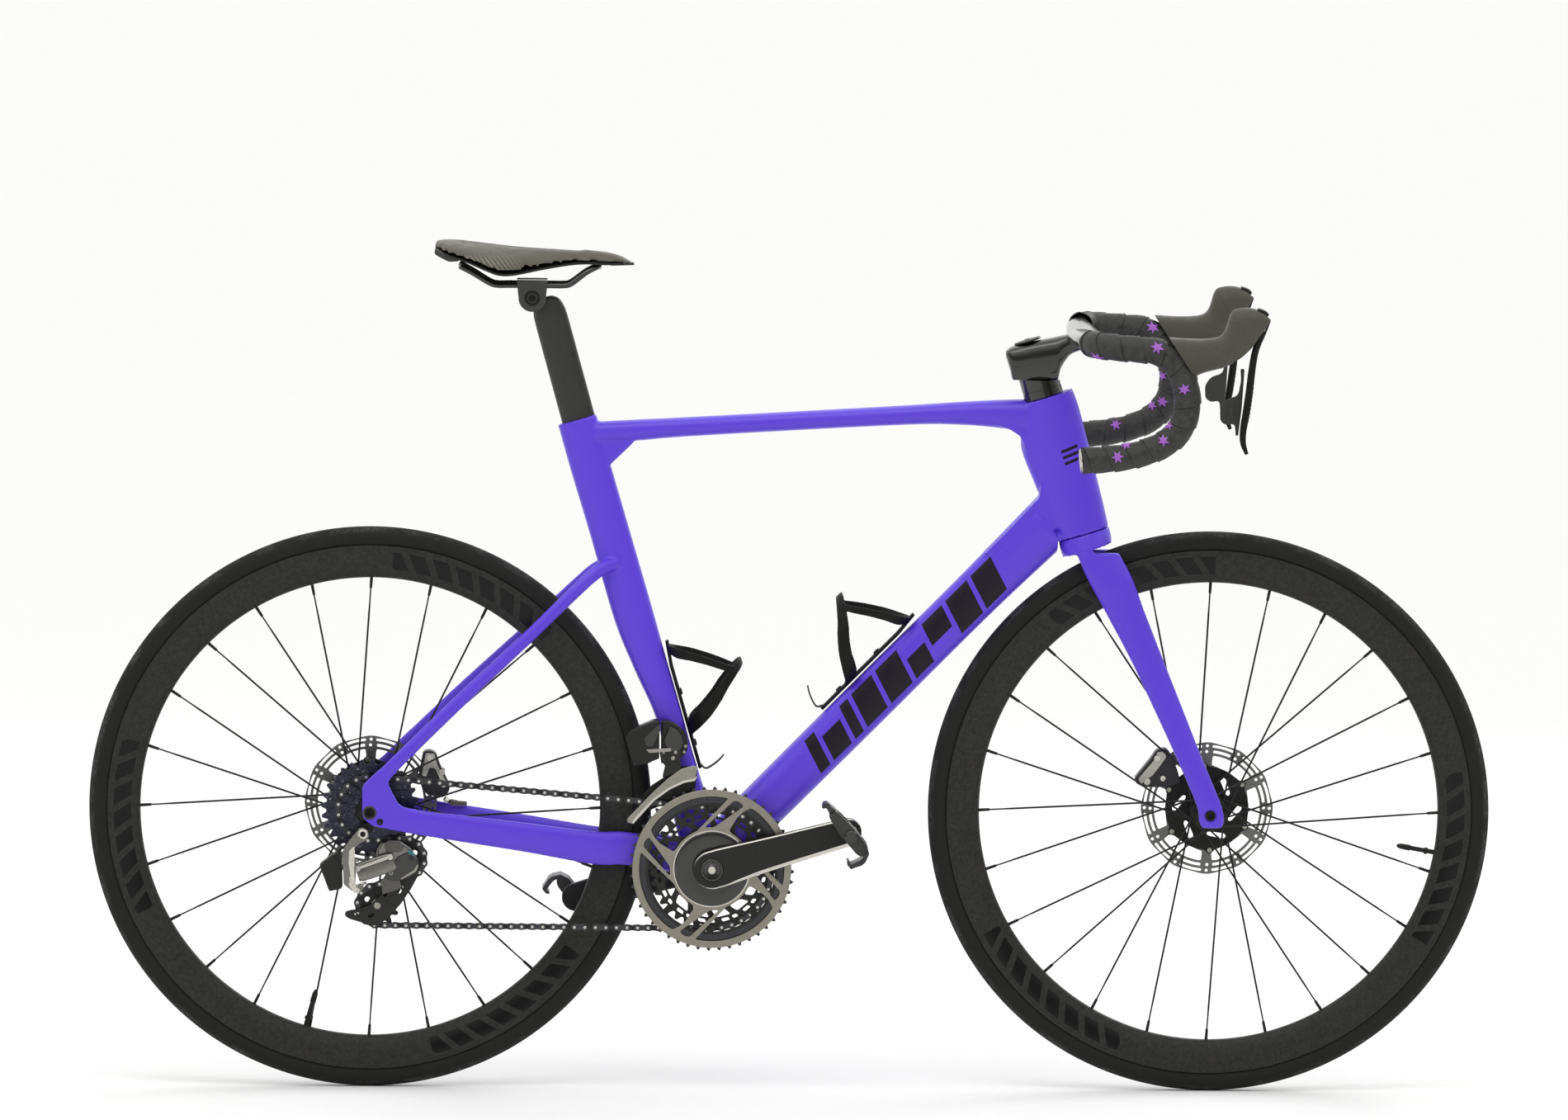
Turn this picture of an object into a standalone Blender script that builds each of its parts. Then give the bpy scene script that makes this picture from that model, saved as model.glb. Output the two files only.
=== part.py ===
"""Road bicycle with integrated cockpit, disc brakes and wireless gears.

Frame of the part: origin on the ground midway between the axles, +X forward, +Z up,
the drive side at -Y.  Lengths are in metres.
"""
import math

import bmesh
import bpy
import numpy as np
from mathutils import Matrix, Vector

# ---------------------------------------------------------------- driving dimensions
WHEELBASE = 1.012
WHEEL_RADIUS = 0.339                      # 700 x 28 tyre
REAR_AXLE = Vector((-WHEELBASE / 2, 0, WHEEL_RADIUS))
FRONT_AXLE = Vector((WHEELBASE / 2, 0, WHEEL_RADIUS))
CRANK_AXIS = Vector((-0.094, 0, 0.2705))
CRANK_LENGTH = 0.1725
CRANK_ANGLE = math.radians(16.0)          # rest angle of the right arm above the horizontal
CHAIN_PITCH = 0.0127
STEER_BASE = Vector((0.3532, 0, 0.6757))  # steering axis at the head tube's lower face
STEER_UP = Vector((-0.2924, 0, 0.9563))
STEER_FORE = Vector((0.9563, 0, 0.2924))
HEAD_LENGTH = 0.1708
STEM_FLOOR = 0.8606                       # level underside of the stem, where the spacer ends
POST_BASE = Vector((-0.2575, 0, 0.8080))
POST_UP = Vector((-0.2680, 0, 0.9634)).normalized()
REAR_DROPOUT = 0.071                      # half of the 142 mm rear spacing
FRONT_DROPOUT = 0.050                     # half of the 100 mm front spacing
ROTOR_RADIUS = 0.080
REAR_ROTOR_Y = 0.0605
FRONT_ROTOR_Y = 0.0385
AXLE_RADIUS = 0.006
INNER_RING_Y = -0.0415
OUTER_RING_Y = -0.0490
INNER_RING_TEETH = 36
OUTER_RING_TEETH = 48
COG_TEETH = (10, 11, 12, 13, 14, 15, 16, 17, 19, 21, 24, 28)
CHAIN_COG = 8                             # index of the cog that the chain lies on
COG_SPACING = 0.0037
SMALL_COG_Y = -0.0615
PULLEY_TEETH = 12
GUIDE_PULLEY = Vector((-0.4640, -0.0320, 0.2790))
TENSION_PULLEY = Vector((-0.4965, -0.0320, 0.2225))
HANGER_BOLT = Vector((-0.5139, 0, 0.3137))
SPOKES_PER_SIDE = 12
SPOKE_LEAN = math.radians(60)             # between a spoke's two ends: laced two cross
RIM_INNER_RADIUS = 0.277
HOOD_Y = 0.210
LEVER_PIVOT = Vector((0.5560, 0, 0.9360))
GAP = 0.0003                              # clearance that touching pieces keep
WHEEL_SEGMENTS = 36
CROWN_SWEEP = 0.0395                     # radius that the turning fork crown needs
AXIS_Y = Vector((0, 1, 0))

FINISH = {
    "paint": ((0.105, 0.056, 0.63), 0.38, 0.0),
    "carbon": ((0.012, 0.012, 0.013), 0.45, 0.0),
    "rubber": ((0.020, 0.020, 0.019), 0.75, 0.0),
    "tape": ((0.018, 0.018, 0.018), 0.65, 0.0),
    "hood": ((0.060, 0.058, 0.045), 0.60, 0.0),
    "saddle": ((0.045, 0.044, 0.036), 0.60, 0.0),
    "plastic": ((0.015, 0.015, 0.016), 0.40, 0.0),
    "black_metal": ((0.020, 0.020, 0.021), 0.35, 0.7),
    "steel": ((0.46, 0.45, 0.43), 0.32, 1.0),
    "dark_steel": ((0.16, 0.16, 0.17), 0.35, 1.0),
    "silver": ((0.62, 0.61, 0.58), 0.30, 1.0),
}


# ---------------------------------------------------------------- helpers
def clear_scene():
    for old in list(bpy.data.objects):
        bpy.data.objects.remove(old, do_unlink=True)


def finish(name):
    found = bpy.data.materials.get(name)
    if found:
        return found
    colour, roughness, metallic = FINISH[name]
    made = bpy.data.materials.new(name)
    made.use_nodes = True
    shader = made.node_tree.nodes["Principled BSDF"]
    shader.inputs["Base Color"].default_value = (*colour, 1)
    shader.inputs["Roughness"].default_value = roughness
    shader.inputs["Metallic"].default_value = metallic
    return made


def make(name, shape, material, origin=(0, 0, 0), smooth=35):
    """Turn a bmesh in world coordinates into an object with its origin on a joint axis."""
    origin = Vector(origin)
    bmesh.ops.translate(shape, vec=-origin, verts=shape.verts)
    bmesh.ops.recalc_face_normals(shape, faces=shape.faces)
    mesh = bpy.data.meshes.new(name)
    shape.to_mesh(mesh)
    shape.free()
    if mesh.polygons and signed_volume(mesh) < 0:
        mesh.flip_normals()
    mesh.shade_smooth()
    mesh.set_sharp_from_angle(angle=math.radians(smooth))
    mesh.materials.append(finish(material))
    thing = bpy.data.objects.new(name, mesh)
    thing.location = origin
    bpy.context.scene.collection.objects.link(thing)
    return thing


def signed_volume(mesh):
    mesh.calc_loop_triangles()
    total = 0.0
    for tri in mesh.loop_triangles:
        a, b, c = (mesh.vertices[i].co for i in tri.vertices)
        total += a.dot(b.cross(c))
    return total


def combine(base, others, operation):
    """Boolean the base with each of the others, apply it and remove the others."""
    for other in others:
        step = base.modifiers.new("step", "BOOLEAN")
        step.operation = operation
        step.solver = "EXACT"
        step.object = other
        bpy.context.view_layer.update()
        graph = bpy.context.evaluated_depsgraph_get()
        mesh = bpy.data.meshes.new_from_object(base.evaluated_get(graph))
        base.modifiers.remove(step)
        old = base.data
        base.data = mesh
        mesh.name = old.name
        bpy.data.meshes.remove(old)
        bpy.data.objects.remove(other, do_unlink=True)
    base.data.shade_smooth()
    base.data.set_sharp_from_angle(angle=math.radians(35))
    return base


def join(base, *others):
    return combine(base, others, "UNION")


def cut(base, *others):
    return combine(base, others, "DIFFERENCE")


def oval(centre, across, along, half_across, half_along, sides=12, power=2.0):
    """Points of a superellipse round a centre."""
    points = []
    for i in range(sides):
        turn = 2 * math.pi * (i + 0.5) / sides
        c, s = math.cos(turn), math.sin(turn)
        u = math.copysign(abs(c) ** (2 / power), c) * half_across
        v = math.copysign(abs(s) ** (2 / power), s) * half_along
        points.append(centre + across * u + along * v)
    return points


def loft(rings, closed=False):
    """Skin a list of rings with equal point counts; the ends are capped unless closed."""
    shape = bmesh.new()
    rows = [[shape.verts.new(p) for p in ring] for ring in rings]
    count = len(rows[0])
    pairs = list(zip(rows, rows[1:]))
    if closed:
        pairs.append((rows[-1], rows[0]))
    for low, high in pairs:
        for i in range(count):
            j = (i + 1) % count
            shape.faces.new((low[i], low[j], high[j], high[i]))
    if not closed:
        shape.faces.new(rows[0])
        shape.faces.new(list(reversed(rows[-1])))
    return shape


def tangents(path):
    out = []
    for i in range(len(path)):
        before = path[max(i - 1, 0)]
        after = path[min(i + 1, len(path) - 1)]
        out.append((after - before).normalized())
    return out


def sweep(stations, sides=12, power=2.0, side=AXIS_Y):
    """Loft ovals along a path.  A station is (x, y, z, half depth, half width)."""
    path = [Vector(s[:3]) for s in stations]
    rings = []
    for point, heading, station in zip(path, tangents(path), stations):
        along = (side - heading * side.dot(heading)).normalized()
        across = along.cross(heading)
        rings.append(oval(point, across, along, station[3], station[4], sides, power))
    return loft(rings)


def carried_frames(path, start):
    """Across vectors carried along a path without twist."""
    across = start
    out = []
    for heading in tangents(path):
        across = (across - heading * across.dot(heading)).normalized()
        out.append((across, heading.cross(across)))
    return out


def rod(path, radius, sides=8, start=Vector((0, 0, 1))):
    """A round rod along a path; radius is one number or one per point."""
    radii = radius if isinstance(radius, (list, tuple)) else [radius] * len(path)
    rings = []
    for point, (across, along), r in zip(path, carried_frames(path, start), radii):
        rings.append(oval(point, across, along, r, r, sides))
    return loft(rings)


def sleeve(path, outer, inner, sides=10, start=Vector((0, 0, 1))):
    """A hollow tube along a path, open at both ends."""
    shape = bmesh.new()
    walls = []
    for radius in (outer, inner):
        rows = []
        for point, (across, along) in zip(path, carried_frames(path, start)):
            ring = oval(point, across, along, radius, radius, sides)
            rows.append([shape.verts.new(p) for p in ring])
        walls.append(rows)
    for rows in walls:
        for low, high in zip(rows, rows[1:]):
            for i in range(sides):
                j = (i + 1) % sides
                shape.faces.new((low[i], low[j], high[j], high[i]))
    for end in (0, -1):
        for i in range(sides):
            j = (i + 1) % sides
            shape.faces.new((walls[0][end][i], walls[0][end][j], walls[1][end][j], walls[1][end][i]))
    return shape


def turned(profile, centre=(0, 0, 0), segments=20, axis=AXIS_Y, phase=0.5):
    """Turn a closed profile of (radius, height) points round an axis."""
    centre = Vector(centre)
    axis = axis.normalized()
    first = Vector((0, 0, -1)) if abs(axis.z) < 0.9 else Vector((1, 0, 0))
    first = (first - axis * first.dot(axis)).normalized()
    second = axis.cross(first)
    rings = []
    for i in range(segments):
        turn = 2 * math.pi * (i + phase) / segments
        out = first * math.cos(turn) + second * math.sin(turn)
        rings.append([centre + out * r + axis * h for r, h in profile])
    return loft(rings, closed=True)


def disc(radius, low, high, centre=(0, 0, 0), segments=24, axis=AXIS_Y):
    """A solid cylinder from low to high along an axis."""
    centre = Vector(centre)
    first = Vector((0, 0, -1)) if abs(axis.z) < 0.9 else Vector((1, 0, 0))
    first = (first - axis * first.dot(axis)).normalized()
    second = axis.cross(first)
    rings = [oval(centre + axis * h, first, second, radius, radius, segments) for h in (low, high)]
    return loft(rings)


def washer(outer, inner, low, high, centre=(0, 0, 0), segments=24):
    return turned([(outer, low), (outer, high), (inner, high), (inner, low)], centre, segments)


def prism(outline, low, high):
    """Extrude an outline of (x, z) points between two heights of y."""
    rings = [[Vector((x, y, z)) for x, z in outline] for y in (low, high)]
    return loft(rings)


def gear(teeth, root, tip, inner, low, high, centre):
    """A toothed ring: each tooth has one root point and one tip point."""
    outer = []
    bore = []
    for i in range(2 * teeth):
        turn = math.pi * (i + 0.5) / teeth
        radius = tip if i % 2 else root
        spoke = Vector((math.sin(turn), 0, -math.cos(turn)))
        outer.append(centre + spoke * radius)
        bore.append(centre + spoke * inner)
    rings = []
    for points, y in ((outer, low), (outer, high), (bore, high), (bore, low)):
        rings.append([p + AXIS_Y * y for p in points])
    return loft(rings, closed=True)


def pitch_radius(teeth):
    return CHAIN_PITCH / (2 * math.sin(math.pi / teeth))


def steer(up, fore=0.0, y=0.0):
    """A point given along and ahead of the steering axis."""
    return STEER_BASE + STEER_UP * up + STEER_FORE * fore + AXIS_Y * y


def mirrored(stations, side):
    return [(s[0], s[1] * side, *s[2:]) for s in stations]


# ---------------------------------------------------------------- frame
def build_frame():
    seat = [(-0.2595, 0, 0.8085, 0.0238, 0.0168), (-0.2440, 0, 0.7550, 0.0240, 0.0165),
            (-0.2200, 0, 0.6753, 0.0237, 0.0165), (-0.1908, 0, 0.5758, 0.0240, 0.0165),
            (-0.1702, 0, 0.5162, 0.0206, 0.0165), (-0.1481, 0, 0.4566, 0.0162, 0.0170),
            (-0.1330, 0, 0.4000, 0.0170, 0.0190), (-0.1200, 0, 0.3420, 0.0230, 0.0240),
            (-0.1000, 0, 0.2800, 0.0250, 0.0300)]
    frame = make("frame", sweep(seat, 10, 2.6), "paint")
    down = [(-0.0900, 0, 0.2840, 0.0275, 0.0330), (-0.0300, 0, 0.3445, 0.0285, 0.0290),
            (0.0832, 0, 0.4588, 0.0292, 0.0240), (0.2200, 0, 0.5970, 0.0292, 0.0230),
            (0.3080, 0, 0.6850, 0.0320, 0.0240)]
    top = [(-0.2500, 0, 0.7925, 0.0125, 0.0150), (-0.1898, 0, 0.7959, 0.0127, 0.0170),
           (-0.1161, 0, 0.8011, 0.0115, 0.0175), (0.1230, 0, 0.8155, 0.0115, 0.0175),
           (0.2027, 0, 0.8188, 0.0138, 0.0180), (0.2625, 0, 0.8178, 0.0180, 0.0190),
           (0.3150, 0, 0.8130, 0.0240, 0.0200)]
    parts = [make("down", sweep(down, 10, 2.8), "paint"), make("top", sweep(top, 10, 2.6), "paint")]
    head = []
    for up, back, fore, half in ((0.0, 0.0325, 0.0302, 0.0292), (0.03, 0.036, 0.0320, 0.0270),
                                 (0.075, 0.041, 0.0340, 0.0240), (0.12, 0.044, 0.0358, 0.0240),
                                 (0.15, 0.033, 0.0366, 0.0252), (HEAD_LENGTH, 0.0245, 0.0352, 0.0252)):
        middle = steer(up, (fore - back) / 2)
        head.append(oval(middle, STEER_FORE, AXIS_Y, (fore + back) / 2, half, 12, 2.5))
    parts.append(make("head", loft(head), "paint"))
    parts.append(make("gusset_rear", prism([(-0.236, 0.775), (-0.222, 0.752), (-0.192, 0.781),
                                            (-0.196, 0.800), (-0.240, 0.800)], -0.012, 0.012), "paint"))
    parts.append(make("gusset_top", prism([(0.236, 0.8105), (0.262, 0.8005), (0.2745, 0.7925),
                                           (0.282, 0.774), (0.310, 0.780), (0.300, 0.820)],
                                          -0.0175, 0.0175), "paint"))
    parts.append(make("gusset_down", prism([(0.300, 0.735), (0.2975, 0.7184), (0.2785, 0.6984),
                                            (0.2570, 0.6750), (0.2330, 0.6510), (0.262, 0.640),
                                            (0.330, 0.690), (0.325, 0.735)], -0.0205, 0.0205), "paint"))
    parts.append(make("shell", disc(0.0305, -0.0430, 0.0430, CRANK_AXIS, 20), "paint"))
    for side in (-1, 1):
        offset = 0.0045 if side < 0 else 0.0     # the hanger sits inside the drive side dropout
        stay = [(-0.1150, 0.0240, 0.2755, 0.0190, 0.0100), (-0.1550, 0.0262, 0.2860, 0.0192, 0.0090),
                (-0.2000, 0.0278, 0.2925, 0.0200, 0.0080), (-0.2356, 0.0345, 0.2935, 0.0198, 0.0078),
                (-0.3153, 0.0510, 0.3068, 0.0176, 0.0075), (-0.3950, 0.0668, 0.3190, 0.0160, 0.0065),
                (-0.4400, 0.0745 + offset, 0.3262, 0.0150, 0.0048),
                (-0.4720, 0.0752 + offset, 0.3320, 0.0150, 0.0042)]
        parts.append(make("chainstay", sweep(mirrored(stay, side), 8, 2.8), "paint"))
        upper = [(-0.4870, 0.0752 + offset, 0.3860, 0.0085, 0.0042),
                 (-0.4650, 0.0745 + offset, 0.4085, 0.0080, 0.0052),
                 (-0.3950, 0.0660, 0.4762, 0.0078, 0.0062), (-0.3153, 0.0520, 0.5508, 0.0076, 0.0062),
                 (-0.2580, 0.0380, 0.6060, 0.0078, 0.0064), (-0.2330, 0.0255, 0.6275, 0.0082, 0.0068),
                 (-0.2140, 0.0120, 0.6350, 0.0085, 0.0080), (-0.1960, 0.0, 0.6355, 0.0080, 0.0080)]
        parts.append(make("seatstay", sweep(mirrored(upper, side), 8, 2.3), "paint"))
        ear = [(-0.5026, 0.3228), (-0.5148, 0.3336), (-0.5148, 0.3715), (-0.4930, 0.3925),
               (-0.4800, 0.3850), (-0.4845, 0.3740), (-0.4715, 0.3490), (-0.4560, 0.3420),
               (-0.4560, 0.3140)]
        low, high = sorted((side * (REAR_DROPOUT + offset), side * (REAR_DROPOUT + offset + 0.0084)))
        parts.append(make("dropout", prism(ear, low, high), "paint"))
    frame = join(frame, *parts)
    axle_hole = disc(AXLE_RADIUS + GAP, -0.12, 0.12, REAR_AXLE, 12)
    bore = disc(0.0195, -0.02, HEAD_LENGTH + 0.02, STEER_BASE, 16, STEER_UP)
    seat_low = disc(0.0268, -0.02, 0.0085, STEER_BASE, 16, STEER_UP)
    seat_high = disc(0.0215, HEAD_LENGTH - 0.0085, HEAD_LENGTH + 0.02, STEER_BASE, 16, STEER_UP)
    crown_room = disc(CROWN_SWEEP, -0.05, 0.0, STEER_BASE, 24, STEER_UP)
    spacer_room = disc(0.0255, HEAD_LENGTH, HEAD_LENGTH + 0.03, STEER_BASE, 16, STEER_UP)
    pocket = [oval(POST_BASE + POST_UP * s, POST_UP.cross(AXIS_Y), AXIS_Y, 0.0207, 0.0120, 12, 2.4)
              for s in (-0.112, 0.05)]
    return cut(frame, make("axle_hole", axle_hole, "paint"), make("bore", bore, "paint"),
               make("seat_low", seat_low, "paint"), make("seat_high", seat_high, "paint"),
               make("crown_room", crown_room, "paint"), make("spacer_room", spacer_room, "paint"),
               make("pocket", loft(pocket), "paint"),
               make("shell_bore", disc(0.0227, -0.06, 0.06, CRANK_AXIS, 20), "paint"))


def build_frame_fittings():
    hanger = [(-0.5020, 0.3280), (-0.5165, 0.3445), (-0.5060, 0.3520), (-0.4940, 0.3430),
              (-0.4990, 0.3250), (-0.5065, 0.3105), (-0.5165, 0.3060), (-0.5215, 0.3150),
              (-0.5150, 0.3235)]
    plate = make("derailleur_hanger", prism(hanger, -0.0752, -0.0710 - GAP), "black_metal")
    cut(plate, make("hole", disc(AXLE_RADIUS + GAP, -0.1, 0.0, REAR_AXLE, 12), "black_metal"))
    sleeve_profile = [(0.0222, -0.0432), (0.0262, -0.0433), (0.0262, -0.0445), (0.0150, -0.0445),
                      (0.0150, 0.0445), (0.0262, 0.0445), (0.0262, 0.0433), (0.0222, 0.0432)]
    make("bottom_bracket", turned(sleeve_profile, CRANK_AXIS), "black_metal")
    make("headset_lower_bearing", turned([(0.0260, 0.0008), (0.0260, 0.0080), (0.0194, 0.0080),
                                          (0.0194, 0.0008)], STEER_BASE, 16, STEER_UP), "steel")
    top = HEAD_LENGTH
    make("headset_upper_bearing", turned([(0.0209, top - 0.0080), (0.0209, top - 0.0008),
                                          (0.0147, top - 0.0008), (0.0147, top - 0.0080)],
                                         STEER_BASE, 16, STEER_UP), "steel")


def build_cage(name, foot, along, out):
    """A side-arm bottle cage: a spine on the tube and two pairs of curved straps."""
    def at(u, y, w):
        return foot + along * u + out * w + AXIS_Y * y

    spine = [oval(at(u, 0, w + 0.0025), out, AXIS_Y, 0.0022, half, 8, 4)
             for u, w, half in ((0.0, 0, 0.007), (0.05, 0, 0.009), (0.13, 0, 0.009), (0.160, 0.004, 0.006))]
    cage = make(name, loft(spine), "carbon")
    strap = [(0.050, 0.004, 0.003), (0.056, 0.024, 0.012), (0.068, 0.0385, 0.034),
             (0.090, 0.0380, 0.056), (0.108, 0.0240, 0.078), (0.112, 0.0, 0.0845)]
    brace = [(0.146, 0.003, 0.005), (0.142, 0.026, 0.014), (0.132, 0.0385, 0.036),
             (0.112, 0.0365, 0.064), (0.105, 0.0250, 0.077)]
    arms = []
    for side in (-1, 1):
        for points, wide in ((strap, 0.0075), (brace, 0.0055)):
            path = [at(u, y * side, w) for u, y, w in points]
            rings = []
            for point, heading in zip(path, tangents(path)):
                broad = (along - heading * along.dot(heading)).normalized()
                rings.append(oval(point, broad, heading.cross(broad), wide, 0.0016, 6, 2.5))
            arms.append(make("arm", loft(rings), "carbon"))
    toe = [oval(at(u, 0, w), Vector(along), AXIS_Y, 0.002, 0.005, 6, 3)
           for u, w in ((0.003, 0.003), (0.000, 0.020), (0.008, 0.034))]
    arms.append(make("toe", loft(toe), "carbon"))
    return join(cage, *arms)


# ---------------------------------------------------------------- saddle and post
def build_saddle():
    fore = POST_UP.cross(AXIS_Y)
    post = [oval(POST_BASE + POST_UP * s, fore, AXIS_Y, half, side, 12, 2.4)
            for s, half, side in ((-0.080, 0.0203, 0.0115), (0.120, 0.0203, 0.0115),
                                  (0.135, 0.0200, 0.0115), (0.146, 0.0165, 0.0112),
                                  (0.1535, 0.0070, 0.0105))]
    origin = POST_BASE
    seatpost = make("seatpost", loft(post), "carbon", origin)
    clamp_at = Vector((-0.3145, 0, 0.9560))
    lug = make("lug", disc(0.0130, -0.0110, 0.0110, clamp_at, 20), "carbon")
    join(seatpost, lug)
    cut(seatpost, make("hole", disc(0.0037, -0.03, 0.03, clamp_at, 12), "carbon"))
    outline = [(clamp_at.x + 0.0165 * math.cos(a), clamp_at.z + 0.0165 * math.sin(a))
               for a in np.linspace(-math.pi, 0, 9)]
    outline += [(clamp_at.x + 0.0185, 0.9710), (clamp_at.x + 0.0170, 0.9782),
                (clamp_at.x - 0.0170, 0.9782), (clamp_at.x - 0.0185, 0.9710)]
    clamp = make("saddle_clamp", disc(0.0032, -0.018, 0.018, clamp_at, 12), "black_metal", clamp_at)
    jaws = [make("jaw", prism(outline, *sorted((s * 0.0128, s * 0.0275))), "black_metal") for s in (-1, 1)]
    join(clamp, *jaws)
    holes = []
    for side in (-1, 1):
        line = Vector((-0.35, side * 0.022, 0.9712))
        holes.append(make("groove", disc(0.0039, 0.0, 0.08, line, 12, Vector((1, 0, 0))), "black_metal"))
    cut(clamp, *holes)
    half_rail = [(-0.4020, 0.031, 0.9930), (-0.3860, 0.0275, 0.9860), (-0.3660, 0.0232, 0.9740),
                 (-0.3560, 0.0220, 0.9712), (-0.2780, 0.0220, 0.9712), (-0.2680, 0.0215, 0.9732),
                 (-0.2500, 0.0180, 0.9865), (-0.2380, 0.0125, 0.9925), (-0.2340, 0.0, 0.9930)]
    path = [Vector(p) for p in half_rail]
    path += [Vector((x, -y, z)) for x, y, z in reversed(half_rail[:-1])]
    make("saddle_rails", rod(path, 0.0035, 8), "black_metal", clamp_at)
    sections = ((-0.4300, 0.0300, 1.0265, 1.0165), (-0.4180, 0.0580, 1.0258, 1.0100),
                (-0.3900, 0.0700, 1.0225, 1.0030), (-0.3600, 0.0660, 1.0190, 0.9975),
                (-0.3300, 0.0520, 1.0165, 0.9945), (-0.3000, 0.0370, 1.0147, 0.9975),
                (-0.2600, 0.0245, 1.0135, 1.0005), (-0.2250, 0.0200, 1.0122, 1.0015),
                (-0.2050, 0.0160, 1.0080, 1.0005), (-0.1930, 0.0080, 1.0015, 0.9985))
    up = Vector((0, 0, 1))
    pad = [oval(Vector((x, 0, (t + b) / 2)), up, AXIS_Y, (t - b) / 2, w, 14, 2.2) for x, w, t, b in sections]
    make("saddle_padding", loft(pad), "saddle", clamp_at)
    shell = [oval(Vector((x, 0, b - 0.0022)), up, AXIS_Y, 0.0016, w - 0.003, 12, 2.4)
             for x, w, t, b in sections[:-1]]
    make("saddle_shell", loft(shell), "plastic", clamp_at)


# ---------------------------------------------------------------- fork and cockpit
def build_fork():
    def crown_ring(up, back, fore, half):
        return oval(steer(up, (fore - back) / 2), STEER_FORE, AXIS_Y, (fore + back) / 2, half, 16, 2.2)

    crown = [crown_ring(-0.0008, 0.0325, 0.0302, 0.0290), crown_ring(-0.0100, 0.0335, 0.0302, 0.0320),
             crown_ring(-0.0205, 0.0335, 0.0285, 0.0355)]
    fork = make("fork", loft(crown), "paint", STEER_BASE)
    race = make("race", disc(0.0188, -0.006, 0.0090, STEER_BASE, 16, STEER_UP), "paint")
    steerer = make("steerer", disc(0.0143, 0.005, 0.2400, STEER_BASE, 16, STEER_UP), "paint")
    parts = [race, steerer]
    for side in (-1, 1):
        blade = []
        for z, rear, fore, y, half in ((0.6530, 0.3430, 0.3945, 0.0268, 0.0082),
                                       (0.6238, 0.3550, 0.4100, 0.0305, 0.0088),
                                       (0.5842, 0.3770, 0.4250, 0.0328, 0.0085),
                                       (0.5249, 0.4090, 0.4485, 0.0370, 0.0085),
                                       (0.4657, 0.4376, 0.4724, 0.0430, 0.0082),
                                       (0.4064, 0.4654, 0.4962, 0.0507, 0.0076),
                                       (0.3668, 0.4830, 0.5130, 0.0548, 0.0066),
                                       (0.3470, 0.4905, 0.5205, 0.0562, 0.0060),
                                       (0.3330, 0.4925, 0.5225, 0.0562, 0.0060),
                                       (0.3240, 0.4960, 0.5200, 0.0562, 0.0058)):
            middle = Vector(((rear + fore) / 2, side * y, z))
            blade.append(oval(middle, Vector((1, 0, 0)), AXIS_Y, (fore - rear) / 2, half, 10, 2.5))
        parts.append(make("blade", loft(blade), "paint"))
    join(fork, *parts)
    hollow = disc(0.0115, -0.03, 0.30, STEER_BASE, 16, STEER_UP)
    cut(fork, make("hollow", hollow, "paint"),
        make("axle_hole", disc(AXLE_RADIUS + GAP, -0.1, 0.1, FRONT_AXLE, 12), "paint"))
    top, bottom = 0.2120, HEAD_LENGTH + 0.0006
    spacer = turned([(0.0240, bottom), (0.0236, top), (0.0147, top), (0.0147, bottom)],
                    STEER_BASE, 16, STEER_UP)
    make("headset_spacer", spacer, "plastic", STEER_BASE)
    level = STEM_FLOOR - GAP
    above = prism([(0.23, level), (0.35, level), (0.35, level + 0.05), (0.23, level + 0.05)], -0.06, 0.06)
    cut(bpy.data.objects["headset_spacer"], make("above", above, "plastic"))


def bar_path(side):
    """Centre line of one half of the handlebar, from the middle to its end."""
    points = [(0.3530, 0.000, 0.9125), (0.3515, 0.070, 0.9135), (0.3505, 0.140, 0.9145),
              (0.3530, 0.172, 0.9150), (0.3620, 0.193, 0.9145), (0.3790, 0.2045, 0.9130),
              (0.4050, 0.2090, 0.9110), (0.4290, HOOD_Y, 0.9085), (0.4470, HOOD_Y, 0.8990),
              (0.4590, HOOD_Y, 0.8830), (0.4655, HOOD_Y, 0.8630), (0.4665, 0.2105, 0.8420),
              (0.4600, 0.2110, 0.8190), (0.4460, 0.2115, 0.8030), (0.4240, 0.2120, 0.7910),
              (0.3920, 0.2130, 0.7825), (0.3420, 0.2140, 0.7775)]
    return [Vector((x, side * y, z)) for x, y, z in points]


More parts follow.
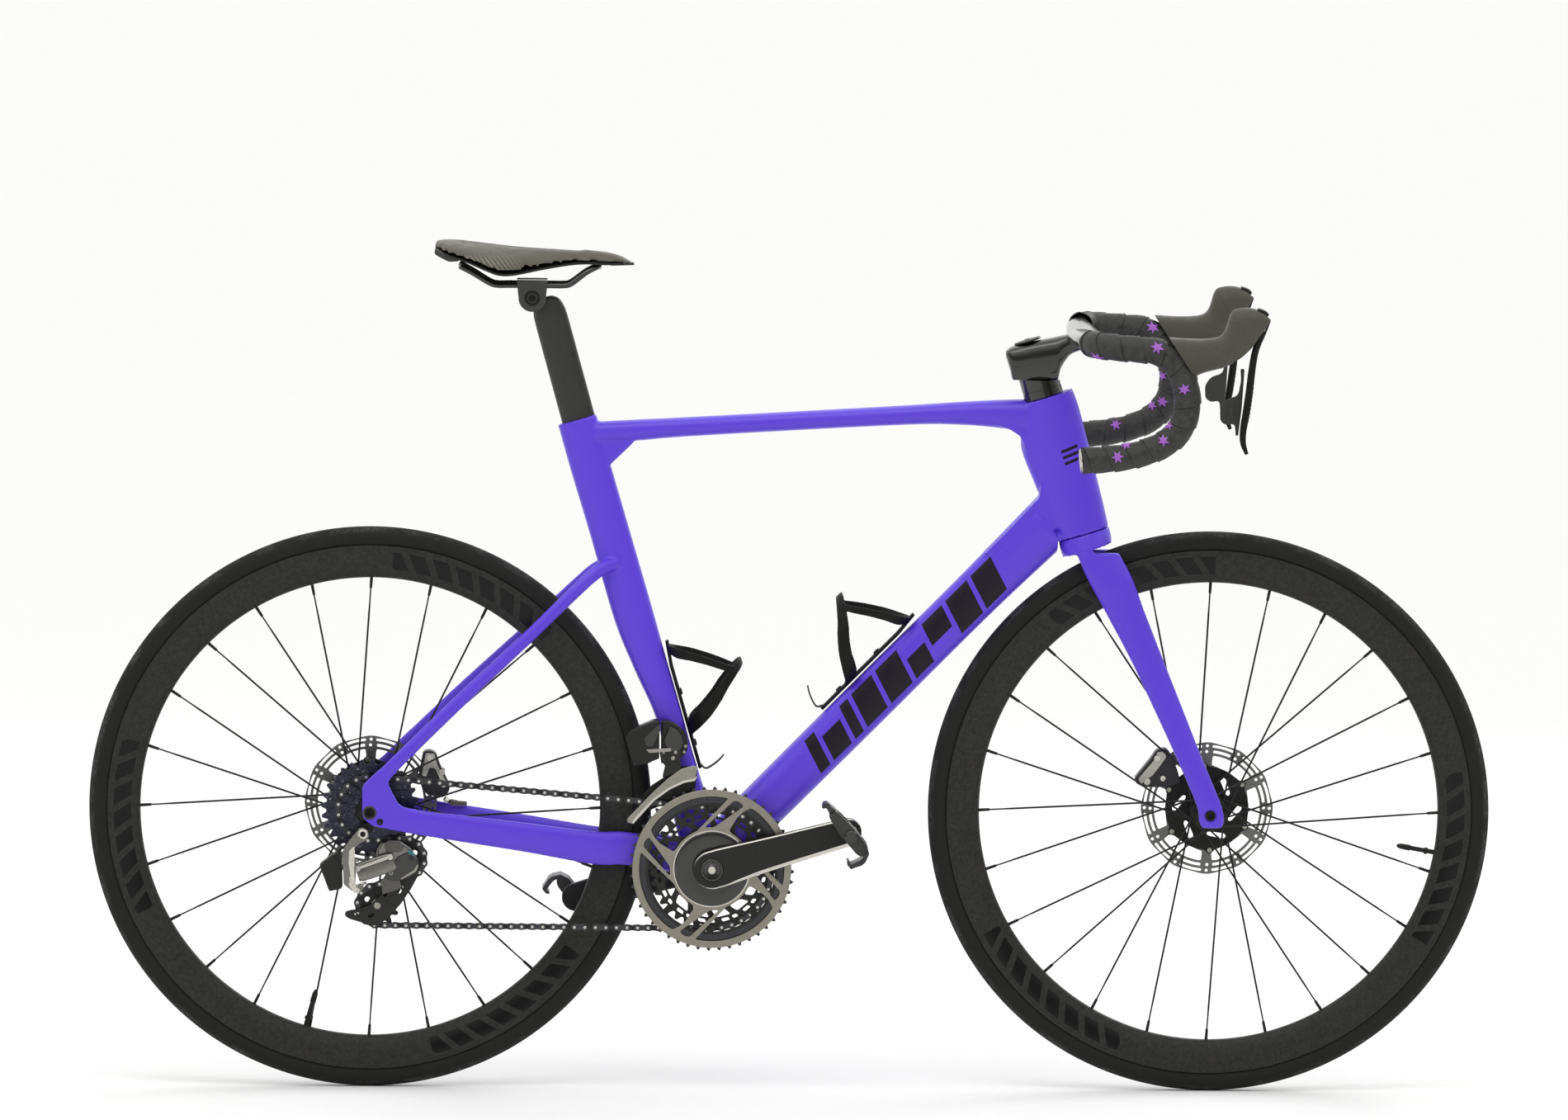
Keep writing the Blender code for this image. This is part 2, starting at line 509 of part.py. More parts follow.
def build_cockpit():
    half = bar_path(1)
    path = [Vector((p.x, -p.y, p.z)) for p in reversed(half[1:])] + half
    rings = []
    for point, (across, along) in zip(path, carried_frames(path, Vector((0, 0, 1)))):
        flat = max(0.0, 1 - abs(point.y) / 0.168) ** 0.5
        rings.append(oval(point, across, along, 0.0113 - 0.0025 * flat, 0.0113 + 0.0115 * flat, 8))
    bar = make("handlebar", loft(rings), "carbon", STEER_BASE)
    up, across = Vector((0, 0, 1)), AXIS_Y
    stem = []
    for x, low, high, half_width in ((0.2575, 0.8890, 0.8960, 0.0150), (0.2625, 0.8720, 0.8985, 0.0190),
                                     (0.2675, 0.8580, 0.9008, 0.0212), (0.3120, 0.8580, 0.9110, 0.0215),
                                     (0.3195, 0.8610, 0.9125, 0.0210), (0.3230, 0.8760, 0.9132, 0.0200),
                                     (0.3330, 0.8900, 0.9155, 0.0210), (0.3440, 0.8955, 0.9185, 0.0290),
                                     (0.3560, 0.9000, 0.9205, 0.0420)):
        stem.append(oval(Vector((x, 0, (low + high) / 2)), up, across, (high - low) / 2, half_width, 12, 3.0))
    body = make("stem", loft(stem), "carbon")
    below = prism([(0.23, 0.80), (0.35, 0.80), (0.35, STEM_FLOOR), (0.23, STEM_FLOOR)], -0.06, 0.06)
    cut(body, make("below", below, "carbon"))
    join(bar, body)
    cut(bar, make("steerer_bore", disc(0.0146, 0.15, 0.2420, STEER_BASE, 16, STEER_UP), "carbon"))
    for side, word in ((-1, "right"), (1, "left")):
        path = bar_path(side)[3:]
        make(word + "_bar_tape", sleeve(path, 0.0160, 0.0126, 8), "tape", STEER_BASE)
        build_control(side, word)


def build_control(side, word):
    sections = (((0.4440, 0.9258), (0.4745, 0.8785), 0.0172), ((0.4766, 0.9243), (0.4870, 0.8840), 0.0172),
                ((0.5000, 0.9262), (0.5090, 0.8905), 0.0165), ((0.5100, 0.9340), (0.5200, 0.8955), 0.0160),
                ((0.5175, 0.9555), (0.5330, 0.9170), 0.0150), ((0.5270, 0.9608), (0.5430, 0.9290), 0.0140),
                ((0.5417, 0.9614), (0.5510, 0.9440), 0.0125), ((0.5560, 0.9560), (0.5580, 0.9520), 0.0080))
    rings = []
    for (tx, tz), (bx, bz), half in sections:
        top, bottom = Vector((tx, side * HOOD_Y, tz)), Vector((bx, side * HOOD_Y, bz))
        rings.append(oval((top + bottom) / 2, (top - bottom).normalized(), AXIS_Y,
                          (top - bottom).length / 2, half, 12, 2.3))
    hood = make(word + "_hood", loft(rings), "hood", STEER_BASE)
    cut(hood, make("bar_space", rod(bar_path(side)[5:12], 0.0172, 10), "hood"))
    pivot = LEVER_PIVOT + AXIS_Y * side * HOOD_Y
    lever = [(0.5625, 0, 0.9470, 0.0028, 0.0100), (0.5560, 0, 0.9330, 0.0040, 0.0105),
             (0.5480, 0, 0.9130, 0.0040, 0.0095), (0.5440, 0, 0.8930, 0.0042, 0.0080),
             (0.5405, 0, 0.8620, 0.0045, 0.0075), (0.5370, 0, 0.8360, 0.0045, 0.0075),
             (0.5335, 0, 0.8150, 0.0040, 0.0075), (0.5335, 0, 0.8000, 0.0035, 0.0075),
             (0.5378, 0, 0.7870, 0.0022, 0.0065)]
    shape = sweep([(x, side * HOOD_Y, z, a, b) for x, y, z, a, b in lever], 8, 2.5)
    make(word + "_brake_lever", shape, "carbon", pivot)
    paddle = [(0.5300, 0.8880), (0.5310, 0.8740), (0.5275, 0.8560), (0.5130, 0.8510), (0.5060, 0.8410),
              (0.5065, 0.8255), (0.5130, 0.8205), (0.5240, 0.8225), (0.5250, 0.8080), (0.5280, 0.8080),
              (0.5320, 0.8400), (0.5350, 0.8880)]
    inner, outer = side * (HOOD_Y - 0.0135), side * (HOOD_Y - 0.0100)
    make(word + "_shift_paddle", prism(paddle, *sorted((inner, outer))), "plastic",
         (0.5325, side * (HOOD_Y - 0.012), 0.8880))


# ---------------------------------------------------------------- wheels
def build_tyre_and_rim(word, axle):
    outer = []
    for i in range(7):
        turn = math.radians(42.5 * (i - 3))
        outer.append((0.3248 + 0.0142 * math.cos(turn), 0.0142 * math.sin(turn)))
    inner = [(0.3152, 0.0074), (0.3300, 0.0092), (0.3300, -0.0092), (0.3152, -0.0074)]
    make(word + "_tyre", turned(outer + inner, axle, WHEEL_SEGMENTS, phase=0), "rubber", axle)
    flank = [(0.3165, 0.0142), (0.2930, 0.0122), (RIM_INNER_RADIUS, 0.0040)]
    inside = [(0.3165, 0.0122), (0.2930, 0.0102), (0.2800, 0.0030)]
    profile = flank + [(r, -y) for r, y in reversed(flank)]
    profile += [(r, -y) for r, y in inside] + [(r, y) for r, y in reversed(inside)]
    make(word + "_rim", turned(profile, axle, WHEEL_SEGMENTS, phase=0), "carbon", axle)


def build_spokes(word, axle, side, flange_y, flange_radius):
    """Twelve spokes of one side on the thin ring of their heads, crossing in two layers."""
    per = SPOKES_PER_SIDE
    name = word + "_spokes_" + ("left" if side > 0 else "right")
    shape = bmesh.new()
    low, high = flange_y - 0.0011, flange_y + 0.0011
    inner, outer = flange_radius + 0.0009, flange_radius + 0.0022
    half = math.radians(2.2)
    reach = RIM_INNER_RADIUS * math.cos(math.pi / WHEEL_SEGMENTS) - 0.0004
    corners = []
    shift = 0.5 if side > 0 else 0.0
    for i in range(per):
        middle = 2 * math.pi * (i + shift) / per
        for turn in (middle - half, middle + half):
            spoke = Vector((math.sin(turn), 0, -math.cos(turn)))
            ring = []
            for radius, y in ((outer, low), (outer, high), (inner, high), (inner, low)):
                ring.append(shape.verts.new(axle + spoke * radius + AXIS_Y * y))
            corners.append(ring)
    count = len(corners)
    for k in range(count):
        here, there = corners[k], corners[(k + 1) % count]
        for e in range(4):
            f = (e + 1) % 4
            if k % 2 == 0 and e == 0:
                continue                        # the spoke grows out of this face
            shape.faces.new((here[e], there[e], there[f], here[f]))
    for i in range(per):
        lean = SPOKE_LEAN if i % 2 else -SPOKE_LEAN
        layer = 0.0022 if i % 2 else -0.0022
        root = 2 * math.pi * (i + shift) / per
        turn = root + lean
        spoke = Vector((math.sin(turn), 0, -math.cos(turn)))
        tip = axle + spoke * reach + AXIS_Y * side * 0.0018
        start = axle + Vector((math.sin(root), 0, -math.cos(root))) * (outer + 0.004)
        start += AXIS_Y * (flange_y + layer)
        heading = (tip - start).normalized()
        wide = (AXIS_Y - heading * AXIS_Y.dot(heading)).normalized()
        thick = heading.cross(wide)
        here, there = corners[2 * i], corners[2 * i + 1]
        base = [here[0], here[1], there[1], there[0]]
        signs = ((-1, -1), (1, -1), (1, 1), (-1, 1))
        flip = 1 if thick.dot(there[0].co - here[0].co) > 0 else -1
        rows = [base]
        for centre, r in ((start, 0.0010), (tip, 0.0010)):
            row = [shape.verts.new(centre + wide * a * r + thick * b * r * flip) for a, b in signs]
            rows.append(row)
        for lower, upper in zip(rows, rows[1:]):
            for e in range(4):
                f = (e + 1) % 4
                shape.faces.new((lower[e], lower[f], upper[f], upper[e]))
        shape.faces.new(rows[-1])
    make(name, shape, "black_metal", axle)


def build_rotor(name, centre, hub_radius):
    rotor = make(name, washer(ROTOR_RADIUS, hub_radius + GAP, -0.0009, 0.0009, centre, 24), "steel", centre)
    windows = []
    for i in range(6):
        turn = 2 * math.pi * i / 6
        outline = []
        for radius, lean in ((0.033, -0.34), (0.0625, -0.42), (0.0625, 0.0), (0.0625, 0.30),
                             (0.033, 0.20)):
            angle = turn + lean
            outline.append((centre.x + radius * math.sin(angle), centre.z + radius * math.cos(angle)))
        windows.append(make("window", prism(outline, centre.y - 0.01, centre.y + 0.01), "steel"))
    return cut(rotor, *windows)


def build_wheels():
    build_tyre_and_rim("front", FRONT_AXLE)
    build_tyre_and_rim("rear", REAR_AXLE)
    bore = AXLE_RADIUS + GAP
    front = [(bore, -0.0496), (0.0095, -0.0496), (0.0095, -0.0430), (0.0130, -0.0410), (0.0215, -0.0372),
             (0.0215, -0.0348), (0.0125, -0.0310), (0.0125, 0.0200), (0.0215, 0.0238), (0.0215, 0.0262),
             (0.0170, 0.0290), (0.0170, FRONT_ROTOR_Y + 0.0025), (0.0095, 0.0440), (0.0095, 0.0496),
             (bore, 0.0496)]
    make("front_hub", turned(front, FRONT_AXLE, 16), "black_metal", FRONT_AXLE)
    rear = [(bore, -0.0706), (0.0095, -0.0706), (0.0095, -0.0650), (0.0165, -0.0640), (0.0165, -0.0175),
            (0.0225, -0.0162), (0.0225, -0.0138), (0.0150, -0.0100), (0.0125, 0.0280), (0.0225, 0.0328),
            (0.0225, 0.0352), (0.0170, 0.0380), (0.0170, REAR_ROTOR_Y + 0.0025), (0.0095, 0.0650),
            (0.0095, 0.0706), (bore, 0.0706)]
    make("rear_hub", turned(rear, REAR_AXLE, 16), "black_metal", REAR_AXLE)
    for word, axle, left, right, radius in (("front", FRONT_AXLE, 0.0250, -0.0360, 0.0215),
                                            ("rear", REAR_AXLE, 0.0340, -0.0150, 0.0225)):
        build_spokes(word, axle, 1, left, radius)
        build_spokes(word, axle, -1, right, radius)
    build_rotor("front_rotor", FRONT_AXLE + AXIS_Y * FRONT_ROTOR_Y, 0.0170)
    build_rotor("rear_rotor", REAR_AXLE + AXIS_Y * REAR_ROTOR_Y, 0.0170)
    for name, axle, low, high in (("front_thru_axle", FRONT_AXLE, -0.0618, 0.0618),
                                  ("rear_thru_axle", REAR_AXLE, -0.0830, 0.0790)):
        pin = make(name, disc(AXLE_RADIUS, low, high, axle, 16), "black_metal", axle)
        cut(pin, make("hex", disc(0.0035, high - 0.008, high + 0.01, axle, 6), "black_metal"))


def build_brakes():
    rear = [(-0.4490, 0.3680), (-0.4425, 0.4020), (-0.4275, 0.3995), (-0.4105, 0.3570),
            (-0.4180, 0.3450), (-0.4380, 0.3480)]
    front = [(0.4445, 0.4130), (0.4164, 0.3740), (0.4270, 0.3640), (0.4560, 0.3645), (0.4745, 0.3700),
             (0.4615, 0.4050), (0.4570, 0.4130)]
    for name, outline, rotor in (("rear_brake_caliper", rear, REAR_AXLE + AXIS_Y * REAR_ROTOR_Y),
                                 ("front_brake_caliper", front, FRONT_AXLE + AXIS_Y * FRONT_ROTOR_Y)):
        body = make(name, prism(outline, rotor.y - 0.0125, rotor.y + 0.0115), "black_metal", rotor)
        cut(body, make("slot", disc(0.0835, -0.0022, 0.0022, rotor, 32), "black_metal"))
    route = [(-0.4172, 0.0560, 0.3442), (-0.4110, 0.0562, 0.3400), (-0.4000, 0.0575, 0.3376),
             (-0.3900, 0.0590, 0.3372)]
    make("rear_brake_hose", rod([Vector(p) for p in route], 0.0024, 8), "rubber")


# ---------------------------------------------------------------- drivetrain
def arc_points(centre, radius, begin, end, step):
    count = max(2, int(abs(end - begin) / step))
    return [(centre[0] + radius * math.cos(a), centre[1] + radius * math.sin(a))
            for a in np.linspace(begin, end, count + 1)]


def tangent_angle(a, ra, b, rb, side):
    """Angle at which the belt leaves a circle for the next; side is +1 or -1 per circle."""
    dx, dz = b[0] - a[0], b[1] - a[1]
    length = math.hypot(dx, dz)
    base = math.atan2(dz, dx)
    return base + side * math.acos((ra - rb) / length)


def chain_route():
    """Pitch line of the chain: ring, cog, guide pulley and tension pulley."""
    ring = (CRANK_AXIS.x, CRANK_AXIS.z, pitch_radius(INNER_RING_TEETH))
    cog = (REAR_AXLE.x, REAR_AXLE.z, pitch_radius(COG_TEETH[CHAIN_COG]))
    wheel = pitch_radius(PULLEY_TEETH)
    guide = (GUIDE_PULLEY.x, GUIDE_PULLEY.z, wheel)
    tension = (TENSION_PULLEY.x, TENSION_PULLEY.z, wheel)
    upper = tangent_angle(cog, cog[2], ring, ring[2], 1)
    lower = tangent_angle(tension, wheel, ring, ring[2], -1)
    cog_guide = tangent_angle(cog, cog[2], guide, -wheel, -1)
    guide_tension = tangent_angle(guide, -wheel, tension, wheel, -1)
    step = math.radians(15)
    points = []
    start, stop = lower, upper
    while stop < start:
        stop += 2 * math.pi
    points += arc_points(ring, ring[2], start, stop, step)
    begin, end = upper, cog_guide
    while end < begin:
        end += 2 * math.pi
    points += arc_points(cog, cog[2], begin, end, step)
    begin, end = cog_guide + math.pi, guide_tension + math.pi
    while end > begin:
        end -= 2 * math.pi
    points += arc_points(guide, wheel, begin, end, step)
    begin, end = guide_tension, lower
    while end < begin:
        end += 2 * math.pi
    points += arc_points(tension, wheel, begin, end, step)
    return points


def chain_height(x):
    """The chain leans from the ring's plane to the cog's plane between its two ends."""
    cog_y = SMALL_COG_Y + COG_SPACING * CHAIN_COG
    share = (x - (REAR_AXLE.x + 0.06)) / (CRANK_AXIS.x - 0.08 - REAR_AXLE.x - 0.06)
    share = min(max(share, 0.0), 1.0)
    return cog_y + (INNER_RING_Y - cog_y) * share


def build_drivetrain():
    hub_bore = 0.0168
    steps = []
    for i in range(0, len(COG_TEETH), 2):
        low = SMALL_COG_Y + COG_SPACING * (i - 0.5)
        radius = pitch_radius(COG_TEETH[i]) - 0.0045
        steps += [(radius, low), (radius, low + 2 * COG_SPACING - 0.0001)]
    profile = steps + [(hub_bore, steps[-1][1]), (hub_bore, steps[0][1])]
    make("cassette", turned(profile, REAR_AXLE, 20), "dark_steel", REAR_AXLE)
    outer = pitch_radius(OUTER_RING_TEETH)
    make("outer_chainring", gear(OUTER_RING_TEETH, outer - 0.0042, outer + 0.0026, 0.0500,
                                 OUTER_RING_Y - 0.0015, OUTER_RING_Y + 0.0015, CRANK_AXIS),
         "steel", CRANK_AXIS)
    inner = pitch_radius(INNER_RING_TEETH)
    make("inner_chainring", washer(inner - 0.0042, 0.0500, INNER_RING_Y - 0.0015, INNER_RING_Y + 0.0015,
                                   CRANK_AXIS, 36), "black_metal", CRANK_AXIS)
    spider = [(0.0150, -0.0515), (0.0460, -0.0515), (0.0495, -0.0505), (0.0495, -0.0400),
              (0.0460, -0.0395), (0.0265, -0.0450), (0.0150, -0.0450)]
    make("crank_spider", turned(spider, CRANK_AXIS, 24), "black_metal", CRANK_AXIS)
    build_cranks()
    build_chain()
    build_derailleurs()


def build_chain():
    flat = chain_route()
    count = len(flat)
    rings = []
    for i, (x, z) in enumerate(flat):
        before, after = flat[i - 1], flat[(i + 1) % count]
        along = Vector((after[0] - before[0], 0, after[1] - before[1])).normalized()
        out = Vector((along.z, 0, -along.x))
        centre = Vector((x, chain_height(x), z))
        corners = ((-0.0034, -0.0015), (0.0034, -0.0015), (0.0034, 0.0015), (-0.0034, 0.0015))
        rings.append([centre + out * a + AXIS_Y * b for a, b in corners])
    make("chain", loft(rings, closed=True), "dark_steel")


def build_cranks():
    for side, word in ((-1, "right"), (1, "left")):
        reach = Vector((math.cos(CRANK_ANGLE), 0, math.sin(CRANK_ANGLE))) * (-side)
        across = Vector((-reach.z, 0, reach.x))
        inner, outer = 0.0520, 0.0695
        rings = []
        for s, half, low, high in ((-0.0230, 0.0055, inner, outer), (-0.0190, 0.0145, inner, outer),
                                   (-0.0090, 0.0215, inner, outer), (0.0080, 0.0229, inner, outer),
                                   (0.0280, 0.0222, inner, outer), (0.0550, 0.0208, inner + 0.001, outer),
                                   (0.1450, 0.0176, inner + 0.0055, outer + 0.0025),
                                   (0.1700, 0.0168, inner + 0.0065, outer + 0.0030),
                                   (0.1820, 0.0120, inner + 0.0065, outer + 0.0030),
                                   (0.1870, 0.0045, inner + 0.0065, outer + 0.0030)):
            centre = CRANK_AXIS + reach * s + AXIS_Y * side * (low + high) / 2
            rings.append(oval(centre, across, AXIS_Y, half, (high - low) / 2, 12, 4.0))
        arm = make(word + "_crank_arm", loft(rings), "black_metal", CRANK_AXIS)
        if side < 0:
            spindle = disc(0.0145, -0.056, 0.0505, CRANK_AXIS, 24)
            join(arm, make("spindle", spindle, "black_metal"))
            cut(arm, make("spindle_bore", disc(0.0110, -0.052, 0.08, CRANK_AXIS, 16), "black_metal"))
        build_pedal(word, side, CRANK_AXIS + reach * CRANK_LENGTH)


def build_pedal(word, side, axle):
    """A clipless road pedal: a spindle, a flat body and a toe hook, nose down."""
    tilt = math.radians(-50 if side < 0 else 128)
    nose = Vector((math.cos(tilt), 0, math.sin(tilt)))
    up = Vector((-nose.z, 0, nose.x)) * (1 if side < 0 else -1)

    def at(u, w):
        point = axle + nose * u + up * w
        return point.x, point.z

    outline = [at(-0.051, 0.0035), at(-0.049, -0.002), at(-0.012, -0.0085), at(0.012, -0.0085),
               at(0.0215, -0.0085), at(0.0255, -0.016), at(0.0235, -0.024), at(0.0295, -0.0252),
               at(0.0345, -0.012), at(0.032, 0.001), at(0.020, 0.0085), at(-0.012, 0.0085),
               at(-0.034, 0.0075)]
    low, high = sorted((side * 0.0840, side * 0.1360))
    pedal = make(word + "_pedal", prism(outline, low, high), "plastic", axle)
    inner, outer = sorted((side * 0.0731, side * 0.0900))
    join(pedal, make("spindle", disc(0.0075, inner, outer, axle, 16), "plastic"))


def build_derailleurs():
    link_axis = Vector((-0.32, 0, 0.947)).normalized()
    start, stop = Vector((-0.5200, -0.0700, 0.2650)), Vector((-0.4770, -0.0625, 0.2790))
    knuckle = [(-0.5208, 0.3170), (-0.5190, 0.3205), (-0.5140, 0.3215), (-0.5075, 0.3180), (-0.5065, 0.3110),
               (-0.5098, 0.3055), (-0.5180, 0.3000), (-0.5225, 0.2950), (-0.5235, 0.2845), (-0.5215, 0.2790),
               (-0.5215, 0.2505), (-0.5130, 0.2525), (-0.5125, 0.2480), (-0.5170, 0.2440), (-0.5250, 0.2440),
               (-0.5365, 0.2530), (-0.5368, 0.2700), (-0.5370, 0.2890), (-0.5320, 0.3030)]
    plate = make("rear_derailleur_knuckle", prism(knuckle, -0.0900, -0.0757), "silver")
    ears = [make("ear", disc(0.0065, low, high, start, 12, link_axis), "silver")
            for low, high in ((-0.0155, -0.0128), (0.0128, 0.0155))]
    join(plate, *ears)
    battery = [(-0.5660, 0.2765), (-0.5480, 0.2900), (-0.5385, 0.2870), (-0.5375, 0.2510), (-0.5540, 0.2450)]
    make("rear_derailleur_battery", prism(battery, -0.0960, -0.0690), "plastic")
    heading = (stop - start).normalized()
    broad = (link_axis - heading * link_axis.dot(heading)).normalized()
    rings = [oval(start + heading * s, broad, heading.cross(broad), 0.0125, 0.0038, 10, 3)
             for s in (-0.001, 0.046)]
    make("rear_derailleur_link", loft(rings), "plastic", start)
    body = [(-0.4785, 0.2960), (-0.4700, 0.3000), (-0.4560, 0.2900), (-0.4500, 0.2760), (-0.4560, 0.2640),
            (-0.4700, 0.2560), (-0.4785, 0.2580)]
    make("rear_derailleur_body", prism(body, -0.0560, -0.0420), "plastic", stop)
    cage = [(-0.5350, 0.2120), (-0.5270, 0.2170), (-0.5050, 0.2290), (-0.4800, 0.2480), (-0.4720, 0.2870),
            (-0.4600, 0.2900), (-0.4460, 0.2800), (-0.4500, 0.2560), (-0.4680, 0.2260), (-0.4950, 0.1980),
            (-0.5120, 0.2000), (-0.5290, 0.2050)]
    plate = make("rear_derailleur_cage", prism(cage, -0.0400, -0.0376), "black_metal", GUIDE_PULLEY)
    inner = [(-0.5080, 0.2200), (-0.4740, 0.2900), (-0.4540, 0.2900), (-0.4540, 0.2700), (-0.4850, 0.2120),
             (-0.4990, 0.2100)]
    pins = [make("inner", prism(inner, -0.0285, -0.0273), "black_metal")]
    for pulley in (GUIDE_PULLEY, TENSION_PULLEY):
        middle = Vector((pulley.x, 0, pulley.z))
        pins.append(make("pin", disc(0.0028, -0.0390, -0.0278, middle, 12), "black_metal"))
    join(plate, *pins)
    root = pitch_radius(PULLEY_TEETH) - 0.0042
    for name, centre in (("guide_pulley", GUIDE_PULLEY), ("tension_pulley", TENSION_PULLEY)):
        make(name, washer(root, 0.0031, -0.0016, 0.0016, centre, 24), "plastic", centre)
    front = [(-0.1490, 0.4470), (-0.1330, 0.4400), (-0.1240, 0.4260), (-0.1240, 0.4090), (-0.1330, 0.4010),
             (-0.1600, 0.4000), (-0.1600, 0.4480)]
    make("front_derailleur_body", prism(front, -0.0440, -0.0200), "plastic")
    battery = [(-0.1990, 0.4280), (-0.1935, 0.4370), (-0.1640, 0.4500), (-0.1610, 0.4500), (-0.1610, 0.4000),
               (-0.1880, 0.3940)]
    make("front_derailleur_battery", prism(battery, -0.0480, -0.0200), "plastic")
    outer = [(-0.1115, 0.3935), (-0.1320, 0.3905), (-0.1670, 0.3620), (-0.1960, 0.3300), (-0.1890, 0.3240),
             (-0.1700, 0.3460), (-0.1450, 0.3660), (-0.1150, 0.3765)]
    inner = [(-0.1115, 0.3935), (-0.1320, 0.3905), (-0.1670, 0.3680), (-0.1850, 0.3500), (-0.1700, 0.3390),
             (-0.1450, 0.3500), (-0.1150, 0.3600)]
    origin = (-0.1400, -0.0320, 0.4300)
    cage = make("front_derailleur_cage", prism(outer, -0.0470, -0.0456), "silver", origin)
    bridge = [(-0.1500, 0.3800), (-0.1320, 0.3895), (-0.1320, 0.3985), (-0.1500, 0.3985)]
    join(cage, make("inner", prism(inner, -0.0376, -0.0362), "silver"),
         make("bridge", prism(bridge, -0.0462, -0.0300), "silver"))


def main():
    clear_scene()
    build_frame()
    build_frame_fittings()
    build_cage("bottle_cage_down_tube", Vector((0.0395, 0, 0.4585)), Vector((0.7037, 0, 0.7105)),
               Vector((-0.7105, 0, 0.7037)))
    build_cage("bottle_cage_seat_tube", Vector((-0.1105, 0, 0.3870)), Vector((-0.2778, 0, 0.9606)),
               Vector((0.9606, 0, 0.2778)))
    build_saddle()
    build_fork()
    build_cockpit()
    build_wheels()
    build_brakes()
    build_drivetrain()


main()
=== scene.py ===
import math

import bmesh
import bpy
import numpy as np
from mathutils import Matrix, Vector
from mathutils.bvhtree import BVHTree


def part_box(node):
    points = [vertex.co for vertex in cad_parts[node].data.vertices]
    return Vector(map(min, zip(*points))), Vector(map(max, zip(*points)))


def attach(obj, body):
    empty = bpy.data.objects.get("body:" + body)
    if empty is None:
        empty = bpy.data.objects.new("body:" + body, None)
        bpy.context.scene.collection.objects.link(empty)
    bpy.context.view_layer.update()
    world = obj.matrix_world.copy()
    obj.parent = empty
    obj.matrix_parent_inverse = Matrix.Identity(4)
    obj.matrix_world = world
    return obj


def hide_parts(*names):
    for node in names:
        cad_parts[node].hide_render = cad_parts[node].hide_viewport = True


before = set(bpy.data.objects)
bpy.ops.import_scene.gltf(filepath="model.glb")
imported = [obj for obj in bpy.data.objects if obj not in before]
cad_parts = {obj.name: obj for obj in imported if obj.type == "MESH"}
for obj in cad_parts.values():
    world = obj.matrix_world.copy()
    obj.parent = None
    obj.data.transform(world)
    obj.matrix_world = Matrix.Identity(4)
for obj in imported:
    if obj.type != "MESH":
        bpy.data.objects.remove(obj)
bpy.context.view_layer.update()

X, Y, Z = Vector((1, 0, 0)), Vector((0, 1, 0)), Vector((0, 0, 1))
TAU = 2 * math.pi
STUDIO = bpy.data.scenes[0]


# ------------------------------------------------------------ shapes: plain lists of points and faces
class Shape:
    """Points and faces gathered before they become one mesh."""

    def __init__(self):
        self.points = []
        self.faces = []

    def add(self, points, faces):
        base = len(self.points)
        self.points += [tuple(p) for p in points]
        self.faces += [tuple(i + base for i in f) for f in faces]
        return self

    def join(self, *others):
        for other in others:
            self.add(other.points, other.faces)
        return self

def midpoint(box):
    return (box[0] + box[1]) / 2


def curve_through(points, count):
    """Points of a smooth curve through rows of numbers, evenly spread over their index."""
    p = np.array(points, float)
    p = np.vstack([2 * p[0] - p[1], p, 2 * p[-1] - p[-2]])
    out = []
    for t in np.linspace(0, len(points) - 1, count):
        k = min(int(t), len(points) - 2)
        u = t - k
        a, b, c, d = p[k:k + 4]
        out.append(0.5 * (2 * b + (c - a) * u + (2 * a - 5 * b + 4 * c - d) * u * u
                          + (3 * b - a - 3 * c + d) * u ** 3))
    return out


def ring(centre, first, second, a, b, sides, power=2.0):
    points = []
    for i in range(sides):
        turn = TAU * (i + 0.5) / sides
        c, s = math.cos(turn), math.sin(turn)
        u = math.copysign(abs(c) ** (2 / power), c) * a
        v = math.copysign(abs(s) ** (2 / power), s) * b
        points.append(centre + first * u + second * v)
    return points


def loft(rings, closed=False, caps=True):
    count = len(rings[0])
    points = [p for r in rings for p in r]
    faces = []
    pairs = [(k, k + 1) for k in range(len(rings) - 1)]
    if closed:
        pairs.append((len(rings) - 1, 0))
    for low, high in pairs:
        for i in range(count):
            j = (i + 1) % count
            faces.append((low * count + i, low * count + j, high * count + j, high * count + i))
    if caps and not closed:
        faces.append(tuple(reversed(range(count))))
        faces.append(tuple((len(rings) - 1) * count + i for i in range(count)))
    return Shape().add(points, faces)


def headings(path):
    out = []
    for i in range(len(path)):
        out.append((path[min(i + 1, len(path) - 1)] - path[max(i - 1, 0)]).normalized())
    return out


def sweep(stations, count, sides=28, power=2.0, side=Y):
    """Loft of ovals through stations (x, y, z, half depth, half width)."""
    rows = curve_through(stations, count)
    path = [Vector(r[:3]) for r in rows]
    rings = []
    for p, d, r in zip(path, headings(path), rows):
        along = (side - d * side.dot(d)).normalized()
        rings.append(ring(p, along.cross(d), along, r[3], r[4], sides, power))
    return loft(rings)


def carried(path, start=Z):
    across = start
    out = []
    for d in headings(path):
        across = (across - d * across.dot(d)).normalized()
        out.append((across, d.cross(across)))
    return out


def tube(path, radius, sides=10, start=Z):
    path = [Vector(p) for p in path]
    radii = radius if isinstance(radius, (list, tuple)) else [radius] * len(path)
    return loft([ring(p, a, b, r, r, sides) for p, (a, b), r in zip(path, carried(path, start), radii)])


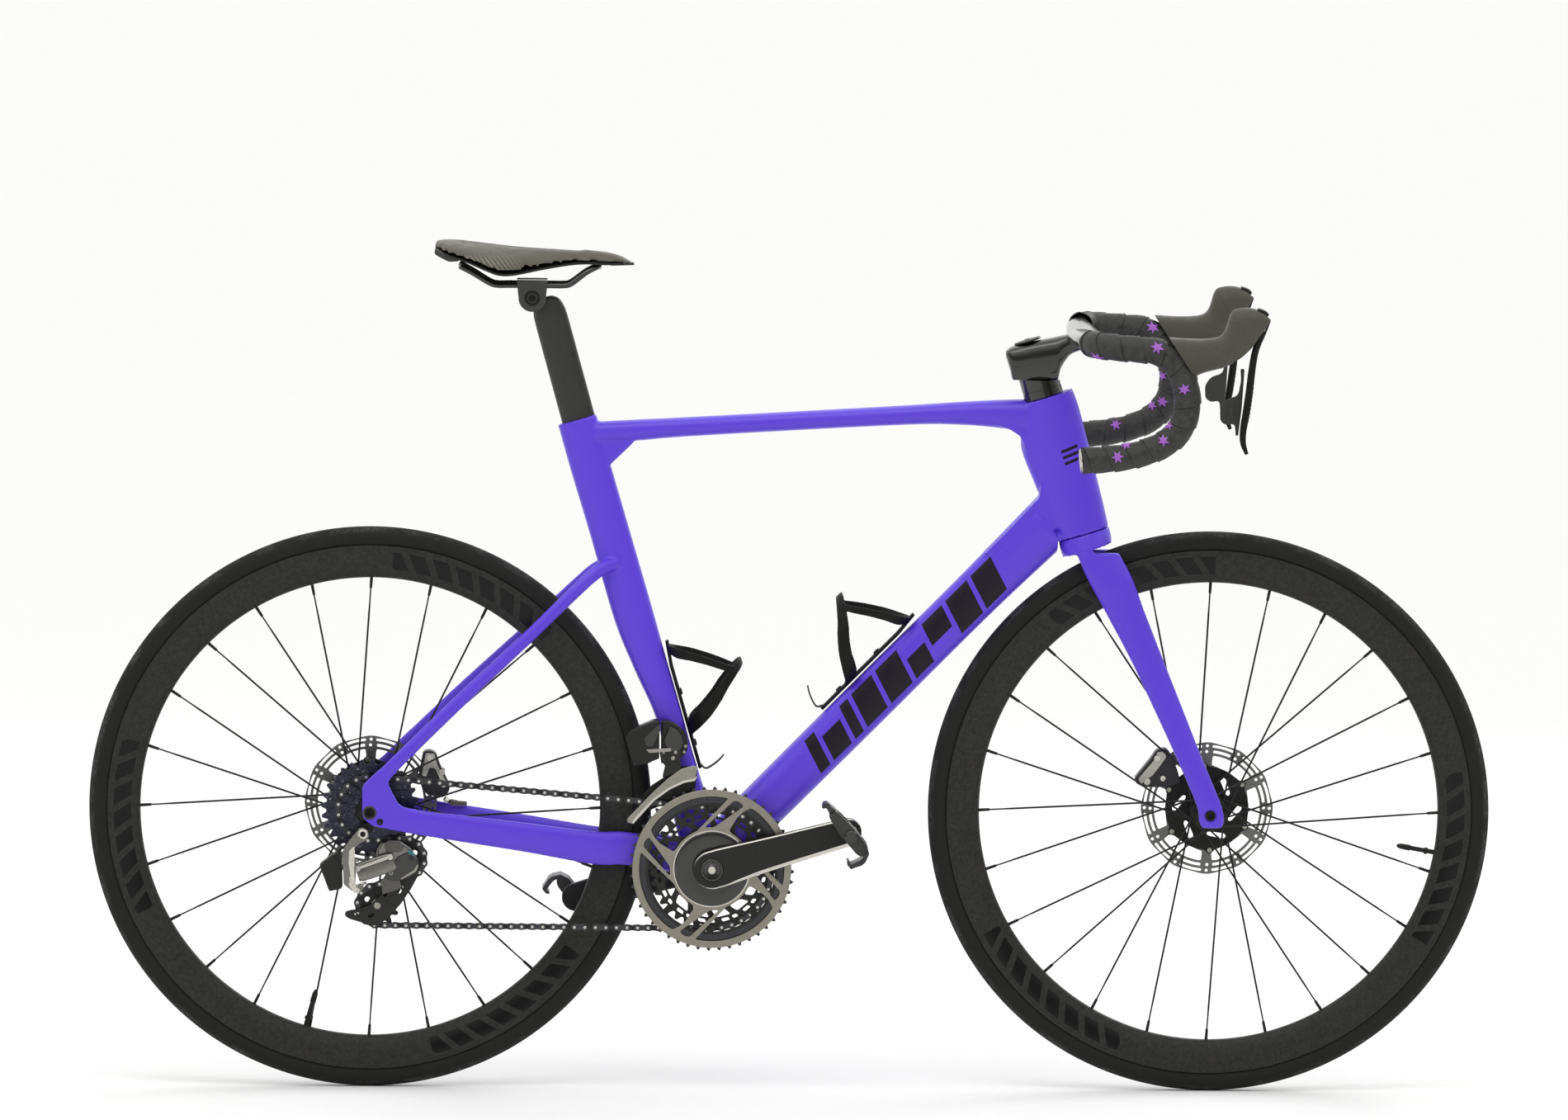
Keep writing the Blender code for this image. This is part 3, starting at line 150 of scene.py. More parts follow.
def turned(profile, centre, segments=96, axis=Y, closed_profile=True):
    """Turn a profile of (radius, height) round an axis through a centre."""
    axis = axis.normalized()
    first = Vector((0, 0, -1)) if abs(axis.z) < 0.9 else Vector((1, 0, 0))
    first = (first - axis * first.dot(axis)).normalized()
    second = axis.cross(first)
    rings = []
    for i in range(segments):
        turn = TAU * i / segments
        out = first * math.cos(turn) + second * math.sin(turn)
        rings.append([centre + out * r + axis * h for r, h in profile])
    return loft(rings, closed=True)


def spin(centre, turn, radius, y=0.0):
    """A point at a clock angle round a lateral axis: 0 points down, and it grows as the wheel rolls."""
    return Vector((centre.x + radius * math.sin(turn), y, centre.z - radius * math.cos(turn)))


def disc(radius, low, high, centre, sides=32, axis=Y):
    first = Vector((0, 0, -1)) if abs(axis.z) < 0.9 else Vector((1, 0, 0))
    first = (first - axis * first.dot(axis)).normalized()
    second = axis.normalized().cross(first)
    rings = [ring(centre + axis.normalized() * h, first, second, radius, radius, sides) for h in (low, high)]
    return loft(rings)


def prism(outline, low, high):
    """An outline of (x, z) points between two heights of y."""
    return loft([[Vector((x, y, z)) for x, z in outline] for y in (low, high)])


def rounded(outline, radius, steps=4):
    """Round the corners of a closed outline of (x, z) points."""
    pts = [Vector(p) for p in outline]
    out = []
    for i, p in enumerate(pts):
        a, b = pts[i - 1] - p, pts[(i + 1) % len(pts)] - p
        r = min(radius, a.length * 0.45, b.length * 0.45)
        start, stop = p + a.normalized() * r, p + b.normalized() * r
        for k in range(steps + 1):
            t = k / steps
            out.append(tuple(start * (1 - t) ** 2 + p * 2 * t * (1 - t) + stop * t * t))
    return out


def gear_outline(teeth, root, tip, centre, shape=((0.0, 0), (0.16, 0), (0.30, 0.75), (0.42, 1),
                                                  (0.58, 1), (0.70, 0.75), (0.84, 0))):
    points = []
    for i in range(teeth):
        for share, high in shape:
            p = spin(centre, TAU * (i + share) / teeth, root + (tip - root) * high)
            points.append((p.x, p.z))
    return points


def toothed(teeth, root, tip, bore, low, high, centre):
    """A toothed ring with a round bore."""
    outer = gear_outline(teeth, root, tip, centre)
    rings = []
    for x, z in outer:
        turn = math.atan2(x - centre.x, centre.z - z)
        inner = spin(centre, turn, bore)
        rings.append([Vector((x, low, z)), Vector((x, high, z)),
                      Vector((inner.x, high, inner.z)), Vector((inner.x, low, inner.z))])
    return loft(rings, closed=True)


def screw(centre, radius, low, high, axis=Y, socket=0.5):
    """A round bolt head with a chamfer and a six-sided socket in its outer (high) face."""
    axis = axis.normalized()
    first = Vector((0, 0, -1)) if abs(axis.z) < 0.9 else Vector((1, 0, 0))
    first = (first - axis * first.dot(axis)).normalized()
    second = axis.cross(first)
    lip = min(0.15 * radius, abs(high - low) * 0.4)
    grow = 1 if high > low else -1
    sides = 24

    def row(r, h, six=False):
        points = []
        for i in range(sides):
            turn = TAU * i / sides
            reach = r
            if six:
                part = (turn % (TAU / 6)) - TAU / 12
                reach = r * math.cos(TAU / 12) / math.cos(part)
            points.append(centre + (first * math.cos(turn) + second * math.sin(turn)) * reach + axis * h)
        return points

    rows = [row(radius, low), row(radius, high - lip * grow), row(radius - lip, high),
            row(radius * socket, high, True), row(radius * socket * 0.96,
                                                  high - abs(high - low) * 0.55 * grow, True)]
    return loft(rows)


# ------------------------------------------------------------ objects
def mesh_object(name, shape):
    mesh = bpy.data.meshes.new(name)
    mesh.from_pydata([tuple(p) for p in shape.points], [], shape.faces)
    mesh.update()
    thing = bpy.data.objects.new(name, mesh)
    STUDIO.collection.objects.link(thing)
    work = bmesh.new()
    work.from_mesh(mesh)
    bmesh.ops.recalc_face_normals(work, faces=work.faces)
    work.to_mesh(mesh)
    work.free()
    return thing


def soften(thing, angle=35):
    thing.data.shade_smooth()
    thing.data.set_sharp_from_angle(angle=math.radians(angle))
    return thing


def bake_modifiers(thing):
    bpy.context.view_layer.update()
    graph = bpy.context.evaluated_depsgraph_get()
    mesh = bpy.data.meshes.new_from_object(thing.evaluated_get(graph))
    old = thing.data
    thing.modifiers.clear()
    thing.data = mesh
    bpy.data.meshes.remove(old)
    return thing


def carve(thing, *cutters, operation="DIFFERENCE"):
    """Cut closed shapes out of an object."""
    for shape in cutters:
        tool = mesh_object("cutter", shape)
        step = thing.modifiers.new("carve", "BOOLEAN")
        step.operation = operation
        step.solver = "MANIFOLD"
        step.object = tool
        bake_modifiers(thing)
        bpy.data.objects.remove(tool, do_unlink=True)
    return thing


def remesh(thing, voxel, rounds=10):
    """Fuse overlapping closed shapes into one skin and take the steps out of it."""
    step = thing.modifiers.new("skin", "REMESH")
    step.mode = "VOXEL"
    step.voxel_size = voxel
    bake_modifiers(thing)
    relax(thing.data, rounds)
    return thing


def relax(mesh, rounds, inward=0.5, outward=-0.53):
    """Smooth without shrinking: each round moves in and then back out."""
    count = len(mesh.vertices)
    co = np.zeros(count * 3)
    mesh.vertices.foreach_get("co", co)
    co = co.reshape(-1, 3)
    edges = np.zeros(len(mesh.edges) * 2, int)
    mesh.edges.foreach_get("vertices", edges)
    a, b = edges.reshape(-1, 2).T
    degree = (np.bincount(a, minlength=count) + np.bincount(b, minlength=count))[:, None]
    for _ in range(rounds):
        for factor in (inward, outward):
            total = np.empty_like(co)
            for axis in range(3):
                total[:, axis] = (np.bincount(a, co[b, axis], count) + np.bincount(b, co[a, axis], count))
            co += (total / degree - co) * factor
    mesh.vertices.foreach_set("co", co.ravel())
    mesh.update()


def piece(name, shape, material, body, stands_for=(), bevel=0.0, angle=35, cuts=(), subdivide=0):
    """One visible piece: mesh, finish, body, and the CAD nodes that it stands for."""
    thing = shape if isinstance(shape, bpy.types.Object) else mesh_object(name, shape)
    thing.name = name
    thing.data.name = name
    carve(thing, *cuts)
    soften(thing, angle)
    if bevel:
        edge = thing.modifiers.new("edge", "BEVEL")
        edge.width = bevel
        edge.segments = 2
        edge.limit_method = "ANGLE"
        edge.angle_limit = math.radians(angle)
        edge.use_clamp_overlap = True
        edge.harden_normals = False
        even = thing.modifiers.new("even", "WEIGHTED_NORMAL")
        even.keep_sharp = True
    if subdivide:
        level = thing.modifiers.new("smooth", "SUBSURF")
        level.levels = level.render_levels = subdivide
    thing.data.materials.clear()
    thing.data.materials.append(material)
    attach(thing, body)
    if stands_for:
        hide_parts(*([stands_for] if isinstance(stands_for, str) else stands_for))
    return thing


# ------------------------------------------------------------ materials
class Nodes:
    """A node material with short calls for the nodes used here."""

    def __init__(self, name, colour, rough, metal=0.0, coat=0.0, coat_rough=0.1, specular=0.5, sheen=0.0):
        self.material = bpy.data.materials.new(name)
        self.material.use_nodes = True
        self.tree = self.material.node_tree
        self.shader = self.tree.nodes["Principled BSDF"]
        self.set("Base Color", (*colour, 1))
        self.set("Roughness", rough)
        self.set("Metallic", metal)
        self.set("Coat Weight", coat)
        self.set("Coat Roughness", coat_rough)
        self.set("Specular IOR Level", specular)
        self.set("Sheen Weight", sheen)
        self.colour = colour
        self.rough = rough
        self.place = self.tree.nodes.new("ShaderNodeTexCoord").outputs["Object"]
        self.height = None

    def set(self, socket, value):
        self.shader.inputs[socket].default_value = value

    def node(self, kind, inputs=(), **values):
        made = self.tree.nodes.new("ShaderNode" + kind)
        for key, value in values.items():
            setattr(made, key, value)
        for key, value in dict(inputs).items():
            if isinstance(value, bpy.types.NodeSocket):
                self.tree.links.new(value, made.inputs[key])
            else:
                made.inputs[key].default_value = value
        return made

    def math(self, operation, a, b=0.0, c=0.0):
        return self.node("Math", {0: a, 1: b, 2: c}, operation=operation).outputs[0]

    def noise(self, scale, detail=4.0, stretch=(1, 1, 1), rough=0.6, place=None):
        spot = self.node("Mapping", {"Vector": place or self.place, "Scale": stretch}).outputs[0]
        return self.node("TexNoise", {"Vector": spot, "Scale": scale, "Detail": detail,
                                      "Roughness": rough}).outputs["Fac"]

    def cells(self, scale, feature="F1", stretch=(1, 1, 1)):
        spot = self.node("Mapping", {"Vector": self.place, "Scale": stretch}).outputs[0]
        return self.node("TexVoronoi", {"Vector": spot, "Scale": scale}, feature=feature).outputs["Distance"]

    def wave(self, scale, turn=(0, 0, 0), distort=0.0, profile="SIN"):
        spot = self.node("Mapping", {"Vector": self.place, "Rotation": turn}).outputs[0]
        return self.node("TexWave", {"Vector": spot, "Scale": scale, "Distortion": distort},
                         wave_profile=profile).outputs["Fac"]

    def remap(self, value, low, high, to_low, to_high):
        return self.node("MapRange", {"Value": value, "From Min": low, "From Max": high,
                                      "To Min": to_low, "To Max": to_high}).outputs[0]

    def mix(self, share, first, second):
        made = self.node("Mix", data_type="RGBA")
        for socket, value in ((made.inputs[0], share), (made.inputs[6], first), (made.inputs[7], second)):
            if isinstance(value, bpy.types.NodeSocket):
                self.tree.links.new(value, socket)
            else:
                socket.default_value = (*value, 1) if isinstance(value, tuple) else value
        return made.outputs[2]

    def link(self, value, socket):
        self.tree.links.new(value, self.shader.inputs[socket])
        return self

    def tint(self, value, low, high, spread):
        """Colour from darker to lighter by a texture value."""
        dark = tuple(c * (1 - spread) for c in self.colour)
        light = tuple(min(1.0, c * (1 + spread)) for c in self.colour)
        return self.link(self.mix(self.remap(value, low, high, 0, 1), dark, light), "Base Color")

    def gloss(self, value, low, high, spread):
        return self.link(self.remap(value, low, high, max(0.02, self.rough - spread),
                                    min(1.0, self.rough + spread)), "Roughness")

    def bump(self, value, depth, strength=1.0):
        """Relief of a depth in metres."""
        inputs = {"Height": value, "Distance": depth, "Strength": strength}
        if self.height:
            inputs["Normal"] = self.height
        self.height = self.node("Bump", inputs).outputs[0]
        self.tree.links.new(self.height, self.shader.inputs["Normal"])
        return self


def plain(name, colour, rough, metal=0.0, grain=900, spread=0.2, relief=0.00005, stretch=(1, 1, 1), **more):
    """A finish with its own fine grain, tone and gloss variation."""
    m = Nodes(name, colour, rough, metal, **more)
    fine = m.noise(grain, 5, stretch)
    m.tint(fine, 0.3, 0.7, spread)
    m.gloss(m.noise(grain / 12, 3), 0.3, 0.7, 0.25 * rough)
    m.bump(fine, relief)
    return m


def woven(name, colour, rough, pitch=0.0022, relief=0.00006, spread=0.35, **more):
    """Carbon fibre under a clear layer: a twill of two crossing bands."""
    m = Nodes(name, colour, rough, **more)
    scale = 0.1 * math.pi / pitch
    a = m.wave(scale, (0, math.radians(45), 0))
    b = m.wave(scale, (0, math.radians(-45), 0))
    c = m.wave(scale, (0, 0, math.radians(45)))
    cloth = m.math("MULTIPLY", m.math("MAXIMUM", a, b), m.math("ADD", c, 0.5))
    m.tint(cloth, 0.2, 1.2, spread)
    m.gloss(m.noise(160, 3), 0.3, 0.7, 0.3 * rough)
    m.bump(m.noise(1500, 4), relief)
    return m


def polar(m, centre):
    """Clock angle (turns) and distance from a wheel's axle, as sockets."""
    spot = m.node("SeparateXYZ", {0: m.place}).outputs
    dx = m.math("SUBTRACT", spot[0], centre.x)
    dz = m.math("SUBTRACT", spot[2], centre.z)
    far = m.math("SQRT", m.math("ADD", m.math("MULTIPLY", dx, dx), m.math("MULTIPLY", dz, dz)))
    turn = m.math("DIVIDE", m.math("ARCTAN2", dx, dz), TAU)
    return turn, far, spot[1]


PAINT = plain("violet_paint", (0.100, 0.042, 0.660), 0.38, grain=2600, spread=0.06, relief=0.00001,
              coat=0.20, coat_rough=0.30, specular=0.35)
PAINT.bump(PAINT.noise(90, 2), 0.00004)
GRAPHIC = plain("black_print", (0.006, 0.004, 0.010), 0.42, grain=1800, spread=0.15, relief=0.00001,
                specular=0.25)
MATTE_CARBON = woven("matte_carbon", (0.008, 0.008, 0.007), 0.48, specular=0.15)
GLOSS_BLACK = plain("gloss_black", (0.008, 0.0075, 0.006), 0.16, grain=1400, spread=0.25, relief=0.00001,
                    coat=0.5, coat_rough=0.06)
PLASTIC = plain("moulded_plastic", (0.008, 0.008, 0.007), 0.42, grain=2400, spread=0.25, relief=0.00006,
                specular=0.35)
SATIN_BLACK = plain("anodised_black", (0.007, 0.007, 0.006), 0.36, 0.3, grain=2000, spread=0.2,
                    relief=0.00003,
                    specular=0.35)
STEEL = plain("brushed_steel", (0.36, 0.35, 0.31), 0.30, 1.0, grain=700, spread=0.12, relief=0.00002,
              stretch=(1, 6, 1))
DARK_STEEL = plain("dark_steel", (0.060, 0.061, 0.066), 0.34, 1.0, grain=900, spread=0.3, relief=0.00003)
SILVER = plain("polished_alloy", (0.62, 0.60, 0.54), 0.24, 1.0, grain=500, spread=0.1, relief=0.00002)
TAUPE = plain("taupe_alloy", (0.30, 0.28, 0.235), 0.36, 1.0, grain=1200, spread=0.10, relief=0.00002)
CABLE = plain("cable_jacket", (0.009, 0.009, 0.009), 0.5, grain=1600, spread=0.2, relief=0.00004,
              specular=0.3)


# ------------------------------------------------------------ layout read from the frame
REAR_AXLE = midpoint(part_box("rear_rim"))
FRONT_AXLE = midpoint(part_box("front_rim"))
CRANK_AXIS = midpoint(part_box("crank_spider"))
for centre in (REAR_AXLE, FRONT_AXLE, CRANK_AXIS):
    centre.y = 0.0
STEER_BASE = Vector((0.3532, 0, 0.6757))
STEER_UP = Vector((-0.2924, 0, 0.9563))
STEER_FORE = Vector((0.9563, 0, 0.2924))
HEAD_LENGTH = 0.1708
POST_BASE = Vector((-0.2575, 0, 0.8080))
POST_UP = Vector((-0.2680, 0, 0.9634)).normalized()
HOOD_Y = 0.210


def steer(up, fore=0.0, y=0.0):
    return STEER_BASE + STEER_UP * up + STEER_FORE * fore + Y * y


def mirrored(stations, side):
    return [(s[0], s[1] * side, *s[2:]) for s in stations]


# ------------------------------------------------------------ frame and fork
def build_frame_and_fork():
    skin = Shape()
    seat = [(-0.2595, 0, 0.8085, 0.0238, 0.0168), (-0.2440, 0, 0.7550, 0.0240, 0.0165),
            (-0.2200, 0, 0.6753, 0.0237, 0.0165), (-0.1908, 0, 0.5758, 0.0240, 0.0165),
            (-0.1702, 0, 0.5162, 0.0206, 0.0165), (-0.1481, 0, 0.4566, 0.0162, 0.0170),
            (-0.1330, 0, 0.4000, 0.0170, 0.0190), (-0.1200, 0, 0.3420, 0.0230, 0.0240),
            (-0.1000, 0, 0.2800, 0.0250, 0.0300)]
    down = [(-0.0900, 0, 0.2840, 0.0275, 0.0330), (-0.0300, 0, 0.3445, 0.0285, 0.0290),
            (0.0832, 0, 0.4588, 0.0292, 0.0240), (0.2200, 0, 0.5970, 0.0292, 0.0230),
            (0.3080, 0, 0.6850, 0.0320, 0.0240)]
    top = [(-0.2500, 0, 0.7925, 0.0125, 0.0150), (-0.1898, 0, 0.7959, 0.0127, 0.0170),
           (-0.1161, 0, 0.8011, 0.0115, 0.0175), (0.1230, 0, 0.8155, 0.0115, 0.0175),
           (0.2027, 0, 0.8188, 0.0138, 0.0180), (0.2625, 0, 0.8178, 0.0180, 0.0190),
           (0.3150, 0, 0.8130, 0.0240, 0.0200)]
    skin.join(sweep(seat, 60, 40, 2.6), sweep(down, 50, 40, 2.8), sweep(top, 60, 40, 2.6))
    head = []
    for up, back, fore, half in curve_through(((0.0, 0.0325, 0.0302, 0.0292), (0.03, 0.036, 0.0320, 0.0270),
                                               (0.075, 0.041, 0.0340, 0.0240), (0.12, 0.044, 0.0358, 0.0240),
                                               (0.15, 0.033, 0.0366, 0.0252),
                                               (HEAD_LENGTH, 0.0245, 0.0352, 0.0252)), 40):
        head.append(ring(steer(up, (fore - back) / 2), STEER_FORE, Y, (fore + back) / 2, half, 40, 2.5))
    skin.join(loft(head))
    skin.join(prism([(-0.236, 0.775), (-0.222, 0.752), (-0.192, 0.781), (-0.196, 0.800), (-0.240, 0.800)],
                    -0.012, 0.012))
    skin.join(prism([(0.236, 0.8105), (0.262, 0.8005), (0.2745, 0.7925), (0.282, 0.774), (0.310, 0.780),
                     (0.300, 0.820)], -0.0175, 0.0175))
    skin.join(prism([(0.300, 0.735), (0.2975, 0.7184), (0.2785, 0.6984), (0.2570, 0.6750), (0.2330, 0.6510),
                     (0.262, 0.640), (0.330, 0.690), (0.325, 0.735)], -0.0205, 0.0205))
    skin.join(disc(0.0305, -0.0430, 0.0430, CRANK_AXIS, 48))
    for side in (-1, 1):
        offset = 0.0045 if side < 0 else 0.0
        stay = [(-0.1150, 0.0240, 0.2755, 0.0190, 0.0100), (-0.1550, 0.0262, 0.2860, 0.0192, 0.0090),
                (-0.2000, 0.0278, 0.2925, 0.0200, 0.0080), (-0.2356, 0.0345, 0.2935, 0.0198, 0.0078),
                (-0.3153, 0.0510, 0.3068, 0.0176, 0.0075), (-0.3950, 0.0668, 0.3190, 0.0160, 0.0065),
                (-0.4400, 0.0745 + offset, 0.3262, 0.0150, 0.0048),
                (-0.4720, 0.0752 + offset, 0.3320, 0.0150, 0.0042)]
        skin.join(sweep(mirrored(stay, side), 60, 28, 2.8))
        upper = [(-0.4870, 0.0752 + offset, 0.3860, 0.0085, 0.0042),
                 (-0.4650, 0.0745 + offset, 0.4085, 0.0080, 0.0052),
                 (-0.3950, 0.0660, 0.4762, 0.0078, 0.0062), (-0.3153, 0.0520, 0.5508, 0.0076, 0.0062),
                 (-0.2580, 0.0380, 0.6060, 0.0078, 0.0064), (-0.2330, 0.0255, 0.6275, 0.0082, 0.0068),
                 (-0.2140, 0.0120, 0.6350, 0.0085, 0.0080), (-0.1960, 0.0, 0.6355, 0.0080, 0.0080)]
        skin.join(sweep(mirrored(upper, side), 70, 24, 2.3))
        ear = [(-0.5026, 0.3228), (-0.5148, 0.3336), (-0.5148, 0.3715), (-0.4930, 0.3925), (-0.4800, 0.3850),
               (-0.4845, 0.3740), (-0.4715, 0.3490), (-0.4560, 0.3420), (-0.4560, 0.3140)]
        low, high = sorted((side * (0.071 + offset), side * (0.0794 + offset)))
        skin.join(prism(rounded(ear, 0.004), low, high))
    shell = remesh(mesh_object("frame_shell", skin), FRAME_VOXEL, 9)
    pocket = loft([ring(POST_BASE + POST_UP * s, POST_UP.cross(Y), Y, 0.0207, 0.0120, 32, 2.4)
                   for s in (-0.112, 0.05)])
    room = disc(0.0395, -0.05, 0.0, STEER_BASE, 48, STEER_UP)
    bore = disc(0.0195, -0.02, HEAD_LENGTH + 0.02, STEER_BASE, 32, STEER_UP)
    above = disc(0.0255, HEAD_LENGTH, HEAD_LENGTH + 0.03, STEER_BASE, 48, STEER_UP)
    hanger_space = prism([(-0.530, 0.300), (-0.530, 0.365), (-0.480, 0.365), (-0.480, 0.300)], -0.0757,
                         -0.060)
    piece("frame_shell", shell, PAINT.material, "frame", "frame", angle=38,
          cuts=(pocket, bore, room, above, disc(0.0063, -0.12, 0.12, REAR_AXLE, 32), hanger_space,
                disc(0.0085, -0.0860, -0.0800, REAR_AXLE, 48), disc(0.0085, 0.0772, 0.0860, REAR_AXLE, 48),
                disc(0.0227, -0.06, 0.06, CRANK_AXIS, 48)))
    fork = Shape()
    crown = []
    for up, back, fore, half in ((-0.0008, 0.0325, 0.0302, 0.0290), (-0.0100, 0.0335, 0.0302, 0.0320),
                                 (-0.0205, 0.0335, 0.0285, 0.0355)):
        crown.append(ring(steer(up, (fore - back) / 2), STEER_FORE, Y, (fore + back) / 2, half, 40, 2.2))
    fork.join(loft(crown), disc(0.0188, -0.006, 0.0090, STEER_BASE, 40, STEER_UP),
              disc(0.0143, 0.005, 0.2365, STEER_BASE, 32, STEER_UP))
    for side in (-1, 1):
        rows = curve_through(((0.6530, 0.3430, 0.3945, 0.0268, 0.0082),
                              (0.6238, 0.3550, 0.4100, 0.0305, 0.0088),
                              (0.5842, 0.3770, 0.4250, 0.0328, 0.0085),
                              (0.5249, 0.4090, 0.4485, 0.0370, 0.0085),
                              (0.4657, 0.4376, 0.4724, 0.0430, 0.0082),
                              (0.4064, 0.4654, 0.4962, 0.0507, 0.0076),
                              (0.3668, 0.4830, 0.5130, 0.0548, 0.0066),
                              (0.3470, 0.4905, 0.5205, 0.0562, 0.0060),
                              (0.3330, 0.4925, 0.5225, 0.0562, 0.0060),
                              (0.3240, 0.4960, 0.5200, 0.0562, 0.0058)), 80)
        fork.join(loft([ring(Vector(((rear + fore) / 2, side * y, z)), X, Y, (fore - rear) / 2, half, 36, 2.5)
                        for z, rear, fore, y, half in rows]))
    skin = remesh(mesh_object("fork_shell", fork), FRAME_VOXEL, 9)
    piece("fork_shell", skin, PAINT.material, "cockpit", "fork", angle=38,
          cuts=(disc(0.0063, -0.1, 0.1, FRONT_AXLE, 32), disc(0.0115, 0.01, 0.30, STEER_BASE, 32, STEER_UP),
                disc(0.0080, -0.070, -0.0602, FRONT_AXLE, 48), disc(0.0080, 0.0602, 0.070, FRONT_AXLE, 48)))
    for node, material in (("derailleur_hanger", SATIN_BLACK), ("bottom_bracket", SATIN_BLACK),
                           ("headset_lower_bearing", STEEL), ("headset_upper_bearing", STEEL)):
        finish_node(node, material)
    build_graphics()


FRAME_VOXEL = 0.0022


def finish_node(name, material):
    """Give a CAD node its detailed material."""
    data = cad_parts[name].data
    data.materials.clear()
    data.materials.append(material.material)


def decal(name, host, outlines, to_world, lift, body, material):
    """Thin prints laid on a host surface: outlines in (u, w), each shot onto the host from both sides."""
    tree = BVHTree.FromObject(host, bpy.context.evaluated_depsgraph_get())
    out = Shape()
    for side in (-1, 1):
        for outline in outlines:
            work = bmesh.new()
            face = work.faces.new([work.verts.new((u, w, 0)) for u, w in outline])
            for axis, low, high in ((0, min(u for u, w in outline), max(u for u, w in outline)),
                                    (1, min(w for u, w in outline), max(w for u, w in outline))):
                at = math.floor(low / 0.004) * 0.004
                while at < high:
                    point = (at, 0, 0) if axis == 0 else (0, at, 0)
                    normal = (1, 0, 0) if axis == 0 else (0, 1, 0)
                    bmesh.ops.bisect_plane(work, geom=work.verts[:] + work.edges[:] + work.faces[:],
                                           plane_co=point, plane_no=normal)
                    at += 0.004
            bmesh.ops.triangulate(work, faces=work.faces)
            work.verts.index_update()
            points = []
            for v in work.verts:
                spot = to_world(v.co.x, v.co.y)
                hit, normal, _, _ = tree.ray_cast(Vector((spot.x, side * 0.3, spot.z)), Vector((0, -side, 0)))
                points.append((hit if hit else spot) + (normal if normal else Y * side) * lift)
            count = len(points)
            faces = [tuple(v.index for v in f.verts) for f in work.faces]
            rim = [tuple(v.index for v in e.verts) for e in work.edges if e.is_boundary]
            deep = [p - Y * side * lift * 1.6 for p in points]
            walls = [(a, b, b + count, a + count) for a, b in rim]
            under = [tuple(reversed([i + count for i in f])) for f in faces]
            out.add(points + deep, faces + under + walls)
            work.free()
    return piece(name, out, material, body, angle=60)


def build_graphics():
    """Slanted black blocks on the down tube and small bars on the head tube, in place of lettering."""
    foot, along = Vector((0.0075, 0, 0.3835)), Vector((0.7037, 0, 0.7105))
    out = Vector((-0.7105, 0, 0.7037))

    def tube_place(u, w):
        return foot + along * u + out * w

    host = bpy.data.objects["frame_shell"]
    blocks = []
    start = 0.028
    lean = 0.32
    for width, low, high in ((0.016, -0.021, 0.021), (0.030, -0.021, 0.010), (0.014, -0.021, 0.021),
                             (0.034, -0.021, 0.021), (0.036, -0.021, 0.021), (0.030, -0.021, 0.004),
                             (0.034, -0.006, 0.021), (0.036, -0.021, 0.021), (0.034, -0.021, 0.021)):
        blocks.append([(start + low * lean, low), (start + width + low * lean, low),
                       (start + width + high * lean, high), (start + high * lean, high)])
        start += width + 0.0065
    decal("down_tube_blocks", host, blocks, tube_place, 0.00018, "frame", GRAPHIC.material)

    def head_place(u, w):
        return STEER_BASE + STEER_UP * w + STEER_FORE * u

    bars = [[(0.0005, low), (0.0215, low + 0.002), (0.0215, low + 0.0055), (0.0005, low + 0.0035)]
            for low in (0.086, 0.0935, 0.101)]
    decal("head_tube_bars", host, bars, head_place, 0.00018, "frame", GRAPHIC.material)


# ------------------------------------------------------------ handlebar, tape, hoods, levers
BAR_LINE = ((0.3530, 0.000, 0.9125), (0.3515, 0.070, 0.9135), (0.3505, 0.140, 0.9145),
            (0.3530, 0.172, 0.9150),
            (0.3620, 0.193, 0.9145), (0.3790, 0.2045, 0.9130), (0.4050, 0.2090, 0.9110),
            (0.4290, HOOD_Y, 0.9085), (0.4470, HOOD_Y, 0.8990), (0.4590, HOOD_Y, 0.8830),
            (0.4655, HOOD_Y, 0.8630), (0.4665, 0.2105, 0.8420), (0.4600, 0.2110, 0.8190),
            (0.4460, 0.2115, 0.8030), (0.4240, 0.2120, 0.7910), (0.3920, 0.2130, 0.7825),
            (0.3420, 0.2140, 0.7775))
TAPE_START = 3
WRAP = 0.0245                      # advance of the tape in one turn
TAPE_RADIUS = 0.0150
STEM_FLOOR = 0.8606


def bar_line(side, first=0, count=160):
    return [Vector((x, side * y, z)) for x, y, z in curve_through(BAR_LINE[first:], count)]


class Track:
    """Arc length along a path, with carried directions."""

    def __init__(self, path, start=Z):
        self.path = path
        self.frames = carried(path, start)
        self.at = [0.0]
        for a, b in zip(path, path[1:]):
            self.at.append(self.at[-1] + (b - a).length)
        self.length = self.at[-1]

    def point(self, s, turn, radius):
        s = min(max(s, 0.0), self.length)
        k = min(max(int(np.searchsorted(self.at, s)), 1), len(self.path) - 1)
        t = (s - self.at[k - 1]) / (self.at[k] - self.at[k - 1])
        centre = self.path[k - 1].lerp(self.path[k], t)
        across = self.frames[k - 1][0].lerp(self.frames[k][0], t)
        along = self.frames[k - 1][1].lerp(self.frames[k][1], t)
        return centre + (across * math.cos(turn) + along * math.sin(turn)) * radius

    def locate(self, x, z, inward):
        """Arc length and turn of the spot on the sleeve's side that lies over (x, z)."""
        k = min(range(len(self.path)), key=lambda i: (self.path[i].x - x) ** 2 + (self.path[i].z - z) ** 2)
        off = Vector((x, 0, z)) - Vector((self.path[k].x, 0, self.path[k].z))
        across, along = self.frames[k]
        rise = max(-0.85, min(0.85, off.dot(Vector((across.x, 0, across.z))) / TAPE_RADIUS))
        facing = 1 if along.dot(Y * inward) > 0 else -1
        return self.at[k], facing * math.acos(rise)


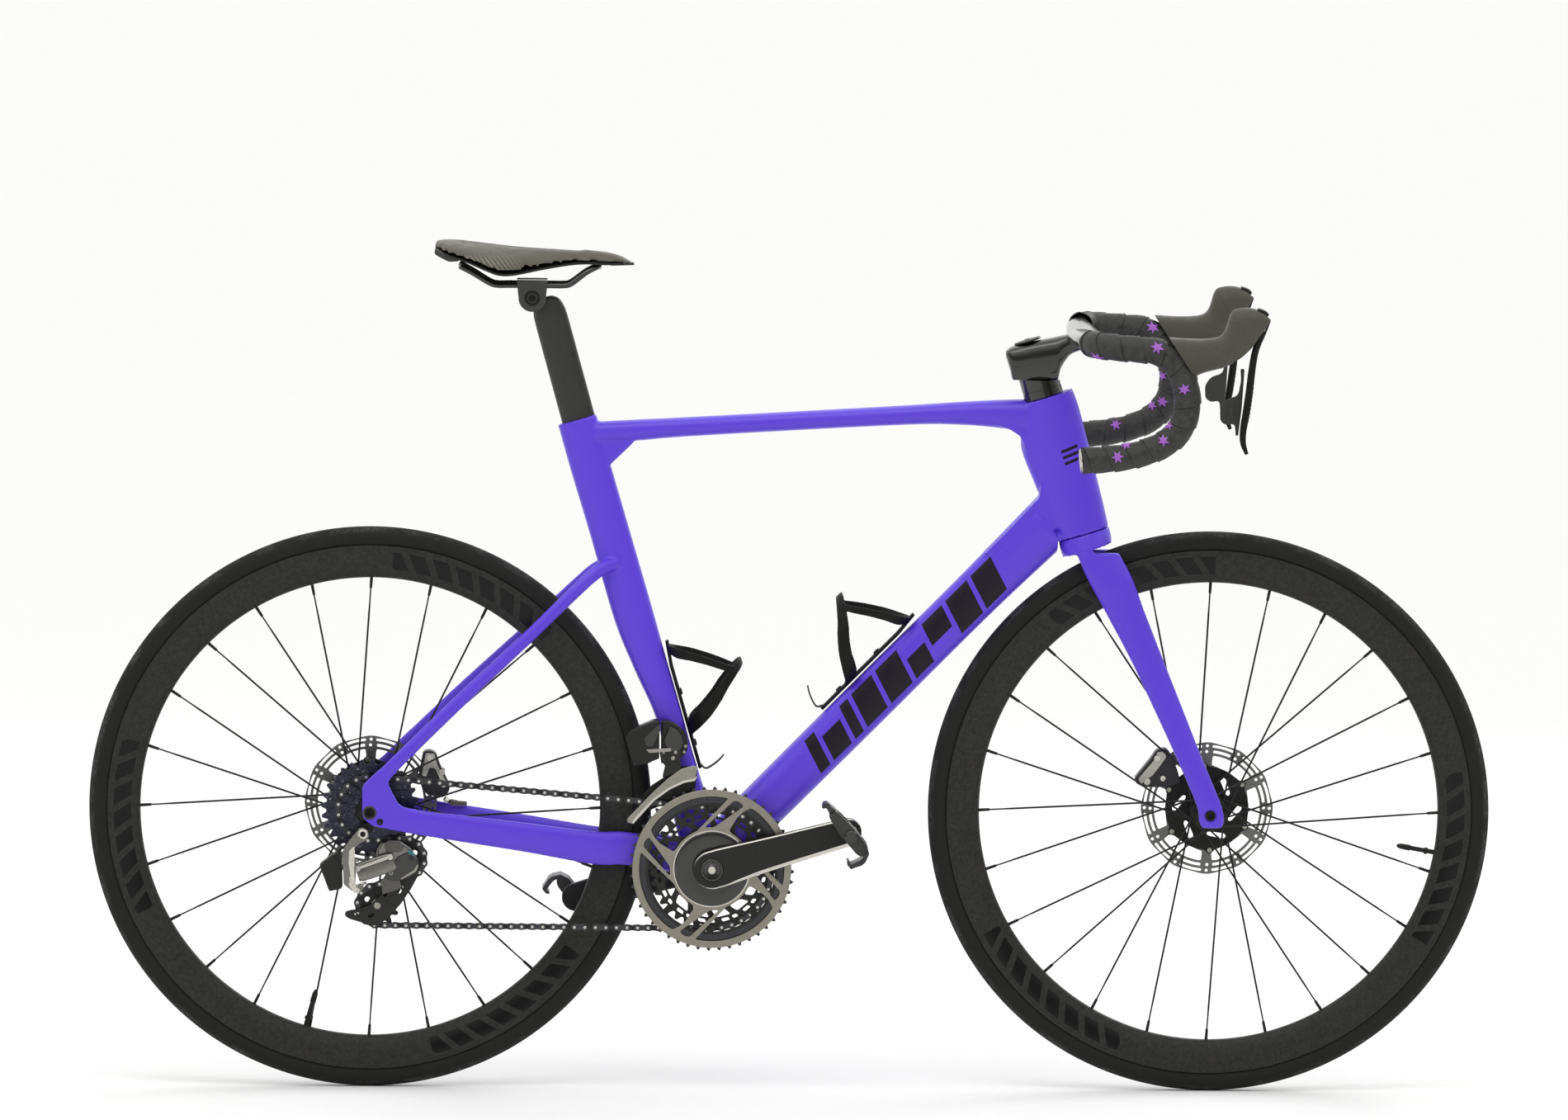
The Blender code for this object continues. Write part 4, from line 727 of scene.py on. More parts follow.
def build_tape(side, word):
    track = Track(bar_line(side, TAPE_START, 260))
    sides = 40
    rings = []
    turns = int(track.length / WRAP) + 2
    shares = (0.0, 0.04, 0.12, 0.25, 0.4, 0.55, 0.7, 0.82, 0.92, 0.985)
    for n in range(-1, turns):
        for share in shares:
            rows = []
            for i in range(sides + 1):
                turn = TAU * i / sides
                s = (n + share + i / sides) * WRAP
                crease = 0.00018 * math.sin(s * 900 + 3 * turn) + 0.00016 * math.sin(s * 1700 - 5 * turn)
                lip = 0.0015 * share ** 0.8 if share > 0 else 0.0
                rows.append(track.point(s, -turn * side, TAPE_RADIUS + lip + crease))
            rings.append(rows)
    out = Shape()
    width = sides + 1
    points = [p for r in rings for p in r]
    faces = []
    for k in range(len(rings) - 1):
        for i in range(sides):
            a = k * width + i
            faces.append((a, a + 1, a + 1 + width, a + width))
    out.add(points, faces)
    thing = mesh_object(word + "_bar_wrap", out)
    work = bmesh.new()
    work.from_mesh(thing.data)
    bmesh.ops.remove_doubles(work, verts=work.verts, dist=0.00012)
    bmesh.ops.dissolve_degenerate(work, dist=0.00005, edges=work.edges)
    bmesh.ops.holes_fill(work, edges=work.edges, sides=0)
    bmesh.ops.recalc_face_normals(work, faces=work.faces)
    work.to_mesh(thing.data)
    work.free()
    piece(word + "_bar_wrap", thing, TAPE.material, "cockpit", word + "_bar_tape", angle=50)
    stars = Shape()
    outer = ((0.4295, 0.9152), (0.4633, 0.8656), (0.4390, 0.8252), (0.3835, 0.7819), (0.3934, 0.8000),
             (0.4381, 0.8020), (0.3642, 0.9022))
    inner = ((0.4412, 0.9101), (0.4506, 0.8524), (0.4538, 0.8220), (0.4345, 0.8240), (0.3983, 0.7934))
    for spots, facing in ((outer, side), (inner, -side)):
        for x, z in spots:
            s, turn = track.locate(x, z, facing)
            stars.join(star_print(track, s, turn))
    piece(word + "_bar_stars", stars, STAR.material, "cockpit", angle=60)
    end = track.path[-1]
    back = headings(track.path)[-1]
    cap = turned([(0.0, -0.006), (0.0108, -0.006), (0.0150, 0.0002), (0.0152, 0.0016), (0.0138, 0.0030),
                  (0.0090, 0.0038), (0.0, 0.0040)], end, 48, back)
    piece(word + "_bar_plug", weld(mesh_object("plug", cap)), SILVER.material, "cockpit")


def weld(thing, dist=0.00002):
    work = bmesh.new()
    work.from_mesh(thing.data)
    bmesh.ops.remove_doubles(work, verts=work.verts, dist=dist)
    bmesh.ops.dissolve_degenerate(work, dist=dist, edges=work.edges)
    bmesh.ops.recalc_face_normals(work, faces=work.faces)
    work.to_mesh(thing.data)
    work.free()
    return thing


def star_print(track, s, turn):
    """A small six-point star that follows the tape's curve."""
    rows = []
    for scale, lift in ((1.0, 0.0002), (1.0, 0.0017), (0.55, 0.0018), (0.12, 0.0018)):
        row = []
        for i in range(24):
            angle = TAU * i / 24
            reach = {0: 0.0078, 1: 0.0046, 2: 0.0034, 3: 0.0046}[i % 4] * scale
            u, v = reach * math.cos(angle), reach * math.sin(angle)
            row.append(track.point(s + u, turn + v / TAPE_RADIUS, TAPE_RADIUS + lift))
        rows.append(row)
    return loft(rows)


def build_cockpit():
    half = bar_line(1)
    path = [Vector((p.x, -p.y, p.z)) for p in reversed(half[1:])] + half
    rings = []
    for p, (a, b) in zip(path, carried(path)):
        flat = max(0.0, 1 - abs(p.y) / 0.168) ** 0.5
        rings.append(ring(p, a, b, 0.0113 - 0.0025 * flat, 0.0113 + 0.0115 * flat, 24))
    skin = loft(rings)
    stem = curve_through(((0.2565, 0.8880, 0.8950, 0.0130), (0.2610, 0.8730, 0.8985, 0.0190),
                          (0.2675, 0.8560, 0.9012, 0.0214), (0.2900, 0.8560, 0.9070, 0.0216),
                          (0.3120, 0.8570, 0.9112, 0.0215), (0.3195, 0.8605, 0.9128, 0.0208),
                          (0.3230, 0.8740, 0.9136, 0.0200), (0.3330, 0.8895, 0.9158, 0.0210),
                          (0.3440, 0.8953, 0.9187, 0.0290), (0.3560, 0.8998, 0.9207, 0.0420)), 64)
    skin.join(loft([ring(Vector((x, 0, (low + high) / 2)), Z, Y, (high - low) / 2, w, 40, 3.4)
                    for x, low, high, w in stem]))
    bar = remesh(mesh_object("bar_and_stem", skin), 0.0017, 8)
    piece("bar_and_stem", bar, GLOSS_BLACK.material, "cockpit", "handlebar",
          cuts=(prism([(0.20, 0.80), (0.40, 0.80), (0.40, STEM_FLOOR), (0.20, STEM_FLOOR)], -0.06, 0.06),
                disc(0.0146, 0.15, 0.2370, STEER_BASE, 32, STEER_UP)))
    bottom, top = HEAD_LENGTH + 0.0006, 0.2120
    spacer = turned([(0.0147, bottom), (0.0236, bottom), (0.0242, bottom + 0.0008), (0.0240, bottom + 0.0098),
                     (0.0233, bottom + 0.0101), (0.0233, bottom + 0.0109), (0.0240, bottom + 0.0112),
                     (0.0236, top), (0.0147, top)], STEER_BASE, 96, STEER_UP)
    piece("stem_spacer", spacer, GLOSS_BLACK.material, "cockpit", "headset_spacer",
          cuts=(prism([(0.20, STEM_FLOOR - 0.0003), (0.40, STEM_FLOOR - 0.0003), (0.40, 0.95), (0.20, 0.95)],
                      -0.06, 0.06),))
    piece("stem_top_cap", weld(mesh_object("cap", turned([(0.0, 0.2405), (0.0160, 0.2405), (0.0168, 0.2412),
                                                          (0.0160, 0.2428), (0.0060, 0.2434), (0.0, 0.2434)],
                                                         STEER_BASE, 48, STEER_UP))), SATIN_BLACK.material,
                                                         "cockpit")
    piece("stem_cap_bolt", screw(STEER_BASE, 0.0042, 0.2430, 0.2446, STEER_UP), STEEL.material, "cockpit")
    for side, word in ((-1, "right"), (1, "left")):
        build_tape(side, word)
        build_control(side, word)


def build_control(side, word):
    sections = ((0.4440, 0.9258, 0.4745, 0.8785, 0.0172), (0.4766, 0.9243, 0.4870, 0.8840, 0.0172),
                (0.5000, 0.9262, 0.5120, 0.8905, 0.0168), (0.5100, 0.9340, 0.5290, 0.8960, 0.0165),
                (0.5175, 0.9555, 0.5420, 0.9040, 0.0160), (0.5270, 0.9608, 0.5475, 0.9110, 0.0158),
                (0.5417, 0.9614, 0.5530, 0.9220, 0.0155), (0.5540, 0.9575, 0.5600, 0.9350, 0.0150),
                (0.5640, 0.9500, 0.5650, 0.9460, 0.0120))
    lever_slot = [(0.5090, 0.8905), (0.5200, 0.8955), (0.5330, 0.9170), (0.5430, 0.9290), (0.5510, 0.9440),
                  (0.5585, 0.9525), (0.5750, 0.9525), (0.5750, 0.8700), (0.5090, 0.8700)]
    rings = []
    for tx, tz, bx, bz, half in curve_through(sections, 64):
        top, low = Vector((tx, side * HOOD_Y, tz)), Vector((bx, side * HOOD_Y, bz))
        up = top - low
        rings.append(ring((top + low) / 2, up.normalized(), Y, up.length / 2, half, 48, 2.3))
    hood = mesh_object(word + "_hood_rubber", loft(rings))
    carve(hood, tube(bar_line(side, 5, 120), 0.0163, 32),
          prism(lever_slot, side * HOOD_Y - 0.0118, side * HOOD_Y + 0.0118))
    for v in hood.data.vertices:
        seam = (v.co.x - 0.5335) * 0.84 + (v.co.z - 0.9300) * 0.54
        ridge = math.exp(-(seam / 0.0009) ** 2)
        v.co.y -= (v.co.y - side * HOOD_Y) * 0.05 * ridge
    piece(word + "_hood_rubber", hood, HOOD.material, "cockpit", word + "_hood", angle=45)
    nose = sweep([(0.5490, side * HOOD_Y, 0.9590, 0.0030, 0.0085),
                  (0.5570, side * HOOD_Y, 0.9558, 0.0034, 0.0090),
                  (0.5612, side * HOOD_Y, 0.9520, 0.0026, 0.0080)], 16, 20, 3.0)
    piece(word + "_hood_badge", nose, SATIN_BLACK.material, "cockpit")
    lever = [(0.5625, 0.9470, 0.0028, 0.0100), (0.5560, 0.9330, 0.0040, 0.0105),
             (0.5480, 0.9130, 0.0040, 0.0095),
             (0.5440, 0.8930, 0.0042, 0.0080), (0.5405, 0.8620, 0.0045, 0.0075),
             (0.5370, 0.8360, 0.0045, 0.0075),
             (0.5335, 0.8150, 0.0040, 0.0075), (0.5335, 0.8000, 0.0035, 0.0075),
             (0.5378, 0.7870, 0.0022, 0.0065)]
    body = word + "_brake_lever"
    shape = sweep([(x, side * HOOD_Y, z, a, b) for x, z, a, b in lever], 90, 28, 3.2)
    blade = mesh_object(word + "_lever_blade", shape)
    for v in blade.data.vertices:
        grip = math.sin(v.co.z * 1250) if 0.80 < v.co.z < 0.875 and v.co.x > 0.538 else 0.0
        v.co.x += 0.0002 * grip
    piece(word + "_lever_blade", blade, MATTE_CARBON.material, body, body, angle=50)
    pivot = Vector((0.5560, side * HOOD_Y, 0.9360))
    piece(word + "_lever_pin", disc(0.0021, -0.0114, 0.0114, pivot, 24), STEEL.material, body, bevel=0.0002)
    paddle = [(0.5300, 0.8880), (0.5310, 0.8740), (0.5275, 0.8560), (0.5130, 0.8510), (0.5060, 0.8410),
              (0.5065, 0.8255), (0.5130, 0.8205), (0.5240, 0.8225), (0.5250, 0.8080), (0.5280, 0.8080),
              (0.5320, 0.8400), (0.5350, 0.8880)]
    inner, outer = sorted((side * (HOOD_Y - 0.0135), side * (HOOD_Y - 0.0100)))
    body = word + "_shift_paddle"
    piece(word + "_paddle_blade", prism(rounded(paddle, 0.005), inner, outer), PADDLE.material, body, body,
          bevel=0.0006)
    face = side * (HOOD_Y - 0.0100)
    rib = prism(rounded([(0.5125, 0.8270), (0.5235, 0.8290), (0.5245, 0.8450), (0.5140, 0.8430)], 0.003),
                *sorted((face - side * 0.0004, face + side * 0.0007)))
    piece(word + "_paddle_pad", rib, TAPE.material, body, bevel=0.0003)


def tape_material():
    m = Nodes("crinkled_tape", (0.030, 0.030, 0.027), 0.55, specular=0.4)
    folds = m.noise(140, 5, (1, 1, 1), 0.55)
    crack = m.cells(230, "DISTANCE_TO_EDGE", (1, 1.3, 0.8))
    m.tint(folds, 0.35, 0.65, 0.45)
    m.gloss(folds, 0.35, 0.65, 0.18)
    m.bump(folds, 0.0012, 0.7)
    m.bump(m.remap(crack, 0.0, 0.12, 0, 1), 0.0003, 0.6)
    return m


def hood_material():
    m = Nodes("ribbed_hood", (0.060, 0.057, 0.043), 0.52, specular=0.35, sheen=0.15)
    ribs = m.wave(0.1 * math.pi / 0.0013, (0, math.radians(58), 0))
    spot = m.node("SeparateXYZ", {0: m.place}).outputs
    rear = m.remap(spot[0], 0.498, 0.520, 1.0, 0.0)
    m.tint(m.noise(600, 4), 0.3, 0.7, 0.16)
    m.gloss(m.noise(120, 3), 0.3, 0.7, 0.10)
    m.bump(m.math("MULTIPLY", ribs, rear), 0.00035, 0.9)
    m.bump(m.noise(2500, 3), 0.00004)
    return m


TAPE = tape_material()
HOOD = hood_material()
STAR = plain("violet_star_ink", (0.32, 0.10, 0.50), 0.45, grain=1800, spread=0.25, relief=0.00004)
PADDLE = plain("paddle_plastic", (0.022, 0.022, 0.019), 0.45, grain=1500, spread=0.3, relief=0.00012)


# ------------------------------------------------------------ seat post and saddle
SADDLE_CLAMP = Vector((-0.3145, 0, 0.9560))
SADDLE = ((-0.4310, 0.0300, 1.0265, 1.0160), (-0.4180, 0.0580, 1.0255, 1.0095),
          (-0.3950, 0.0690, 1.0225, 1.0030),
          (-0.3700, 0.0700, 1.0198, 0.9925), (-0.3540, 0.0640, 1.0182, 0.9868),
          (-0.3350, 0.0540, 1.0165, 0.9868),
          (-0.3000, 0.0370, 1.0147, 0.9930), (-0.2600, 0.0250, 1.0133, 0.9985),
          (-0.2250, 0.0205, 1.0118, 0.9978),
          (-0.2050, 0.0165, 1.0075, 0.9975), (-0.1930, 0.0085, 1.0018, 0.9978))


def saddle_ring(x, half, top, low, swell=0.0, depth=0.0085):
    """An arched cross-section: the padded top with its skirts, and the underside that follows it."""
    points = []
    outer, inner = 30, 20
    for i in range(outer):
        t = -1 + 2 * i / (outer - 1)
        y = math.sin(t * math.pi / 2)
        arch = (1 - abs(y) ** 2.7) ** (1 / 1.9) if abs(y) < 1 else 0.0
        dip = 0.0035 * math.exp(-(y * half / 0.009) ** 2) if -0.405 < x < -0.255 else 0.0
        points.append(Vector((x, y * (half - swell), low + (top - swell - low) * arch - dip)))
    thick = min(depth, (top - low) * 0.6)
    for i in range(inner):
        t = 1 - 2 * (i + 0.5) / inner
        y = math.sin(t * math.pi / 2) * 0.93
        arch = (1 - abs(y / 0.95) ** 2.7) ** (1 / 1.9) if abs(y) < 0.95 else 0.0
        points.append(Vector((x, y * (half - swell), low + 0.0004 + max(0.0,
            top - thick - low) * arch * 0.92)))
    return points


def inflate(thing, cap):
    """Blow a closed skin up a little with cloth, and hold every point within a cap of where it started."""
    before = [v.co.copy() for v in thing.data.vertices]
    step = thing.modifiers.new("cloth", "CLOTH")
    cloth = step.settings
    cloth.quality = 4
    cloth.mass = 0.3
    cloth.use_pressure = True
    cloth.uniform_pressure_force = 4.0
    cloth.effector_weights.gravity = 0.0
    cloth.tension_stiffness = cloth.compression_stiffness = 30.0
    cloth.bending_stiffness = 6.0
    step.point_cache.frame_start = 1
    step.point_cache.frame_end = 20
    for now in range(1, 21):
        STUDIO.frame_set(now)
    bake_modifiers(thing)
    STUDIO.frame_set(1)
    for v, start in zip(thing.data.vertices, before):
        move = v.co - start
        if move.length > cap:
            v.co = start + move.normalized() * cap
    return thing


def build_seat():
    fore = POST_UP.cross(Y)
    rows = curve_through(((-0.080, 0.0203, 0.0115), (0.020, 0.0203, 0.0115), (0.100, 0.0203, 0.0115),
                          (0.125, 0.0202, 0.0115), (0.138, 0.0192, 0.0114), (0.148, 0.0155, 0.0110),
                          (0.1535, 0.0080, 0.0102)), 70)
    skin = loft([ring(POST_BASE + POST_UP * s, fore, Y, a, b, 48, 2.5) for s, a, b in rows])
    skin.join(disc(0.0130, -0.0110, 0.0110, SADDLE_CLAMP, 48))
    post = remesh(mesh_object("post_skin", skin), 0.0015, 8)
    piece("post_skin", post, POST.material, "seatpost", "seatpost",
          cuts=(disc(0.0037, -0.03, 0.03, SADDLE_CLAMP, 24),))
    top = []
    for x, half, high, low in curve_through(SADDLE, 72):
        top.append(saddle_ring(x, half, high, low, 0.0012))
    pad = mesh_object("saddle_cover", loft(top))
    remesh(pad, 0.0035, 4)
    inflate(pad, 0.0016)
    relax(pad.data, 3)
    piece("saddle_cover", pad, COVER.material, "saddle", "saddle_padding",
                    angle=60, subdivide=1)
    rings = []
    for x, half, high, low in curve_through(SADDLE[:-1], 60):
        edge = low + 0.0003
        ring_points = []
        for i in range(24):
            y = -1 + 2 * i / 23
            ring_points.append(Vector((x, y * (half - 0.0015),
                                       edge + max(0.0, (high - low) * 0.30) * (1 - y * y))))
        for i in range(24):
            y = 1 - 2 * i / 23
            ring_points.append(Vector((x, y * (half - 0.0018),
                                       edge - 0.0024 + max(0.0, (high - low) * 0.28) * (1 - y * y))))
        rings.append(ring_points)
    piece("saddle_base", loft(rings), PLASTIC.material, "saddle", "saddle_shell")
    tail = prism(rounded([(-0.4325, 1.0090), (-0.4305, 1.0195), (-0.4150, 1.0120), (-0.3990, 1.0035),
                          (-0.4040, 0.9995), (-0.4150, 0.9990), (-0.4290, 1.0060)], 0.002), -0.026, 0.026)
    piece("saddle_tail", tail, GLOSS_BLACK.material, "saddle", bevel=0.0012)
    nose = prism(rounded([(-0.2235, 0.9985), (-0.1925, 0.9990), (-0.1915, 0.9955), (-0.2205, 0.9945)],
                         0.0015),
                 -0.008, 0.008)
    piece("saddle_nose", nose, GLOSS_BLACK.material, "saddle", bevel=0.0008)
    half_rail = [(-0.4020, 0.031, 0.9945), (-0.3860, 0.0275, 0.9860), (-0.3660, 0.0232, 0.9740),
                 (-0.3560, 0.0220, 0.9712), (-0.3400, 0.0220, 0.9712), (-0.2900, 0.0220, 0.9712),
                 (-0.2780, 0.0220, 0.9712), (-0.2680, 0.0215, 0.9732), (-0.2500, 0.0180, 0.9865),
                 (-0.2380, 0.0125, 0.9925), (-0.2340, 0.0, 0.9930)]
    line = half_rail + [(x, -y, z) for x, y, z in reversed(half_rail[:-1])]
    piece("rail_pair", tube(curve_through(line, 170), 0.0035, 16), GLOSS_BLACK.material, "saddle",
          "saddle_rails")
    c = SADDLE_CLAMP
    outline = [(c.x + 0.0165 * math.cos(a), c.z + 0.0165 * math.sin(a)) for a in np.linspace(-math.pi, 0, 25)]
    outline += [(c.x + 0.0180, 0.9700), (c.x + 0.0185, 0.9778), (c.x - 0.0185, 0.9778),
                (c.x - 0.0180, 0.9700)]
    jaws = Shape()
    holes = []
    for side in (-1, 1):
        jaws.join(prism(outline, *sorted((side * 0.0128, side * 0.0275))))
        holes.append(disc(0.0039, 0.0, 0.08, Vector((-0.35, side * 0.022, 0.9712)), 24, X))
    piece("clamp_jaws", jaws, GLOSS_BLACK.material, "saddle", "saddle_clamp",
          bevel=0.0009,
          cuts=holes)
    bolts = Shape()
    for side in (-1, 1):
        face = c + Y * side * 0.0275
        bolts.join(turned([(0.0060, 0.0), (0.0095, 0.0), (0.0092, 0.0012), (0.0066, 0.0012)], face, 48,
                          Y * side))
        bolts.join(screw(face, 0.0048, -0.001, 0.0018, Y * side))
    piece("clamp_bolts", bolts, SATIN_BLACK.material, "saddle", bevel=0.0002)


def cover_material():
    m = Nodes("saddle_cover", (0.090, 0.083, 0.062), 0.42, specular=0.4)
    spot = m.node("SeparateXYZ", {0: m.place}).outputs
    fan = m.wave(0.1 * math.pi / 0.0042, (0, math.radians(38), 0), profile="SAW")
    line = m.remap(fan, 0.80, 0.84, 0.0, 1.0)
    rear = m.remap(spot[0], -0.392, -0.325, 1.0, 0.0)
    ahead = m.remap(spot[0], -0.420, -0.398, 0.0, 1.0)
    low = m.remap(spot[2], 1.011, 1.001, 0.0, 1.0)
    share = m.math("MULTIPLY", m.math("MULTIPLY", line, rear), m.math("MULTIPLY", low, ahead))
    grain = m.noise(1300, 4)
    base = m.mix(m.remap(grain, 0.3, 0.7, 0, 1), (0.072, 0.066, 0.050), (0.110, 0.101, 0.078))
    m.link(m.mix(share, base, (0.50, 0.47, 0.38)), "Base Color")
    m.gloss(m.noise(90, 3), 0.3, 0.7, 0.12)
    m.bump(grain, 0.00006)
    m.bump(m.cells(700), 0.00008, 0.6)
    return m


COVER = cover_material()
POST = woven("satin_post", (0.017, 0.017, 0.015), 0.42, relief=0.00003, spread=0.15)


# ------------------------------------------------------------ wheels
SPOKES = 12
SPOKE_LEAN = math.radians(60)
SPOKE_LAYER = 0.0022
FLANGES = {"front": (0.0250, -0.0360, 0.0215), "rear": (0.0340, -0.0150, 0.0225)}
ROTOR_Y = {"front": 0.0385, "rear": 0.0605}
AXLE = {"front": FRONT_AXLE, "rear": REAR_AXLE}
VALVE_TURN = {"front": math.radians(-280), "rear": math.radians(-16)}


def build_tyre(word, axle):
    profile = [(0.3300, 0.0092), (0.3195, 0.0078), (0.3165, 0.0079), (0.3152, 0.0086), (0.3152, 0.0098)]
    outer = []
    for i in range(-14, 15):
        turn = math.radians(9.1 * i)
        reach = 0.0142
        if 4 <= abs(i) <= 5 or 11 == abs(i):
            reach -= 0.00015
        outer.append((0.3248 + reach * math.cos(turn), reach * math.sin(turn)))
    half = [(r, y) for r, y in profile]
    section = outer[::-1] + [(r, -y) for r, y in reversed(half)] + half
    piece(word + "_tyre_skin", turned(section, axle, 240), TYRE[word].material, word + "_wheel",
          word + "_tyre",
          angle=50)


def build_rim(word, axle):
    flank = curve_through(((0.3168, 0.0139), (0.3110, 0.0142), (0.3030, 0.0138), (0.2930, 0.0122),
                           (0.2840, 0.0090), (0.2785, 0.0052), (0.2770, 0.0)), 22)
    flank = [(min(r, 0.3168), max(y, 0.0)) for r, y in flank]
    section = flank + [(r, -y) for r, y in reversed(flank[:-1])]
    section += [(0.3165, -0.0122), (0.3120, -0.0100), (0.3120, 0.0100), (0.3165, 0.0122)]
    rim = mesh_object(word + "_rim_shell", turned(section, axle, 240))
    hole = spin(axle, VALVE_TURN[word], 0.30)
    carve(rim, tube([hole, spin(axle, VALVE_TURN[word], 0.26)], 0.0034, 20, Y))
    piece(word + "_rim_shell", rim, RIM[word].material, word + "_wheel", word + "_rim",
          angle=40)


def spoke_line(axle, side, index, flange_y, flange_radius):
    """A spoke's hub end and its end at the rim."""
    shift = 0.5 if side > 0 else 0.0
    lean = SPOKE_LEAN if index % 2 else -SPOKE_LEAN
    root = TAU * (index + shift) / SPOKES
    y = flange_y + (SPOKE_LAYER if index % 2 else -SPOKE_LAYER)
    start = spin(axle, root, flange_radius + 0.0010, y)
    stop = spin(axle, root + lean, 0.2765, side * 0.0018)
    return start, stop


def build_spoke_set(word, axle, side):
    flange_y = FLANGES[word][0 if side > 0 else 1]
    radius = FLANGES[word][2]
    blades, nipples = Shape(), Shape()
    for i in range(SPOKES):
        start, stop = spoke_line(axle, side, i, flange_y, radius - 0.0035)
        heading = (stop - start).normalized()
        wide = (heading - Y * heading.dot(Y)).normalized().cross(Y)
        thick = heading.cross(wide).normalized()
        rings = []
        span = (stop - start).length
        for s, a, b in ((0.0, 0.0010, 0.0010), (0.012, 0.0010, 0.0010), (0.022, 0.00125, 0.0006),
                        (span - 0.040, 0.00125, 0.0006), (span - 0.028, 0.0010, 0.0010),
                        (span - 0.008, 0.0010, 0.0010)):
            rings.append(ring(start + heading * s, wide, thick, a, b, 8))
        blades.join(loft(rings))
        head = Vector((start.x, flange_y, start.z))
        out = 1 if start.y > flange_y else -1
        blades.join(tube([start, head + Y * (-out) * 0.0016], 0.0010, 8, X))
        blades.join(disc(0.0021, 0.0, 0.0009, head - Y * out * 0.0016, 12, Y * -out))
        low, high = stop - heading * 0.0125, stop + heading * 0.0012
        nipples.join(loft([ring(low.lerp(high, t), wide, thick, r, r, 8)
                           for t, r in ((0.0, 0.0014), (0.08, 0.0018), (1.0, 0.0020))]))
    label = word + ("_left" if side > 0 else "_right")
    piece(label + "_spokes", blades, SPOKE_BLACK.material, word + "_wheel",
          word + "_spokes_" + ("left" if side > 0 else "right"), angle=40)
    piece(label + "_nipples", nipples, SATIN_BLACK.material, word + "_wheel", angle=40)


def build_hub(word, axle):
    left, right, radius = FLANGES[word]
    bore = 0.0063
    rotor = ROTOR_Y[word]
    if word == "front":
        key = [(bore, -0.0496), (0.0095, -0.0496), (0.0098, -0.0440), (0.0132, -0.0425), (0.0135, -0.0395)]
        core = [(0.0128, -0.0310), (0.0118, -0.0240), (0.0114, -0.0050), (0.0118, 0.0130), (0.0128, 0.0200)]
        end = [(0.0172, 0.0290), (0.0172, rotor + 0.0025), (0.0110, 0.0430), (0.0095, 0.0440),
               (0.0095, 0.0496),
               (bore, 0.0496)]
    else:
        key = [(bore, -0.0706), (0.0095, -0.0706), (0.0098, -0.0660), (0.0160, -0.0640), (0.0165, -0.0620),
               (0.0165, -0.0180)]
        core = [(0.0160, -0.0110), (0.0138, -0.0060), (0.0128, 0.0050), (0.0124, 0.0200), (0.0132, 0.0280)]
        end = [(0.0172, 0.0380), (0.0172, rotor + 0.0025), (0.0110, 0.0640), (0.0095, 0.0650),
               (0.0095, 0.0706),
               (bore, 0.0706)]
    rims = []
    for y in (right, left):
        rims.append([(radius - 0.0055, y - 0.0026), (radius - 0.0008, y - 0.0016), (radius, y - 0.0009),
                     (radius, y + 0.0009), (radius - 0.0008, y + 0.0016), (radius - 0.0055, y + 0.0026)])
    piece(word + "_hub_shell", turned(key + rims[0] + core + rims[1] + end, axle, 72), SATIN_BLACK.material,
          word + "_wheel", word + "_hub", angle=30)
    ring_y = rotor + 0.0026
    nut = toothed(24, 0.0150, 0.0165, 0.0100, ring_y, ring_y + 0.0022, axle)
    piece(word + "_lock_ring", nut, SATIN_BLACK.material, word + "_wheel", bevel=0.0002)


TRACK_RADII = (0.0500, 0.0560, 0.0610, 0.0660, 0.0710, 0.0760, 0.0792)
CARRIER_RADII = (0.0173, 0.0260, 0.0345, 0.0430, 0.0505)


def annulus(radii, low, high, centre):
    """A flat ring whose two faces are split into strips at the given radii."""
    profile = [(r, low) for r in radii] + [(r, high) for r in reversed(radii)]
    return turned(profile, centre, 240)


